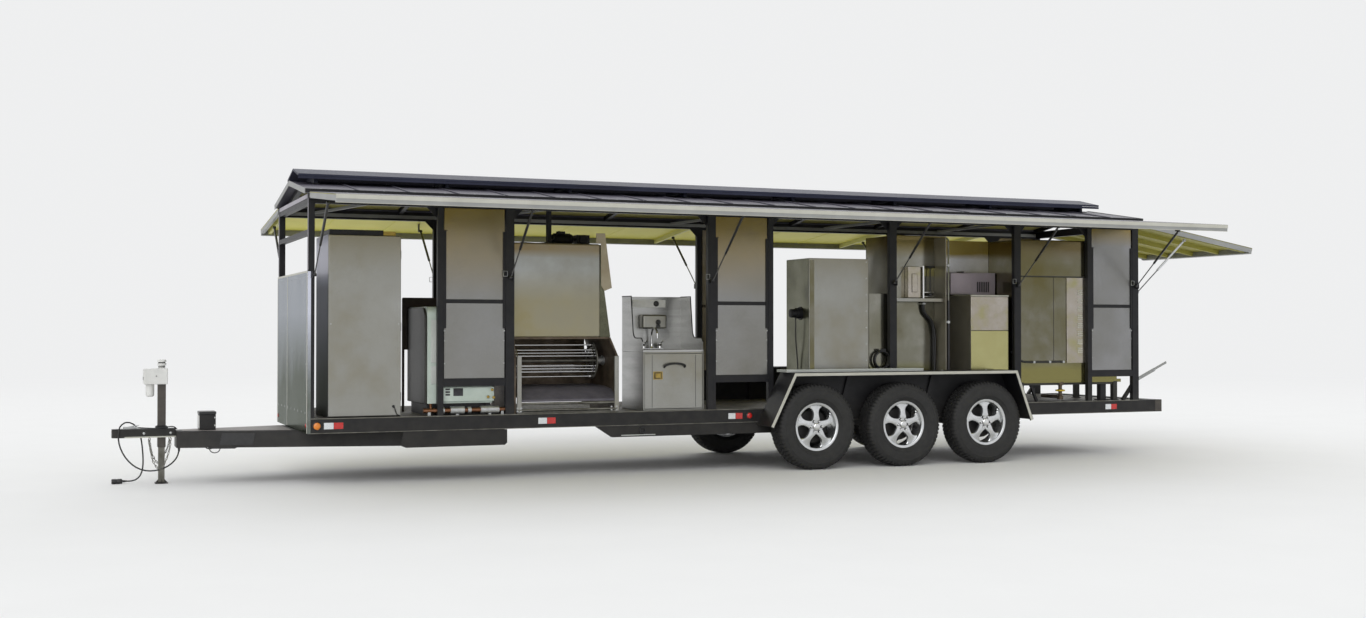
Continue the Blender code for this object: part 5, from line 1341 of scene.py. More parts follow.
# The hood steel's tan bands at top and bottom are painted reflection of the awning.
hood_steel = sheet("hood_steel", ((0.27, 0.265, 0.235), (0.33, 0.335, 0.32), (0.40, 0.41, 0.415)),
                   (0.3, 0.42), 0.8, grain=1.9, dent=0.12,
                   bands=(((0.29, 0.255, 0.145), 1.80, 1.52, 1.5), ((0.26, 0.20, 0.11), 1.90, 1.97, 1.7)))


def make_hood():
    """Build the hood with its rolled edges, its sloping side, its lip and the tan guard."""
    blocks("machine_hood", hood_steel,
           (MACHINE_START, MACHINE_END - 0.095, HOOD_FACE, MACHINE_BACK, HOOD_LOW, HOOD_TOP), edge=0.016,
           stands_for=("rotary_hood",))
    shape = bmesh.new()
    side = [(MACHINE_END - 0.097, 1.212), (MACHINE_END - 0.097, 2.024), (MACHINE_END - 0.065, 2.024),
            (MACHINE_END - 0.055, 1.62), (MACHINE_END, 1.225), (MACHINE_END, 1.212)]
    outline_in(shape, [(at(x), HOOD_FACE + 0.006, z) for x, z in side], (0, 0.655, 0))
    # The hood's sloping side is painted shade.
    piece("machine_hood_side", shape, side_shade_steel, edge=0.002)
    blocks("machine_hood_lip", burnt_steel,
           (MACHINE_START + 0.004, MACHINE_END - 0.004, HOOD_FACE + 0.004, HOOD_FACE + 0.05,
            HOOD_LOW - 0.016, HOOD_LOW + 0.002), edge=0.002)
    guard = [(2.504, 2.125), (2.588, 2.125), (2.652, 1.645), (2.584, 1.618), (2.552, 1.66), (2.548, 2.036),
             (2.504, 2.036)]
    shape = bmesh.new()
    outline_in(shape, [(at(x), HOOD_FACE - 0.004, z) for x, z in guard], (0, 0.004, 0))
    piece("machine_guard", shape, tan_paint)


def make_hood_motors():
    """Put the drive motor, its gearbox and the fan on the hood."""
    y = (HOOD_FACE + MACHINE_BACK) / 2
    shape = bmesh.new()
    turn = turned((at(2.20), y, HOOD_TOP + 0.055), "Y")
    fins = [(0, 0), (0.03, 0), (0.045, 0.008)]
    for step in range(12):
        height = 0.02 + step * 0.013
        fins += [(0.047, height), (0.054, height + 0.001), (0.054, height + 0.007), (0.047, height + 0.008)]
    fins += [(0.045, 0.19), (0.03, 0.2), (0.012, 0.2), (0.012, 0.235), (0, 0.235)]
    turned_in(shape, fins, turn, 28)
    block_in(shape, 2.22, 2.38, y - 0.04, y + 0.04, HOOD_TOP - 0.001, HOOD_TOP + 0.012)
    block_in(shape, 2.42, 2.54, y - 0.06, y + 0.05, HOOD_TOP - 0.001, HOOD_TOP + 0.095)
    block_in(shape, 2.25, 2.32, y - 0.03, y + 0.02, HOOD_TOP + 0.10, HOOD_TOP + 0.125)
    block_in(shape, 2.155, 2.195, y - 0.02, y + 0.02, HOOD_TOP - 0.001, 2.44)
    block_in(shape, 2.13, 2.22, y - 0.045, y + 0.045, HOOD_TOP - 0.001, HOOD_TOP + 0.008)
    fan = turned((at(2.48), y - 0.06, HOOD_TOP + 0.05), "X")
    turned_in(shape, [(0.045, 0), (0.045, 0.012), (0.038, 0.02), (0, 0.02)], fan, 28)
    piece("machine_motor", shape, frame_black)
    routed("machine_motor_lead",
           [(2.29, y - 0.03, HOOD_TOP + 0.115), (2.24, y - 0.07, HOOD_TOP + 0.115),
            (2.17, y - 0.13, HOOD_TOP + 0.045), (2.07, y - 0.16, HOOD_TOP + 0.006),
            (1.86, y - 0.17, HOOD_TOP + 0.006)], 6, 0.006, hose_black)


def make_cheeks():
    """Build the cheeks with their light flanges, the sloping tray and the rails."""
    waist = 1.03
    low_part = [(EQUIPMENT_FACE, DECK_TOP), (MACHINE_BACK, DECK_TOP), (MACHINE_BACK, waist),
                (EQUIPMENT_FACE, waist)]
    shape = bmesh.new()
    for start, lean in ((MACHINE_START, 0.0), (FLARE_END - CHEEK, MACHINE_END - FLARE_END)):
        outline_in(shape, [(at(start), y, z) for y, z in low_part], (CHEEK, 0, 0))
        upper = [(start, EQUIPMENT_FACE, waist), (start, MACHINE_BACK, waist),
                 (start + lean, MACHINE_BACK, HOOD_LOW - 0.001), (start + lean, HOOD_FACE, HOOD_LOW - 0.001)]
        outline_in(shape, [(at(x), y, z) for x, y, z in upper], (CHEEK, 0, 0))
    block_in(shape, MACHINE_START + CHEEK, MACHINE_END - CHEEK, MACHINE_BACK - 0.02, MACHINE_BACK - 0.001,
             0.66, HOOD_LOW - 0.001)
    block_in(shape, MACHINE_END - CHEEK - 0.001, FLARE_END - CHEEK, MACHINE_BACK - 0.02,
             MACHINE_BACK - 0.001, 0.66, 1.06)
    piece("machine_cheeks", shape, burnt_steel, edge=0.0015, stands_for=("rotary_frame",))
    blocks("machine_flanges", front_steel,
           *[(start, end, EQUIPMENT_FACE - 0.001, EQUIPMENT_FACE + 0.022, DECK_TOP, 1.045)
             for start, end in ((MACHINE_START + 0.03, MACHINE_START + 0.07), (FLARE_END - 0.04, FLARE_END))],
           edge=0.003)
    shape = bmesh.new()
    tray = [(EQUIPMENT_FACE + 0.01, 0.652), (EQUIPMENT_FACE + 0.004, 0.672), (EQUIPMENT_FACE + 0.012, 0.676),
            (EQUIPMENT_FACE + 0.13, 0.752), (EQUIPMENT_FACE + 0.30, 0.772), (MACHINE_BACK - 0.03, 0.780),
            (MACHINE_BACK - 0.03, 0.770), (EQUIPMENT_FACE + 0.30, 0.764), (EQUIPMENT_FACE + 0.13, 0.744),
            (EQUIPMENT_FACE + 0.018, 0.658)]
    outline_in(shape, [(at(MACHINE_START + 0.055), y, z) for y, z in tray],
               (FLARE_END - MACHINE_START - 0.075, 0, 0))
    piece("machine_tray", shape, plate_mauve, edge=0.001)
    shape = bmesh.new()
    for z, y in ((0.638, EQUIPMENT_FACE + 0.012), (0.582, EQUIPMENT_FACE + 0.008)):
        rod_in(shape, (at(MACHINE_START + 0.04), y, z), (at(FLARE_END - 0.02), y, z), 0.0115, 18)
    block_in(shape, MACHINE_START + 0.03, FLARE_END - 0.02, EQUIPMENT_FACE + 0.002, EQUIPMENT_FACE + 0.03,
             DECK_TOP, DECK_TOP + 0.012)
    piece("machine_rails", shape, worn_steel, edge=0.001)
    shape = bmesh.new()
    for place in (MACHINE_START + 0.035, MACHINE_START + 0.065, FLARE_END - 0.07, FLARE_END - 0.02):
        for z in (0.572, 0.60):
            screws_in(shape, [(at(place), EQUIPMENT_FACE - 0.001, z)], radius=0.009)
    bearing = turned((at(FLARE_END - CHEEK + 0.001), -0.435, 1.0), "Y", -1)
    turned_in(shape,
              [(0.045, 0), (0.045, 0.012), (0.034, 0.018), (0.034, 0.064), (0.020, 0.068), (0.020, 0.0)],
              bearing, 28)
    piece("machine_bolts", shape, zinc, edge=0)
    back_cover("machine", MACHINE_START, MACHINE_END, MACHINE_BACK, 1.25, 2.0, worn_steel, 7)


make_hood()
make_hood_motors()
make_cheeks()
print("machine is", round(MACHINE_END - MACHINE_START, 3), "long")

# %% Racks on the reel
REEL_PLACE, REEL_Y, REEL_Z = 2.19, -0.435, 1.00
REEL_HALF, REEL_RADIUS, RACKS = 0.385, 0.165, 6


def make_reel():
    """Build the shaft, two slotted discs and the racks of rods between them."""
    shape = bmesh.new()
    turn = turned((at(REEL_PLACE), REEL_Y, REEL_Z), "Y")
    turned_in(shape, [(0, -0.428), (0.015, -0.428), (0.015, 0.428), (0, 0.428)], turn, 20)
    for side in (-1, 1):
        near, far = sorted((side * REEL_HALF, side * (REEL_HALF - 0.008)))
        turned_in(shape, [(0.015, near), (0.040, near), (0.040, far), (0.015, far)], turn, 28)
        turned_in(shape, [(0.128, near), (REEL_RADIUS, near), (REEL_RADIUS, far), (0.128, far),
                          (0.128, near)], turn, 44)
        for step in range(RACKS):
            spin = turn @ Matrix.Rotation(2 * pi * step / RACKS, 4, "Z")
            place = spin @ Matrix.Translation((0.083, 0, (near + far) / 2))
            bmesh.ops.create_cube(shape, size=1, matrix=place @ Matrix.Diagonal((0.10, 0.018, 0.007, 1)))
    piece("reel_discs", shape, worn_steel, "reel", 0.0008, stands_for=("rotary_reel",))
    shape = bmesh.new()
    for step in range(RACKS):
        spin = turn @ Matrix.Rotation(2 * pi * step / RACKS, 4, "Z")
        for across in (-0.030, 0.0, 0.030):
            rod_in(shape, spin @ Vector((0.140, across, 0.006 - REEL_HALF)),
                   spin @ Vector((0.140, across, REEL_HALF - 0.006)), 0.0055, 10)
        for share in (-0.92, 0.92):
            place = spin @ Matrix.Translation((0.140, 0, REEL_HALF * share))
            bmesh.ops.create_cube(shape, size=1, matrix=place @ Matrix.Diagonal((0.012, 0.070, 0.012, 1)))
    piece("reel_racks", shape, chrome, "reel", edge=0)


make_reel()
print("racks:", RACKS)

# %% [markdown]
# ## The hand-wash unit
#
# A small stainless cabinet carries a bowl with tall guards on three sides, a lever tap, a soap dispenser
# and a blank control strip. Its door opens, so the door, handle and latch ride on the door's own body.

# %% Cabinet, top and guards
SINK_START, SINK_END = 2.93, 3.52
SINK_TOP = DECK_TOP + 0.52
SINK_FRONT, SINK_BACK = EQUIPMENT_FACE + 0.0183, EQUIPMENT_FACE + 0.54
GUARD_TOP, GUARD_FRONT, GUARD_THICK = 1.58, 1.20, 0.004


def make_sink_cabinet():
    """Build the open cabinet and the stiles round its door."""
    blocks("sink_cabinet", brushed_steel,
           (SINK_START, SINK_START + 0.018, SINK_FRONT, SINK_BACK, DECK_TOP, SINK_TOP),
           (SINK_END - 0.018, SINK_END, SINK_FRONT, SINK_BACK, DECK_TOP, SINK_TOP),
           (SINK_START + 0.018, SINK_END - 0.018, SINK_BACK - 0.018, SINK_BACK, DECK_TOP, SINK_TOP),
           (SINK_START + 0.018, SINK_END - 0.018, SINK_FRONT, SINK_BACK, DECK_TOP, DECK_TOP + 0.012),
           edge=0.005, stands_for=("sink_base",))
    blocks("sink_stiles", front_steel,
           *[(start, end, EQUIPMENT_FACE + 0.001, SINK_FRONT, DECK_TOP, SINK_TOP)
             for start, end in ((SINK_START + 0.0005, SINK_START + 0.012),
                                (SINK_END - 0.012, SINK_END - 0.0005))],
           (SINK_START + 0.012, SINK_END - 0.012, EQUIPMENT_FACE + 0.001, SINK_FRONT, DECK_TOP,
            DECK_TOP + 0.012),
           (SINK_START + 0.012, SINK_END - 0.012, EQUIPMENT_FACE + 0.001, SINK_FRONT, SINK_TOP - 0.012,
            SINK_TOP), edge=0.0012)


def make_sink_top():
    """Build the top with its bowl, the splash back and the two cut-down guards."""
    low, bowl = SINK_TOP + 0.0003, 0.09
    start, end, front, back = SINK_START + bowl, SINK_END - bowl, SINK_FRONT + bowl, SINK_BACK - bowl
    blocks("sink_top_bowl", brushed_steel,
           (SINK_START, SINK_END, SINK_FRONT - 0.012, front, low, low + 0.02),
           (SINK_START, SINK_END, back, SINK_BACK, low, low + 0.02),
           (SINK_START, start, front, back, low, low + 0.02), (end, SINK_END, front, back, low, low + 0.02),
           *[(first, last, near, far, low - 0.13, low + 0.019)
             for first, last, near, far in ((start - 0.004, start, front, back),
                                            (end, end + 0.004, front, back),
                                            (start, end, front - 0.004, front),
                                            (start, end, back, back + 0.004))],
           (start, end, front, back, low - 0.134, low - 0.13), edge=0.003, stands_for=("sink_top",))
    top = low + 0.02
    shape = bmesh.new()
    block_in(shape, SINK_START + 0.002, SINK_END - 0.002, SINK_BACK - GUARD_THICK - 0.001, SINK_BACK - 0.001,
             top, GUARD_TOP)
    for place in (SINK_START + 0.001, SINK_END - GUARD_THICK - 0.001):
        guard = guard_outline(top)
        outline_in(shape, [(at(place), y, z) for y, z in guard], (GUARD_THICK, 0, 0))
    piece("sink_guards", shape, brushed_steel, edge=0.0008)
    for number, place in enumerate((SINK_START + 0.003, SINK_END - 0.003), 1):
        line = [Vector((at(place), y, z)) for y, z in guard_outline(top)[1:-1]]
        wire(f"sink_guard_trim_{number}", line, 0.0055, hose_black, sides=2)


def guard_outline(top):
    """Return a guard's side view: tall at the back, cut down with a curve at the front."""
    middle = (SINK_FRONT + SINK_BACK) / 2
    curve = [(middle - 0.015 - 0.07 * (1 - cos(pi / 2 * step / 6)),
              GUARD_FRONT + 0.09 - 0.09 * sin(pi / 2 * step / 6))
             for step in range(7)]
    return ([(SINK_BACK - 0.002, top), (SINK_BACK - 0.002, GUARD_TOP), (middle + 0.03, GUARD_TOP)] + curve
            + [(SINK_FRONT + 0.03, GUARD_FRONT), (SINK_FRONT + 0.004, GUARD_FRONT - 0.03),
               (SINK_FRONT + 0.004, top)])


def make_sink_fittings():
    """Build the blank control strip, dispenser, lever tap and waste."""
    wall = SINK_BACK - GUARD_THICK - 0.001
    blocks("sink_blank_strip", label_blank,
           (SINK_START + 0.10, SINK_START + 0.43, wall - 0.004, wall, 1.482, 1.552),
           (SINK_START + 0.015, SINK_START + 0.055, wall - 0.003, wall, 1.475, 1.545), edge=0.001)
    shape = bmesh.new()
    knob = turned((at(SINK_START + 0.335), wall - 0.004, 1.517), "X")
    turned_in(shape, [(0.026, 0), (0.026, 0.010), (0.021, 0.018), (0, 0.019)], knob, 28)
    block_in(shape, SINK_START + 0.012, SINK_START + 0.016, wall - 0.006, wall, 1.46, 1.556)
    piece("sink_dial", shape, hose_black, edge=0)
    blocks("sink_dispenser", front_steel,
           (SINK_START + 0.165, SINK_START + 0.405, wall - 0.105, wall, 1.285, 1.415), edge=0.018)
    shape = bmesh.new()
    button = turned((at(SINK_START + 0.315), wall - 0.105, 1.345), "X")
    turned_in(shape, [(0.024, 0), (0.024, 0.006), (0.015, 0.012), (0.015, 0.03), (0, 0.032)], button, 24)
    block_in(shape, SINK_START + 0.297, SINK_START + 0.333, wall - 0.115, wall - 0.10, 1.300, 1.322)
    piece("sink_dispenser_button", shape, hose_black, edge=0)
    shape = bmesh.new()
    deck, y = SINK_TOP + 0.0203, wall - 0.055
    block_in(shape, SINK_START + 0.16, SINK_START + 0.38, y - 0.025, y + 0.025, deck, deck + 0.010)
    for place in (0.19, 0.35):
        turned_in(shape,
                  [(0.019, 0.008), (0.017, 0.03), (0.021, 0.036), (0.021, 0.052), (0.012, 0.058),
                   (0, 0.058)], Matrix.Translation((at(SINK_START + place), y, deck)), 22)
        rod_in(shape, (at(SINK_START + place), y, deck + 0.048),
               (at(SINK_START + place) + 0.012, y - 0.055, deck + 0.075),
               0.006, 12, 0.008)
    turned_in(shape, [(0.022, 0.008), (0.015, 0.02), (0.012, 0.05), (0, 0.05)],
              Matrix.Translation((at(SINK_START + 0.27), y, deck)), 22)
    piece("sink_tap_base", shape, chrome, edge=0.0015)
    x = at(SINK_START + 0.27)
    spout = smooth_route([(x, y, deck + 0.03), (x, y, deck + 0.13), (x, y - 0.03, deck + 0.185),
                          (x, y - 0.09, deck + 0.19), (x, y - 0.135, deck + 0.155),
                          (x, y - 0.142, deck + 0.10)], 6)
    wire("sink_spout", spout, 0.0085, chrome, sides=4)
    shape = bmesh.new()
    turned_in(shape, [(0.022, 0), (0.022, 0.002), (0.012, 0.003), (0.012, 0.001), (0, 0.001)],
              Matrix.Translation((x, (SINK_FRONT + SINK_BACK) / 2, SINK_TOP + 0.0003 - 0.13)), 22)
    piece("sink_waste", shape, chrome, edge=0)
    back_cover("sink", SINK_START, SINK_END, SINK_BACK, DECK_TOP, SINK_TOP, brushed_steel, 3)


def make_sink_door():
    """Build the door, its arched handle and its square brass latch."""
    low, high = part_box("sink_door")
    boxes("sink_door_plate", front_steel, ((low.x, low.y + 0.001, low.z), (high.x, high.y, high.z)),
          body="sink_door", edge=0.003, stands_for=("sink_door",))
    seam = 0.07
    boxes("sink_door_seams", alloy_shade,
          *[((x - 0.002, low.y, low.z + 0.01), (x + 0.002, low.y + 0.003, high.z - 0.01))
            for x in (low.x + seam, high.x - seam)], body="sink_door", edge=0)
    middle, top = (low.x + high.x) / 2 + 0.005, low.z + (high.z - low.z) * 0.815
    arch = smooth_route([(middle - 0.098, low.y + 0.002, top - 0.030),
                         (middle - 0.093, low.y - 0.022, top - 0.014),
                         (middle - 0.05, low.y - 0.030, top), (middle, low.y - 0.030, top + 0.004),
                         (middle + 0.05, low.y - 0.030, top), (middle + 0.093, low.y - 0.022, top - 0.014),
                         (middle + 0.098, low.y + 0.002, top - 0.030)], 5)
    wire("sink_door_handle", arch, 0.0095, hose_black, "sink_door", 4)
    x, z = low.x + 0.125, low.z + (high.z - low.z) * 0.605
    boxes("sink_latch_plate", brass,
          ((x - 0.045, low.y - 0.004, z - 0.036), (x + 0.045, low.y + 0.002, z + 0.036)), body="sink_door",
          edge=0.002)
    # The dark well is painted shade in the latch's recess.
    boxes("sink_latch_well", alloy_shade,
          ((x - 0.036, low.y - 0.007, z - 0.028), (x + 0.036, low.y - 0.0035, z + 0.028)), body="sink_door",
          edge=0.001)
    shape = bmesh.new()
    box_in(shape, (x - 0.028, low.y - 0.012, z - 0.020), (x + 0.018, low.y - 0.006, z + 0.020))
    rod_in(shape, (x + 0.024, low.y - 0.010, z - 0.024), (x + 0.024, low.y - 0.010, z + 0.024), 0.004, 10)
    piece("sink_latch_paddle", shape, brass, "sink_door", 0.002)


make_sink_cabinet()
make_sink_top()
make_sink_fittings()
make_sink_door()
print("hand-wash unit top", round(SINK_TOP, 3))

# %% [markdown]
# ## The tall cabinet and the hose plate
#
# Over the wheels stands a tall stained cabinet with a motor on its side, and next to it a narrow steel
# plate with a coil of black hose. The coil is fixed to the plate by its clips, so it is modelled as one
# curve of several turns.

# %% Tall cabinet with its motor
def make_tall_cabinet():
    """Build the cabinet, its face, the bolts along one edge and the side motor."""
    low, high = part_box("tall_cabinet")
    start, end = low.x - FRONT, high.x - FRONT
    # The body's sides are painted shade.
    blocks("tall_cabinet_body", side_shade_steel, (start, end, low.y + 0.010, high.y, low.z, high.z), edge=0.004,
           stands_for=("tall_cabinet",))
    blocks("tall_cabinet_face", front_steel, (start, end, low.y, low.y + 0.012, low.z + 0.002, high.z),
           edge=0.004)
    shape = bmesh.new()
    spots = [(at(end - 0.022), low.y, low.z + 0.12 + step * 0.155) for step in range(9)]
    screws_in(shape, spots, radius=0.007)
    piece("tall_cabinet_bolts", shape, zinc, edge=0)
    blocks("tall_cabinet_stile", tank_steel,
           (start + 0.004, start + 0.05, low.y - 0.004, low.y + 0.002, low.z + 0.02, high.z - 0.02),
           edge=0.001)
    back_cover("tall_cabinet", start, end, high.y, low.z, high.z, dark_steel, 6)
    shape = bmesh.new()
    out = turned((low.x, low.y + 0.18, 1.43), "Y", -1)
    turned_in(shape,
              [(0.062, 0), (0.062, 0.008), (0.050, 0.010), (0.050, 0.022), (0.044, 0.024), (0.044, 0.034),
               (0.050, 0.036), (0.050, 0.050), (0.040, 0.056), (0.040, 0.105), (0.020, 0.112), (0, 0.112)],
              out, 28)
    piece("tall_cabinet_motor", shape, frame_black, edge=0)
    line = smooth_route([(low.x - 0.05, low.y + 0.18, 1.38), (low.x - 0.045, low.y + 0.19, 1.20),
                         (low.x - 0.020, low.y + 0.2, 0.95), (low.x - 0.012, low.y + 0.2, 0.60)], 8)
    wire("tall_cabinet_motor_lead", line, 0.006, hose_black)


def make_hose_plate():
    """Build the narrow plate with its polished strips and the clipped coil of hose."""
    start, end = 5.245, 5.475
    blocks("hose_plate", bay_steel, (start, end, EQUIPMENT_FACE + 0.03, EQUIPMENT_FACE + 0.036, 0.92, 1.62),
           edge=0.002)
    blocks("hose_plate_strip", polished_steel,
           (end - 0.018, end - 0.006, EQUIPMENT_FACE + 0.024, EQUIPMENT_FACE + 0.031, 0.93, 1.58),
           (start + 0.02, start + 0.05, EQUIPMENT_FACE + 0.036, EQUIPMENT_FACE + 0.06, DECK_TOP, 1.0),
           (end - 0.05, end - 0.02, EQUIPMENT_FACE + 0.036, EQUIPMENT_FACE + 0.06, DECK_TOP, 1.0),
           edge=0.002)
    coil = []
    turns, radius = 5, 0.082
    for step in range(turns * 20 + 1):
        turn = 2 * pi * step / 20
        coil.append(Vector((at((start + end) / 2) + radius * sin(turn),
                            EQUIPMENT_FACE + 0.012 - 0.015 * step / (turns * 20) * turns * 0.5,
                            0.99 + radius * cos(turn) * (1.0 + 0.03 * sin(turn * 0.4)))))
    wire("hose_plate_coil", coil, 0.0085, hose_black)
    shape = bmesh.new()
    x = at((start + end) / 2)
    for side in (-1, 1):
        block_in(shape, (start + end) / 2 + side * 0.02 - 0.006, (start + end) / 2 + side * 0.02 + 0.006,
                 EQUIPMENT_FACE - 0.034, EQUIPMENT_FACE + 0.031, 1.075, 1.082)
    box_in(shape, (x - 0.03, EQUIPMENT_FACE - 0.036, 1.065), (x + 0.03, EQUIPMENT_FACE - 0.032, 1.095))
    piece("hose_plate_clip", shape, frame_black)


make_tall_cabinet()
make_hose_plate()

# %% [markdown]
# ## The wash bay
#
# Between the tall cabinet and the tank is a wash bay. A stainless unit holds a shelf with a dispenser, a
# rack and a tap, and two black hoses run down its wall beside a thin supply pipe. Next to it stands a small
# cabinet with two doors, under a lilac box with vents. The sheets are darker and warmer than the wall
# panels, because the awning's underside is what they reflect. Boxes serve for the sheets, and the hoses
# follow one smooth route.

# %% Bay walls, shelf and hoses
def make_wash_bay():
    """Build the open unit with its shelf, rack and hoses, and the wall beside it."""
    low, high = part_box("chiller")
    start, end = 5.51, 6.09
    front = EQUIPMENT_FACE
    blocks("bay_shell", bay_steel, (start, start + 0.012, front, high.y, low.z, high.z),
           (start + 0.012, end - 0.012, front + 0.20, front + 0.212, low.z, high.z),
           (start + 0.012, end - 0.012, front, high.y, high.z - 0.012, high.z),
           (start + 0.012, end - 0.012, front, high.y, low.z, low.z + 0.012),
           (start, end, high.y - 0.012, high.y, low.z, high.z), edge=0.002, stands_for=("chiller",))
    # The right side is toned for the shade it stands in: painted light.
    blocks("bay_right_side", shade_steel, (end - 0.0115, end, front, high.y, low.z, high.z), edge=0.002)
    blocks("bay_shelf", front_steel, (start + 0.012, end - 0.012, front + 0.04, front + 0.20, 1.567, 1.579),
           (start + 0.012, end - 0.012, front + 0.036, front + 0.042, 1.547, 1.579), edge=0.0015)
    blocks("bay_rack_plate", polished_steel,
           (start + 0.41, end - 0.014, front + 0.194, front + 0.2, 1.80, 1.90), edge=0.001)
    blocks("bay_dispenser", blush_steel,
           (start + 0.23, start + 0.37, front + 0.13, front + 0.2, 1.585, 1.89),
           (start + 0.27, start + 0.33, front + 0.12, front + 0.131, 1.64, 1.82), edge=0.008)
    shape = bmesh.new()
    block_in(shape, start + 0.395, start + 0.41, front + 0.13, front + 0.2, 1.56, 1.90)
    rod_in(shape, (at(start + 0.42), front + 0.16, 1.642), (at(start + 0.56), front + 0.16, 1.642), 0.009, 18)
    rod_in(shape, (at(start + 0.42), front + 0.16, 1.60), (at(start + 0.56), front + 0.16, 1.60), 0.006, 18)
    piece("bay_rack", shape, chrome, edge=0.002)
    shape = bmesh.new()
    rod_in(shape, (at(start + 0.495), front + 0.16, 1.57), (at(start + 0.495), front + 0.16, 1.89), 0.006, 18)
    turned_in(shape, [(0.006, 0), (0.05, 0.012), (0.05, 0.02), (0.014, 0.03), (0, 0.03)],
              Matrix.Translation((at(start + 0.495), front + 0.16, 1.872)), 28)
    turned_in(shape, [(0.006, 0), (0.03, 0.006), (0.03, 0.022), (0, 0.022)],
              Matrix.Translation((at(start + 0.495), front + 0.16, 1.605)), 28)
    piece("bay_tap", shape, hose_black, edge=0)
    blocks("bay_wall", bay_wall_steel,
           (6.088, 6.938, high.y - 0.021, high.y - 0.001, low.z + 0.001, high.z - 0.001),
           (6.088, 6.36, high.y - 0.035, high.y - 0.018, 1.597, 1.612), edge=0.002)
    shape = bmesh.new()
    spots = [(at(x), high.y - 0.0215, z) for x in (6.12, 6.33) for z in (0.7, 1.1, 1.6, 2.05)]
    screws_in(shape, spots)
    piece("bay_wall_screws", shape, zinc, edge=0)
    for number, shift in enumerate((0.0, 0.024)):
        hose = [(5.930, 1.556), (5.932, 1.50), (5.948, 1.44), (5.99, 1.395), (6.03, 1.35), (6.052, 1.27),
                (6.058 + shift / 4, 1.15), (6.058, 0.95), (6.054 - shift / 4, 0.72), (6.05, 0.565)]
        line = smooth_route([(at(x), front + 0.187 - shift, z) for x, z in hose], 6)
        wire(f"bay_hose_{number + 1}", line, 0.0115, hose_black, sides=4)
    shape = bmesh.new()
    for z in (1.53, 0.74):
        middle = 5.931 if z > 1 else 6.054
        block_in(shape, middle - 0.018, middle + 0.018, front + 0.148, front + 0.2, z - 0.008, z + 0.008)
    piece("bay_hose_clips", shape, zinc, edge=0.002)
    pipe = [Vector((at(end + 0.035), front + 0.02, 0.575)), Vector((at(end + 0.035), front + 0.02, 2.15)),
            Vector((at(end + 0.035), front + 0.06, 2.17))]
    wire("bay_pipe", pipe, 0.009, zinc, sides=4)
    sleeve = [Vector((at(end + 0.035), front + 0.02, z)) for z in (0.57, 0.9, 1.2, 1.56)]
    wire("bay_pipe_sleeve", sleeve, 0.0125, hose_black, sides=4)
    shape = bmesh.new()
    for z in (0.8, 1.35, 1.9):
        turned_in(shape, [(0.012, -0.014), (0.017, -0.012), (0.017, 0.012), (0.012, 0.014)],
                  Matrix.Translation((at(end + 0.035), front + 0.02, z)), 18)
        block_in(shape, end - 0.001, end + 0.03, front + 0.012, front + 0.028, z - 0.006, z + 0.006)
    piece("bay_pipe_clips", shape, zinc, edge=0.0008)
    back_cover("bay", start, end, high.y, low.z, high.z, bay_steel, 8)


def make_small_cabinets():
    """Build the small cabinet with two doors, and the vented lilac box over it."""
    low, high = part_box("small_cabinet")
    start, end = low.x - FRONT, high.x - FRONT
    # The body is toned for the shade it stands in: painted light.
    blocks("small_cabinet_body", shade_steel, (start, end, low.y + 0.008, high.y, low.z, high.z), edge=0.003,
           stands_for=("small_cabinet",))
    middle = 1.268
    for name, bottom, top, made_of in (("upper", middle + 0.002, high.z - 0.014, blush_steel),
                                       ("lower", low.z + 0.003, middle - 0.002, polished_steel)):
        blocks(f"small_cabinet_{name}_door", made_of,
               (start + 0.002, end - 0.002, low.y, low.y + 0.010, bottom, top), edge=0.004)
    blocks("small_cabinet_rim", trim_cream,
           (start, end, low.y - 0.003, low.y + 0.012, high.z - 0.012, high.z + 0.001), edge=0.001)
    wall = high.y - 0.001
    blocks("upper_box", box_mauve, (6.40, 6.93, wall - 0.10, wall + 0.02, high.z + 0.012, 1.85),
           (6.38, 6.62, wall - 0.13, wall - 0.10, high.z + 0.020, 1.842), edge=0.003)
    # The shelf is painted shade.
    blocks("upper_box_shelf", side_shade_steel, (6.37, 6.934, low.y + 0.30, wall + 0.02, high.z, high.z + 0.012),
           edge=0.002)
    # The dark slats are painted shade in the box's vents.
    shape = bmesh.new()
    for step in range(7):
        place = 6.71 + step * 0.022
        block_in(shape, place, place + 0.011, wall - 0.104, wall - 0.098, 1.655, 1.76)
    block_in(shape, 6.52, 6.55, wall - 0.11, wall - 0.02, 1.849, 1.862)
    piece("upper_box_vents", shape, alloy_shade, edge=0)
    back_cover("small_cabinet", start, end, high.y, low.z, high.z, dark_steel, 3)


make_wash_bay()
make_small_cabinets()
print("wash bay walls, shelf, hoses and small cabinets are in place")

# %% [markdown]
# ## The rear tank
#
# The largest box on the deck is an insulated stainless tank on four slim legs. Its face has two flush
# doors, a pale column with rows of slots, black strips of painted shadow along its seams and a black hose in
# clips. Under it are a tray, a pedestal and a drain pipe with a yellow valve. The doors are thin slabs in
# front of the body, so that their gaps draw real shadow lines.

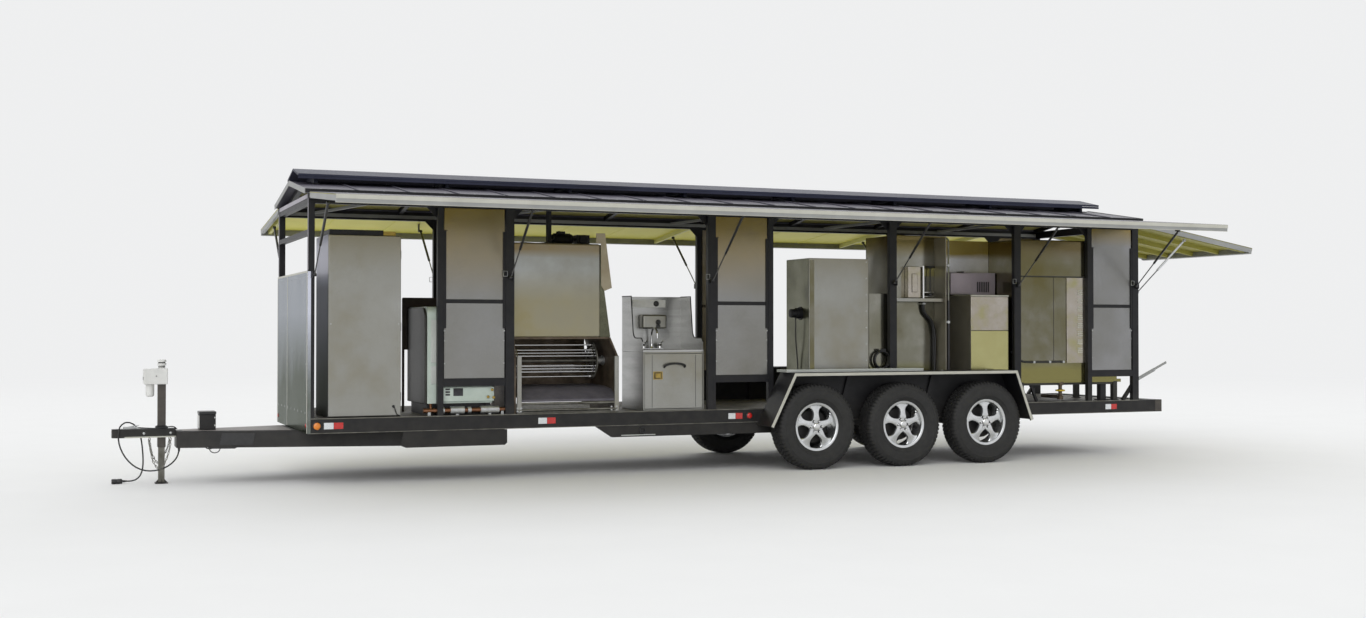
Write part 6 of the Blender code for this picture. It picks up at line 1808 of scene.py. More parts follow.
# %% Tank body, doors and column
def make_tank():
    """Build the tank with its legs, doors, slotted column, painted seam shadows and clipped hose."""
    low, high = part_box("rear_tank")
    start, end, bottom = low.x - FRONT, high.x - FRONT, 0.75
    face = low.y
    blocks("tank_body", tank_steel, (start, end, face, high.y, bottom, high.z), edge=0.014,
           stands_for=("rear_tank",))
    shape = bmesh.new()
    for x in (start + 0.001, end - 0.051):
        for y in (face + 0.001, high.y - 0.051):
            box_in(shape, (at(x), y, low.z), (at(x) + 0.05, y + 0.05, bottom + 0.001))
            box_in(shape, (at(x) - 0.012, y - 0.010, low.z), (at(x) + 0.062, y + 0.060, low.z + 0.007))
    block_in(shape, start + 0.05, end - 0.05, face + 0.012, face + 0.030, bottom - 0.03, bottom)
    piece("tank_legs", shape, dark_steel)
    blocks("tank_doors", tank_steel,
           *[(left, right, face - 0.006, face + 0.001, 0.965, 1.80)
             for left, right in ((start + 0.012, 7.344), (7.350, 7.496))], edge=0.0025)
    blocks("tank_column", blush_steel, (7.503, 7.732, face - 0.012, face + 0.001, 0.94, 1.80), edge=0.003)
    shape = bmesh.new()
    for group in range(8):
        for step in range(3):
            z = 1.045 + group * 0.083 + step * 0.019
            block_in(shape, 7.634, 7.694, face - 0.015, face - 0.011, z, z + 0.010)
    piece("tank_column_slots", shape, trim_cream, edge=0.0005)
    # Black strips along the header, the column's edge and the door gap are painted shadow lines.
    blocks("tank_seam_shadows", hose_black, (start + 0.01, 7.76, face - 0.016, face + 0.001, 1.802, 1.812),
           (7.734, 7.758, face - 0.008, face + 0.001, 0.93, 1.80),
           (7.3435, 7.3505, face - 0.003, face + 0.001, 0.965, 1.80), edge=0.0006)
    routed("tank_hose",
           [(6.86, face + 0.03, 1.06), (6.915, face + 0.005, 0.99), (6.99, face - 0.014, 0.957),
            (7.12, face - 0.014, 0.953), (7.30, face - 0.014, 0.953), (7.47, face - 0.014, 0.953)], 6, 0.010,
           hose_black)
    blocks("tank_hose_clips", zinc,
           *[(place - 0.012, place + 0.012, face - 0.026, face + 0.001, 0.941, 0.966)
             for place in (7.10, 7.29, 7.455)], edge=0.003)
    back_cover("tank", start, end, high.y, bottom, high.z, tank_steel, 6)


def make_tank_pipes():
    """Build the drain pipe with its yellow valve, the tray and the pedestal."""
    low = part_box("rear_tank")[0]
    start = low.x - FRONT
    y, z, place = low.y + 0.03, 0.665, 7.45
    shape = bmesh.new()
    drain = [(0.0, -0.09), (0.030, -0.09), (0.030, -0.055), (0.019, -0.05), (0.019, -0.012), (0.034, -0.008),
             (0.034, 0.008), (0.019, 0.014), (0.019, 0.05), (0.034, 0.055), (0.034, 0.086), (0.0, 0.086)]
    turned_in(shape, drain, Matrix.Translation((at(place), y, z)), 24)
    rod_in(shape, (at(place), y, 0.60), (at(place), y + 0.30, 0.60), 0.017, 18)
    piece("tank_drain", shape, burnt_steel, edge=0.001)
    shape = bmesh.new()
    turned_in(shape, [(0.020, -0.010), (0.046, -0.008), (0.050, 0.0), (0.046, 0.008), (0.020, 0.010),
                      (0.020, -0.010)],
              Matrix.Translation((at(place), y, z)), 8)
    piece("tank_valve", shape, valve_yellow, edge=0.001)
    blocks("tank_tray", tank_steel, (start + 0.01, 8.187, low.y + 0.004, low.y + 0.25, 0.742, 0.752),
           (start + 0.01, 8.187, low.y + 0.002, low.y + 0.006, 0.742, 0.775), edge=0.002)
    shape = bmesh.new()
    block_in(shape, 7.951, 8.020, low.y + 0.03, low.y + 0.09, DECK_TOP, 0.743)
    block_in(shape, 7.93, 8.04, low.y + 0.01, low.y + 0.11, DECK_TOP, DECK_TOP + 0.012)
    bar_in(shape, (at(7.09), low.y + 0.04, 0.742), (at(7.17), low.y + 0.04, 0.56), 0.025, 0.025)
    piece("tank_pedestal", shape, frame_black)


make_tank()
make_tank_pipes()

# %% [markdown]
# ## The roof
#
# The roof sheet is folded over a low ridge, and a raised gloss cap runs along it. Standing seams, a drip
# edge and bolts along the sheet, and lips and brackets on the cap, are what the plain solids lack.

# %% Seams, drip edges and the cap's brackets
ROOF_EDGE_Y, ROOF_EDGE_UNDER, RIDGE_UNDER, ROOF_THICK = 0.885, 2.388, 2.53, 0.022
ROOF_START, ROOF_END = -0.03, 8.40
CAP_HALF, CAP_END = 0.31, 8.30
CAP_EDGE = 2.5475


def roof_top(across):
    """Height of the roof sheet's top at a distance from the middle."""
    return RIDGE_UNDER + ROOF_THICK - (RIDGE_UNDER - ROOF_EDGE_UNDER) * abs(across) / ROOF_EDGE_Y


def make_roof_details():
    """Add standing seams, drip edges, end trims and bolts."""
    shape = bmesh.new()
    for step in range(1, 20):
        place = ROOF_START + (ROOF_END - ROOF_START) * step / 20
        for side in (-1, 1):
            bar_in(shape, (at(place), side * 0.004, roof_top(0) + 0.004), (at(place), side * 0.882,
                   roof_top(0.882) + 0.004), 0.012, 0.012)
    piece("roof_seams", shape, roof_paint)
    shape = bmesh.new()
    for side in (-1, 1):
        y = side * ROOF_EDGE_Y
        box_in(shape, (at(ROOF_START), y, ROOF_EDGE_UNDER - 0.004),
               (at(ROOF_END), y + side * 0.003, roof_top(0.885)))
        box_in(shape, (at(ROOF_START), y - side * 0.03, roof_top(0.87) - 0.002),
               (at(ROOF_END), y, roof_top(0.87) + 0.003))
    piece("roof_drip_edges", shape, frame_black)
    shape = bmesh.new()
    for side in (-1, 1):
        for x in (ROOF_START - 0.002, ROOF_END + 0.002):
            bar_in(shape, (at(x), 0, roof_top(0) - 0.016), (at(x), side * 0.884, roof_top(0.884) - 0.016),
                   0.005, 0.044)
    piece("roof_end_trim", shape, trim_grey, edge=0.001)
    shape = bmesh.new()
    for side in (-1, 1):
        for step in range(33):
            place = 0.1 + step * 0.256
            turned_in(shape, [(0.009, 0), (0.009, 0.002), (0.005, 0.006), (0, 0.0065)],
                      Matrix.Translation((at(place), side * 0.845, roof_top(0.845))), 10)
    piece("roof_bolts", shape, zinc, edge=0)


def make_cap_details():
    """Give the cap its side lips and the brackets that hold it."""
    boxes("cap_lips", ridge_gloss,
          *[((at(0.0), side * CAP_HALF, CAP_EDGE + 0.026),
             (at(CAP_END), side * (CAP_HALF - 0.004), CAP_EDGE + 0.005))
            for side in (-1, 1)])
    shape = bmesh.new()
    for side in (-1, 1):
        for step in range(8):
            place = 0.16 + step * 1.14
            bar_in(shape, (at(place), side * 0.20, roof_top(0.2) + 0.003), (at(place), side * 0.285,
                   roof_top(0.285) + 0.010), 0.05, 0.006)
            turned_in(shape, [(0.008, 0), (0.008, 0.004), (0, 0.007)],
                      Matrix.Translation((at(place), side * 0.26, roof_top(0.26) + 0.006)), 10)
    piece("cap_brackets", shape, frame_black)


make_roof_details()
make_cap_details()
print("roof ridge at", round(roof_top(0), 3))

# %% Eave details and roof braces
def make_eaves():
    """Add the eave's inner trim, corner gussets, and the braces and conduit under the roof."""
    shape = bmesh.new()
    for side in (-1, 1):
        y = side * (HALF_WIDTH - 0.052)
        box_in(shape, (at(0.06), y, EAVE_LOW + 0.018),
               (at(DECK_LENGTH - 0.06), y - side * 0.004, EAVE_LOW + 0.05))
    piece("eave_trim", shape, trim_grey)
    shape = bmesh.new()
    for side in (NEAR, FAR):
        for middle, width in posts(side)[1:-1]:
            for lean in (-1, 1):
                foot = at(middle) + lean * width / 2
                corner = [(foot, side * 0.806, EAVE_LOW + 0.002), (foot, side * 0.806, EAVE_LOW - 0.085),
                          (foot + lean * 0.085, side * 0.806, EAVE_LOW + 0.002)]
                outline_in(shape, corner, (0, -side * 0.005, 0))
    piece("eave_gussets", shape, frame_black)
    shape = bmesh.new()
    for start, end in ((1.85, 2.75), (3.85, 4.75), (5.6, 6.5), (7.0, 7.8), (0.3, 1.0)):
        bar_in(shape, (at(start), -0.79, 2.345), (at(end), 0.0, 2.455), 0.025, 0.025)
        bar_in(shape, (at(start), 0.79, 2.345), (at(end), 0.0, 2.455), 0.025, 0.025)
    piece("roof_braces", shape, trim_grey)
    shape = bmesh.new()
    for side in (-1, 1):
        for step in range(17):
            low = 0.10 + step * 0.48
            box_in(shape, (at(low), side * 0.30, 2.443), (at(low + 0.44), side * 0.34, 2.452))
    piece("roof_conduit", shape, trim_grey)


def make_ceiling():
    """Lay the pale sheet under the rafters' bays, where the roof's underside shows."""
    shape = bmesh.new()
    for side in (-1, 1):
        slope = [(side * 0.004, 2.5265), (side * 0.795, 2.4005), (side * 0.795, 2.3985),
                 (side * 0.004, 2.5245)]
        outline_in(shape, [(at(0.06), y, z) for y, z in slope], (DECK_LENGTH - 0.12, 0, 0))
    piece("roof_ceiling", shape, roof_under, edge=0)


make_eaves()
make_ceiling()
print("eave underside at", EAVE_LOW)

# %% [markdown]
# ## The nose
#
# The front is closed by a stainless sheet up to chest height, folded round the corner posts. A vertical
# seam, a pale edge strip and rows of bolts show how it is held.

# %% Nose panel details
def make_nose():
    """Build the nose sheet with its seam, edge strips, bolts and the painted highlights on the front faces of
    the bars above.
    """
    low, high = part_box("nose_panel")
    shape = bmesh.new()
    box_in(shape, (low.x, low.y, low.z), (low.x + 0.006, high.y, high.z))
    for side in (-1, 1):
        y = side * high.y
        box_in(shape, (low.x, y, low.z), (high.x, y - side * 0.006, high.z))
    piece("nose_sheet", shape, nose_steel, edge=0.0028, stands_for=("nose_panel",))
    shape = bmesh.new()
    box_in(shape, (low.x - 0.0014, 0.24, low.z + 0.004), (low.x + 0.001, 0.255, high.z - 0.002))
    for side in (-1, 1):
        y = side * high.y
        box_in(shape, (low.x - 0.0012, y, low.z + 0.003), (low.x + 0.001, y - side * 0.022, high.z - 0.003))
    box_in(shape, (low.x - 0.002, low.y + 0.02, high.z - 0.012),
           (low.x + 0.012, high.y - 0.02, high.z + 0.004))
    piece("nose_strips", shape, trim_cream, edge=0.0006)
    shape = bmesh.new()
    for step in range(9):
        y = low.y + 0.09 + step * (high.y - low.y - 0.18) / 8
        screws_in(shape, [(low.x, y, 0.60)], (-1, 0, 0), 0.0105)
        screws_in(shape, [(low.x, y, 1.70)], (-1, 0, 0), 0.007)
    for side in (-1, 1):
        for z in (0.75, 1.0, 1.25, 1.5):
            screws_in(shape, [(low.x, side * 0.80, z)], (-1, 0, 0), 0.007)
    piece("nose_bolts", shape, zinc, edge=0)
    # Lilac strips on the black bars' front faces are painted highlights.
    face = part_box("side_frame_near")[0].x
    boxes("nose_bar_highlights", lilac_highlight,
          ((face - 0.0012, -0.80, EAVE_TOP - 0.036), (face + 0.001, 0.80, EAVE_TOP - 0.002)),
          *[((face - 0.0012, side * HALF_WIDTH, high.z + 0.01),
             (face + 0.001, side * (HALF_WIDTH - 0.016), EAVE_TOP - 0.04))
            for side in (-1, 1)], edge=0.0005)


make_nose()

# %% [markdown]
# ## Rails, lamps and tape
#
# The long side rails carry amber and red lamps, red and white reflective tape, gusset plates over the
# tongue beams and a socket on a bracket. Each lamp is a low dome on a rubber ring. The tape is a thin strip
# with a fine pattern.

# %% Lamps and tape along the rails
RAIL_Z = (RAIL_LOW + DECK_TOP) / 2
LAMPS = {NEAR: ((0.074, "amber", 0.030), (3.945, "red", 0.027)),
         FAR: ((0.074, "amber", 0.030), (3.925, "red", 0.022))}
TAPES = ((0.130, 0.285), (1.942, 2.097), (3.735, 3.875), (7.945, 8.085))


def make_lamp(name, spot, facing, radius, glass):
    """Put one round lamp with its rubber ring on a face."""
    turn = Matrix.Translation(spot) @ Vector(facing).to_track_quat("Z", "Y").to_matrix().to_4x4()
    shape = bmesh.new()
    turned_in(shape, [(radius * 1.2, -0.002), (radius * 1.22, 0.004), (radius * 1.05, 0.008), (radius, 0.008),
                      (radius, 0.002)], turn, 28)
    piece(name + "_ring", shape, hose_black, edge=0)
    shape = bmesh.new()
    dome = [(radius * cos(pi / 2 * step / 6), 0.004 + radius * 0.42 * sin(pi / 2 * step / 6))
            for step in range(7)]
    turned_in(shape, [(radius, 0.0)] + dome, turn, 28)
    piece(name, shape, glass, edge=0)


def make_rail_marks(side, word):
    """Put lamps and tape on one side rail."""
    face = side * HALF_WIDTH
    for number, (place, tint, radius) in enumerate(LAMPS[side], 1):
        glass = lamp_amber if tint == "amber" else lamp_red
        make_lamp(f"lamp_{word}_{number}", (at(place), face, RAIL_Z), (0, side, 0), radius, glass)
    shape, red = bmesh.new(), bmesh.new()
    for start, end in TAPES:
        middle = (start + end) / 2
        box_in(shape, (at(start), face, RAIL_Z - 0.026),
               (at(middle) - 0.001, face + side * 0.0012, RAIL_Z + 0.026))
        box_in(red, (at(middle) + 0.001, face, RAIL_Z - 0.026),
               (at(end), face + side * 0.0012, RAIL_Z + 0.026))
    piece(f"tape_{word}_silver", shape, tape_silver, edge=0)
    piece(f"tape_{word}_red", red, lamp_red, edge=0)


for side, word in SIDES:
    make_rail_marks(side, word)
make_lamp("lamp_nose_near", (at(-0.0005), -0.80, 0.499), (-1, 0, 0), 0.020, lamp_red)
make_lamp("lamp_nose_far", (at(-0.0005), 0.80, 0.499), (-1, 0, 0), 0.020, lamp_red)
for number, y in enumerate((-0.60, -0.15, 0.0, 0.15, 0.60), 1):
    make_lamp(f"lamp_tail_{number}", (at(RAIL_END), y, RAIL_Z), (1, 0, 0), 0.045 if abs(y) > 0.5
              else 0.02, lamp_red)
print("lamps a side:", len(LAMPS[NEAR]), "tapes:", len(TAPES))

# %% Gusset plates, deck edge and the socket bracket
def make_rail_plates():
    """Add the gussets where the tongue beams meet the rails, the deck edging and small tabs."""
    shape = bmesh.new()
    for side in (-1, 1):
        y = side * (HALF_WIDTH + 0.0002)
        gusset = [(at(0.78), y, 0.431), (at(0.752), y, 0.318), (at(0.80), y, 0.2985), (at(1.645), y, 0.2985),
                  (at(1.665), y, 0.318), (at(1.665), y, 0.431)]
        outline_in(shape, gusset, (0, side * 0.006, 0))
    piece("rail_gussets", shape, frame_black)
    shape = bmesh.new()
    for side in (-1, 1):
        y = side * HALF_WIDTH
        box_in(shape, (at(0.0), y, DECK_TOP - 0.006), (at(DECK_LENGTH), y + side * 0.003, DECK_TOP + 0.002))
        box_in(shape, (at(0.0), y, RAIL_LOW), (at(RAIL_END - 0.1), y + side * 0.002, RAIL_LOW + 0.006))
    piece("deck_edging", shape, worn_steel, edge=0.0008)
    shape = bmesh.new()
    for side in (-1, 1):
        for place in (0.6, 1.9, 3.0, 7.5, 8.2):
            box_in(shape, (at(place) - 0.03, side * (HALF_WIDTH - 0.004), RAIL_LOW + 0.004),
                   (at(place) + 0.03, side * (HALF_WIDTH + 0.003), RAIL_LOW + 0.016))
    block_in(shape, RAIL_END - 0.004, RAIL_END + 0.001, -HALF_WIDTH, -HALF_WIDTH + 0.04, RAIL_LOW + 0.01,
             DECK_TOP - 0.01)
    piece("rail_tabs", shape, frame_black)


def make_socket_bracket():
    """Hang the pale bracket with its round socket under the near rail."""
    blocks("socket_bracket", cream_grey, (2.70, 3.02, -0.835, -0.815, 0.345, RAIL_LOW),
           (2.70, 3.02, -0.86, -0.80, 0.345, 0.353), edge=0.002)
    shape = bmesh.new()
    turn = turned((at(2.90), -0.835, 0.390), "X")
    turned_in(shape, [(0.034, -0.002), (0.034, 0.010), (0.028, 0.016), (0.028, 0.026), (0.020, 0.026),
                      (0.020, 0.008),
                      (0, 0.008)], turn, 28)
    piece("socket", shape, hose_black, edge=0)
    routed("socket_lead",
           [(2.90, -0.80, 0.39), (2.95, -0.74, 0.38), (3.1, -0.72, 0.415), (3.4, -0.72, 0.425),
            (3.8, -0.72, 0.425)], 6, 0.007, hose_black)


make_rail_plates()
make_socket_bracket()
print("rail from", round(RAIL_LOW, 3), "to", round(DECK_TOP, 3))

# %% [markdown]
# ## The tongue
#
# Two converging beams carry the coupler, a jack with a white motor head, a small black box and a tread
# plate. Safety chains hang beside the coupler. The chain is made of real links, each turned a quarter from
# the one before.

# %% Coupler, beams and box
COUPLER_FRONT, COUPLER_BACK, COUPLER_HALF = -1.45, -0.95, 0.05
COUPLER_LOW, COUPLER_TOP = 0.385, 0.457


def make_coupler():
    """Build the coupler's socket, its latch and the channel behind it."""
    shape = bmesh.new()
    half = COUPLER_HALF
    top = [(at(COUPLER_FRONT + 0.012), -0.030), (at(COUPLER_FRONT + 0.001), -0.012),
           (at(COUPLER_FRONT + 0.001), 0.012),
           (at(COUPLER_FRONT + 0.012), 0.030), (at(COUPLER_FRONT + 0.05), half), (at(COUPLER_BACK), half),
           (at(COUPLER_BACK), -half), (at(COUPLER_FRONT + 0.05), -half)]
    outline_in(shape, [(x, y, COUPLER_TOP - 0.008) for x, y in top], (0, 0, 0.008))
    for side in (-1, 1):
        y = side * half
        box_in(shape, (at(COUPLER_FRONT + 0.045), y, COUPLER_LOW),
               (at(COUPLER_BACK), y - side * 0.008, COUPLER_TOP - 0.004))
    cup = Matrix.Translation((at(COUPLER_FRONT + 0.05), 0, COUPLER_LOW))
    turned_in(shape,
              [(0.030, 0.0), (0.048, 0.0), (0.0495, 0.008), (0.0495, 0.062), (0.030, 0.071), (0, 0.0715),
               (0, 0.060), (0.026, 0.052), (0.030, 0.03), (0.030, 0.0)], cup, 32)
    piece("coupler_body", shape, frame_black, edge=0.002, stands_for=("coupler",))
    shape = bmesh.new()
    block_in(shape, -1.36, -1.24, -0.014, 0.014, COUPLER_TOP - 0.001, COUPLER_TOP + 0.018)
    rod_in(shape, (at(-1.27), -0.022, COUPLER_TOP + 0.010), (at(-1.27), 0.022, COUPLER_TOP + 0.010), 0.006,
           12)
    bar_in(shape, (at(-1.345), 0, COUPLER_TOP + 0.012), (at(-1.235), 0, COUPLER_TOP + 0.030), 0.016, 0.006)
    piece("coupler_latch", shape, zinc, edge=0.001)
    boxes("coupler_strips", trim_cream,
          ((at(COUPLER_FRONT + 0.10), -half - 0.0012, COUPLER_LOW - 0.001),
           (at(COUPLER_BACK + 0.02), -half + 0.001, COUPLER_LOW + 0.010)),
          ((at(COUPLER_FRONT + 0.10), half - 0.001, COUPLER_LOW - 0.001),
           (at(COUPLER_BACK + 0.02), half + 0.0012, COUPLER_LOW + 0.010)), edge=0.0005)
    shape = bmesh.new()
    for x in (-1.20, -0.99):
        screws_in(shape, [(at(x), -half, 0.42)], (0, -1, 0), 0.010)
        screws_in(shape, [(at(x), half, 0.42)], (0, 1, 0), 0.010)
    piece("coupler_bolts", shape, zinc, edge=0)


def make_tongue_box():
    """Build the small black box with its lid and pale latches, and the tread plate under it."""
    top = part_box("tongue_frame")[1].z
    blocks("tongue_box_body", frame_black, (-0.765, -0.635, -0.085, 0.085, 0.4405, top - 0.026), edge=0.004)
    blocks("tongue_box_lid", hose_black, (-0.768, -0.632, -0.088, 0.088, top - 0.024, top + 0.0008),
           edge=0.003)
    boxes("tongue_box_latches", label_blank, ((at(-0.769), -0.072, 0.452), (at(-0.764), 0.072, top - 0.034)),
          *[((at(-0.647), -0.0885, z - 0.006), (at(-0.638), -0.084, z + 0.006))
            for z in (top - 0.05, 0.475)], edge=0.001)
    shape = bmesh.new()
    plate = [(at(-0.90), -0.10), (at(-0.05), -0.335), (at(-0.05), 0.335), (at(-0.90), 0.10)]
    outline_in(shape, [(x, y, 0.4358) for x, y in plate], (0, 0, 0.0022))
    piece("tongue_tread", shape, tongue_grey, edge=0.0006)


def beam_y(place):
    """Middle line of a tongue beam at a place along it."""
    return 0.105 + (place + 0.95) * (0.825 - 0.105) / (1.645 + 0.95)


def make_beam_details():
    """Add the dark plates, the ring and the small tabs on the tongue beams."""
    shape = bmesh.new()
    for side in (-1, 1):
        for start, end, low, high, thick in ((-0.62, -0.36, 0.318, 0.418, 0.003),
                                             (-0.72, -0.50, 0.289, 0.3, 0.006)):
            out = 0.0255
            points = [(start, low), (end, low), (end + 0.02, high), (start + 0.02, high)]
            outline = [(at(x), side * (beam_y(x) + out + 0.001), z) for x, z in points]
            outline_in(shape, outline, (0, side * thick, 0))
    piece("beam_plates", shape, hose_black, edge=0.001)
    for side, word in SIDES:
        line = [Vector((at(-0.655 + 0.042 * cos(turn)), side * (beam_y(-0.655) + 0.03),
                        0.292 + 0.036 * sin(turn)))
                for turn in (pi + pi * step / 12 for step in range(13))]
        wire(f"beam_ring_{word}", line, 0.004, hose_black)
    shape = bmesh.new()
    for side in (-1, 1):
        for start in (-0.80, -0.30, 0.2, 0.7):
            x = start + 0.1
            box_in(shape, (at(x) - 0.012, side * (beam_y(x) + 0.020), 0.30),
                   (at(x) + 0.012, side * (beam_y(x) + 0.030), 0.308))
    piece("beam_tabs", shape, frame_black)


make_coupler()
make_tongue_box()
make_beam_details()
print("coupler top", COUPLER_TOP)

# %% The jack
JACK_PLACE = -1.06


def make_jack():
    """Build the jack's post, collar, white head with its cap, motor and foot."""
    blocks("jack_post", post_brown, (JACK_PLACE - 0.032, JACK_PLACE + 0.032, -0.032, 0.032, 0.30, 0.825),
           edge=0.005, stands_for=("jack_tube",))
    shape = bmesh.new()
    block_in(shape, JACK_PLACE - 0.048, JACK_PLACE + 0.048, -0.048, 0.048, 0.4575, 0.4695)
    block_in(shape, JACK_PLACE - 0.036, JACK_PLACE + 0.036, -0.036, 0.036, 0.4695, 0.482)
    for x in (-0.038, 0.038):
        for y in (-0.038, 0.038):
            turned_in(shape, [(0.008, 0), (0.008, 0.006), (0, 0.006)],
                      Matrix.Translation((at(JACK_PLACE + x), y, 0.4695)), 6)
    piece("jack_collar", shape, frame_black)
    shape = bmesh.new()
    head = [(-0.145, 0.832), (-0.145, 0.951), (0.045, 0.957), (0.045, 0.823), (-0.137, 0.823)]
    outline_in(shape, [(at(JACK_PLACE + x), -0.055, z) for x, z in head], (0, 0.11, 0))
    piece("jack_head", shape, jack_white, edge=0.006)
    shape = bmesh.new()
    cap = Matrix.Translation((at(JACK_PLACE), 0, 0))
    turned_in(shape, [(0.024, 0.953), (0.026, 0.958), (0.026, 0.978), (0.036, 0.980), (0.036, 0.996),
                      (0.026, 0.998),
                      (0.026, 1.006), (0.036, 1.008), (0.036, 1.022), (0.030, 1.028), (0, 1.029)], cap, 28)
    piece("jack_cap", shape, jack_white, edge=0)
    shape = bmesh.new()
    for low in (0.964, 0.9985):
        turned_in(shape, [(0.025, low), (0.0285, low), (0.0285, low + 0.007), (0.025, low + 0.007)], cap, 28)
    piece("jack_cap_rings", shape, hose_black, edge=0)
    shape = bmesh.new()
    turned_in(shape, [(0, 0.7205), (0.022, 0.7205), (0.031, 0.727), (0.034, 0.737), (0.034, 0.815),
                      (0.030, 0.824),
                      (0, 0.824)], Matrix.Translation((at(JACK_PLACE - 0.092), 0, 0)), 28)
    piece("jack_motor", shape, jack_white, edge=0)
    shape = bmesh.new()
    box_in(shape, (at(JACK_PLACE - 0.147), -0.02, 0.86), (at(JACK_PLACE - 0.144), 0.02, 0.885))
    rod_in(shape, (at(JACK_PLACE - 0.045), -0.054, 0.892), (at(JACK_PLACE - 0.045), -0.058, 0.892), 0.005, 16)
    piece("jack_switches", shape, hose_black, edge=0.001)
    low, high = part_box("jack_leg")
    blocks("jack_inner_leg", worn_steel,
           (JACK_PLACE - 0.025, JACK_PLACE + 0.025, -0.025, 0.025, low.z + 0.010, high.z), body="jack_foot",
           edge=0.003, stands_for=("jack_leg",))
    shape = bmesh.new()
    block_in(shape, JACK_PLACE - 0.05, JACK_PLACE + 0.05, -0.05, 0.05, low.z, low.z + 0.010)
    for turn in range(4):
        spin = Matrix.Translation((at(JACK_PLACE), 0, 0)) @ Matrix.Rotation(pi / 2 * turn, 4, "Z")
        rib = [spin @ Vector(point) for point in ((0.025, -0.002, 0.010), (0.046, -0.002, 0.010),
                                                  (0.025, -0.002, 0.035))]
        outline_in(shape, rib, spin.to_3x3() @ Vector((0, 0.004, 0)))
    piece("jack_foot_plate", shape, frame_black, "jack_foot", 0.0015)


make_jack()
print("jack at", JACK_PLACE)

# %% Safety chains and tied wires
LINK_LONG, LINK_WIDE, LINK_WIRE = 0.030, 0.017, 0.0028
LINK_STEPS = 14


def link_in(shape, middle, along, quarter):
    """Add one oval chain link."""
    turn = along.to_track_quat("X", "Z").to_matrix().to_4x4() @ Matrix.Rotation(quarter, 4, "X")
    place = Matrix.Translation(middle) @ turn
    rings = []
    for step in range(LINK_STEPS):
        angle = 2 * pi * step / LINK_STEPS
        straight = (LINK_LONG - LINK_WIDE) / 2 * (1 if cos(angle) > 0 else -1)
        radius = LINK_WIDE / 2 - LINK_WIRE
        centre = Vector((straight + radius * cos(angle), radius * sin(angle), 0))
        out = Vector((cos(angle), sin(angle), 0))
        ring = [centre + out * LINK_WIRE * cos(side) + Vector((0, 0, LINK_WIRE * sin(side)))
                for side in (0, pi / 3, 2 * pi / 3, pi, 4 * pi / 3, 5 * pi / 3)]
        rings.append([shape.verts.new(place @ point) for point in ring])
    for number, ring in enumerate(rings):
        after = rings[(number + 1) % len(rings)]
        for step in range(6):
            shape.faces.new((ring[step], after[step], after[(step + 1) % 6], ring[(step + 1) % 6]))


def make_chain(name, points):
    """Hang a chain along a smooth route, link by link."""
    line = smooth_route([(at(x), y, z) for x, y, z in points], 14)
    shape = bmesh.new()
    pitch, walked, count = LINK_LONG - LINK_WIRE * 2.4, 0.0, 0
    for first, second in zip(line, line[1:]):
        walked += (second - first).length
        if walked >= pitch:
            link_in(shape, second, (second - first).normalized(), pi / 2 * (count % 2))
            walked -= pitch
            count += 1
    piece(name, shape, worn_steel, edge=0)
    return count


chain_links = make_chain("safety_chain_near",
                         [(-0.99, -0.062, 0.395), (-1.00, -0.085, 0.30), (-1.03, -0.10, 0.20),
                                               (-1.075, -0.105, 0.125), (-1.125, -0.10, 0.18),
                                               (-1.15, -0.088, 0.28),
                                               (-1.165, -0.064, 0.375)])
chain_links += make_chain("safety_chain_far",
                          [(-0.99, 0.062, 0.395), (-1.00, 0.085, 0.31), (-1.03, 0.10, 0.23),
                                               (-1.075, 0.105, 0.16), (-1.12, 0.10, 0.22),
                                               (-1.14, 0.088, 0.30),
                                               (-1.15, 0.064, 0.375)])
routed("tied_wires",
       [(-0.94, -0.02, 0.45), (-0.98, -0.04, 0.472), (-1.10, -0.052, 0.4605), (-1.20, -0.03, 0.4645),
        (-1.26, 0.02, 0.4645), (-1.30, 0.052, 0.44), (-1.24, 0.056, 0.40), (-1.10, 0.057, 0.395)], 6, 0.0045,
       hose_black)
print("chain links:", chain_links)

# %% [markdown]
# ## Deck, rear and far side
#
# The deck is tread plate, so raised bars are laid over its open half. The rear gets its diagonal braces,
# its two folded tail arms and red tape. The far side is guessed from the near one and gets the same level
# of detail.

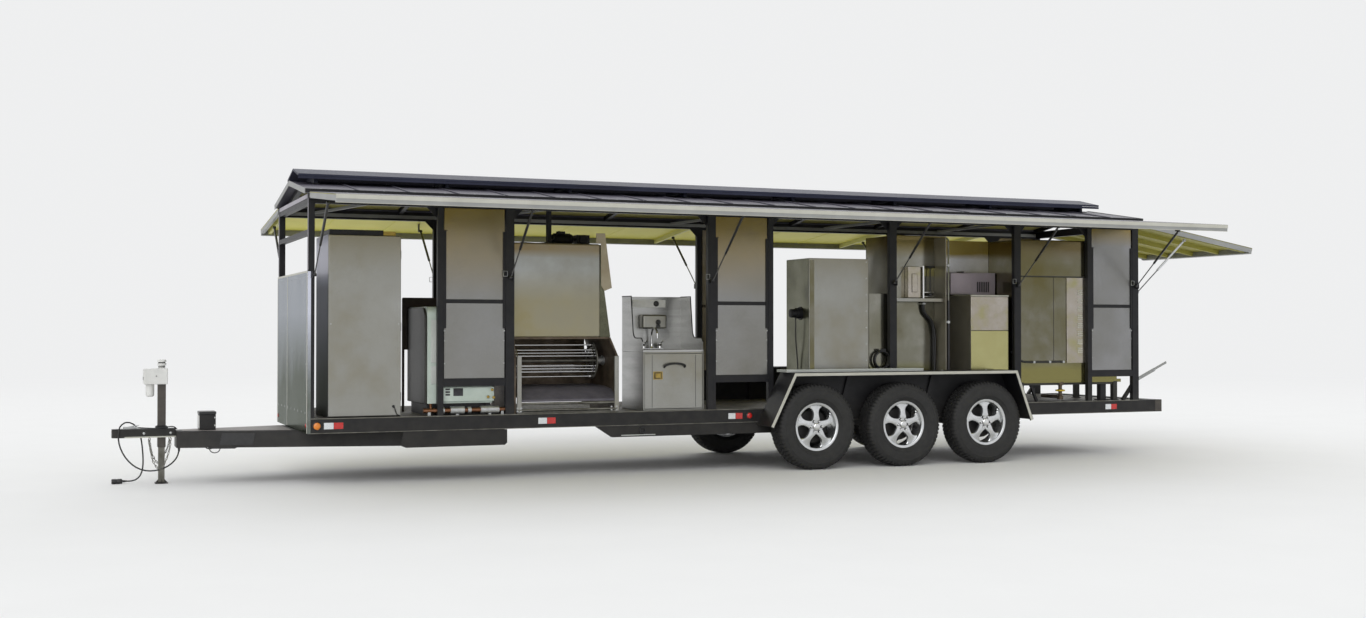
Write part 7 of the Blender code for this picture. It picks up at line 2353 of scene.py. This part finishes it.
# %% Tread plate, rear braces and far-side strips
def make_tread():
    """Lay raised bars on the deck, in the usual crossed pattern."""
    shape = bmesh.new()
    pitch = 0.045
    for row in range(int((HALF_WIDTH * 2 - 0.12) / pitch)):
        y = -HALF_WIDTH + 0.06 + row * pitch
        if y < -0.10:
            continue
        for column in range(int((DECK_LENGTH - 0.1) / pitch)):
            x = at(0.05 + column * pitch)
            lean = 1 if (row + column) % 2 else -1
            half = Vector((0.013, 0.008 * lean, 0))
            corners = [Vector((x, y, 0)) - half, Vector((x, y - 0.003 * lean, 0)), Vector((x, y, 0)) + half,
                       Vector((x, y + 0.003 * lean, 0))]
            low = [shape.verts.new((corner.x, corner.y, DECK_TOP)) for corner in corners]
            peak = shape.verts.new((x, y, DECK_TOP + 0.0022))
            for number in range(4):
                shape.faces.new((low[number], low[(number + 1) % 4], peak))
    piece("deck_tread_bars", shape, deck_tread, edge=0)


def make_rear():
    """Build the rear braces, the tail arms with their pins, and the bumper's plates and tape."""
    shape = bmesh.new()
    for side in (-1, 1):
        bar_in(shape, (at(8.20), side * 0.80, 0.556), (at(8.375), side * 0.80, 0.775), 0.035, 0.03)
    piece("rear_braces", shape, frame_black)
    shape = bmesh.new()
    for side in (-1, 1):
        bar_in(shape, (at(8.385), side * 0.815, 0.770), (at(8.60), side * 0.815, 0.866), 0.012, 0.032)
        bar_in(shape, (at(8.56), side * 0.805, 0.848), (at(8.76), side * 0.805, 0.938), 0.010, 0.022)
    piece("rear_arms", shape, trim_grey, edge=0.001)
    shape = bmesh.new()
    for side in (-1, 1):
        for along in (8.400, 8.585):
            z = 0.776 if along < 8.5 else 0.858
            rod_in(shape, (at(along), side * 0.79, z), (at(along), side * 0.826, z), 0.011, 14)
    piece("rear_arm_pins", shape, zinc, edge=0.001)
    boxes("bumper_plates", post_brown,
          *[((at(8.575), side * HALF_WIDTH, RAIL_LOW + 0.006),
             (at(RAIL_END - 0.004), side * (HALF_WIDTH + 0.002), DECK_TOP - 0.006))
            for side in (-1, 1)], edge=0.001)
    blocks("rear_tape", lamp_red,
           *[(RAIL_END, RAIL_END + 0.0012, start, end, RAIL_LOW + 0.020, RAIL_LOW + 0.045)
             for start, end in ((-0.80, -0.66), (-0.50, -0.20), (0.20, 0.50), (0.66, 0.80))], edge=0)


def make_far_strips():
    """Add the tan cover strip and the low plates that show through the open bays."""
    blocks("far_cover_strip", tan_paint, (4.205, 4.27, 0.80, 0.806, 0.86, 2.29), edge=0.002)
    blocks("far_kick_plates", worn_steel,
           *[(place, place + 0.30, 0.78, 0.80, DECK_TOP, DECK_TOP + 0.10) for place in (2.9, 3.4, 5.4, 5.9)],
           edge=0.002)


make_tread()
make_rear()
make_far_strips()
print("deck tread laid over", round(DECK_LENGTH, 2), "m")
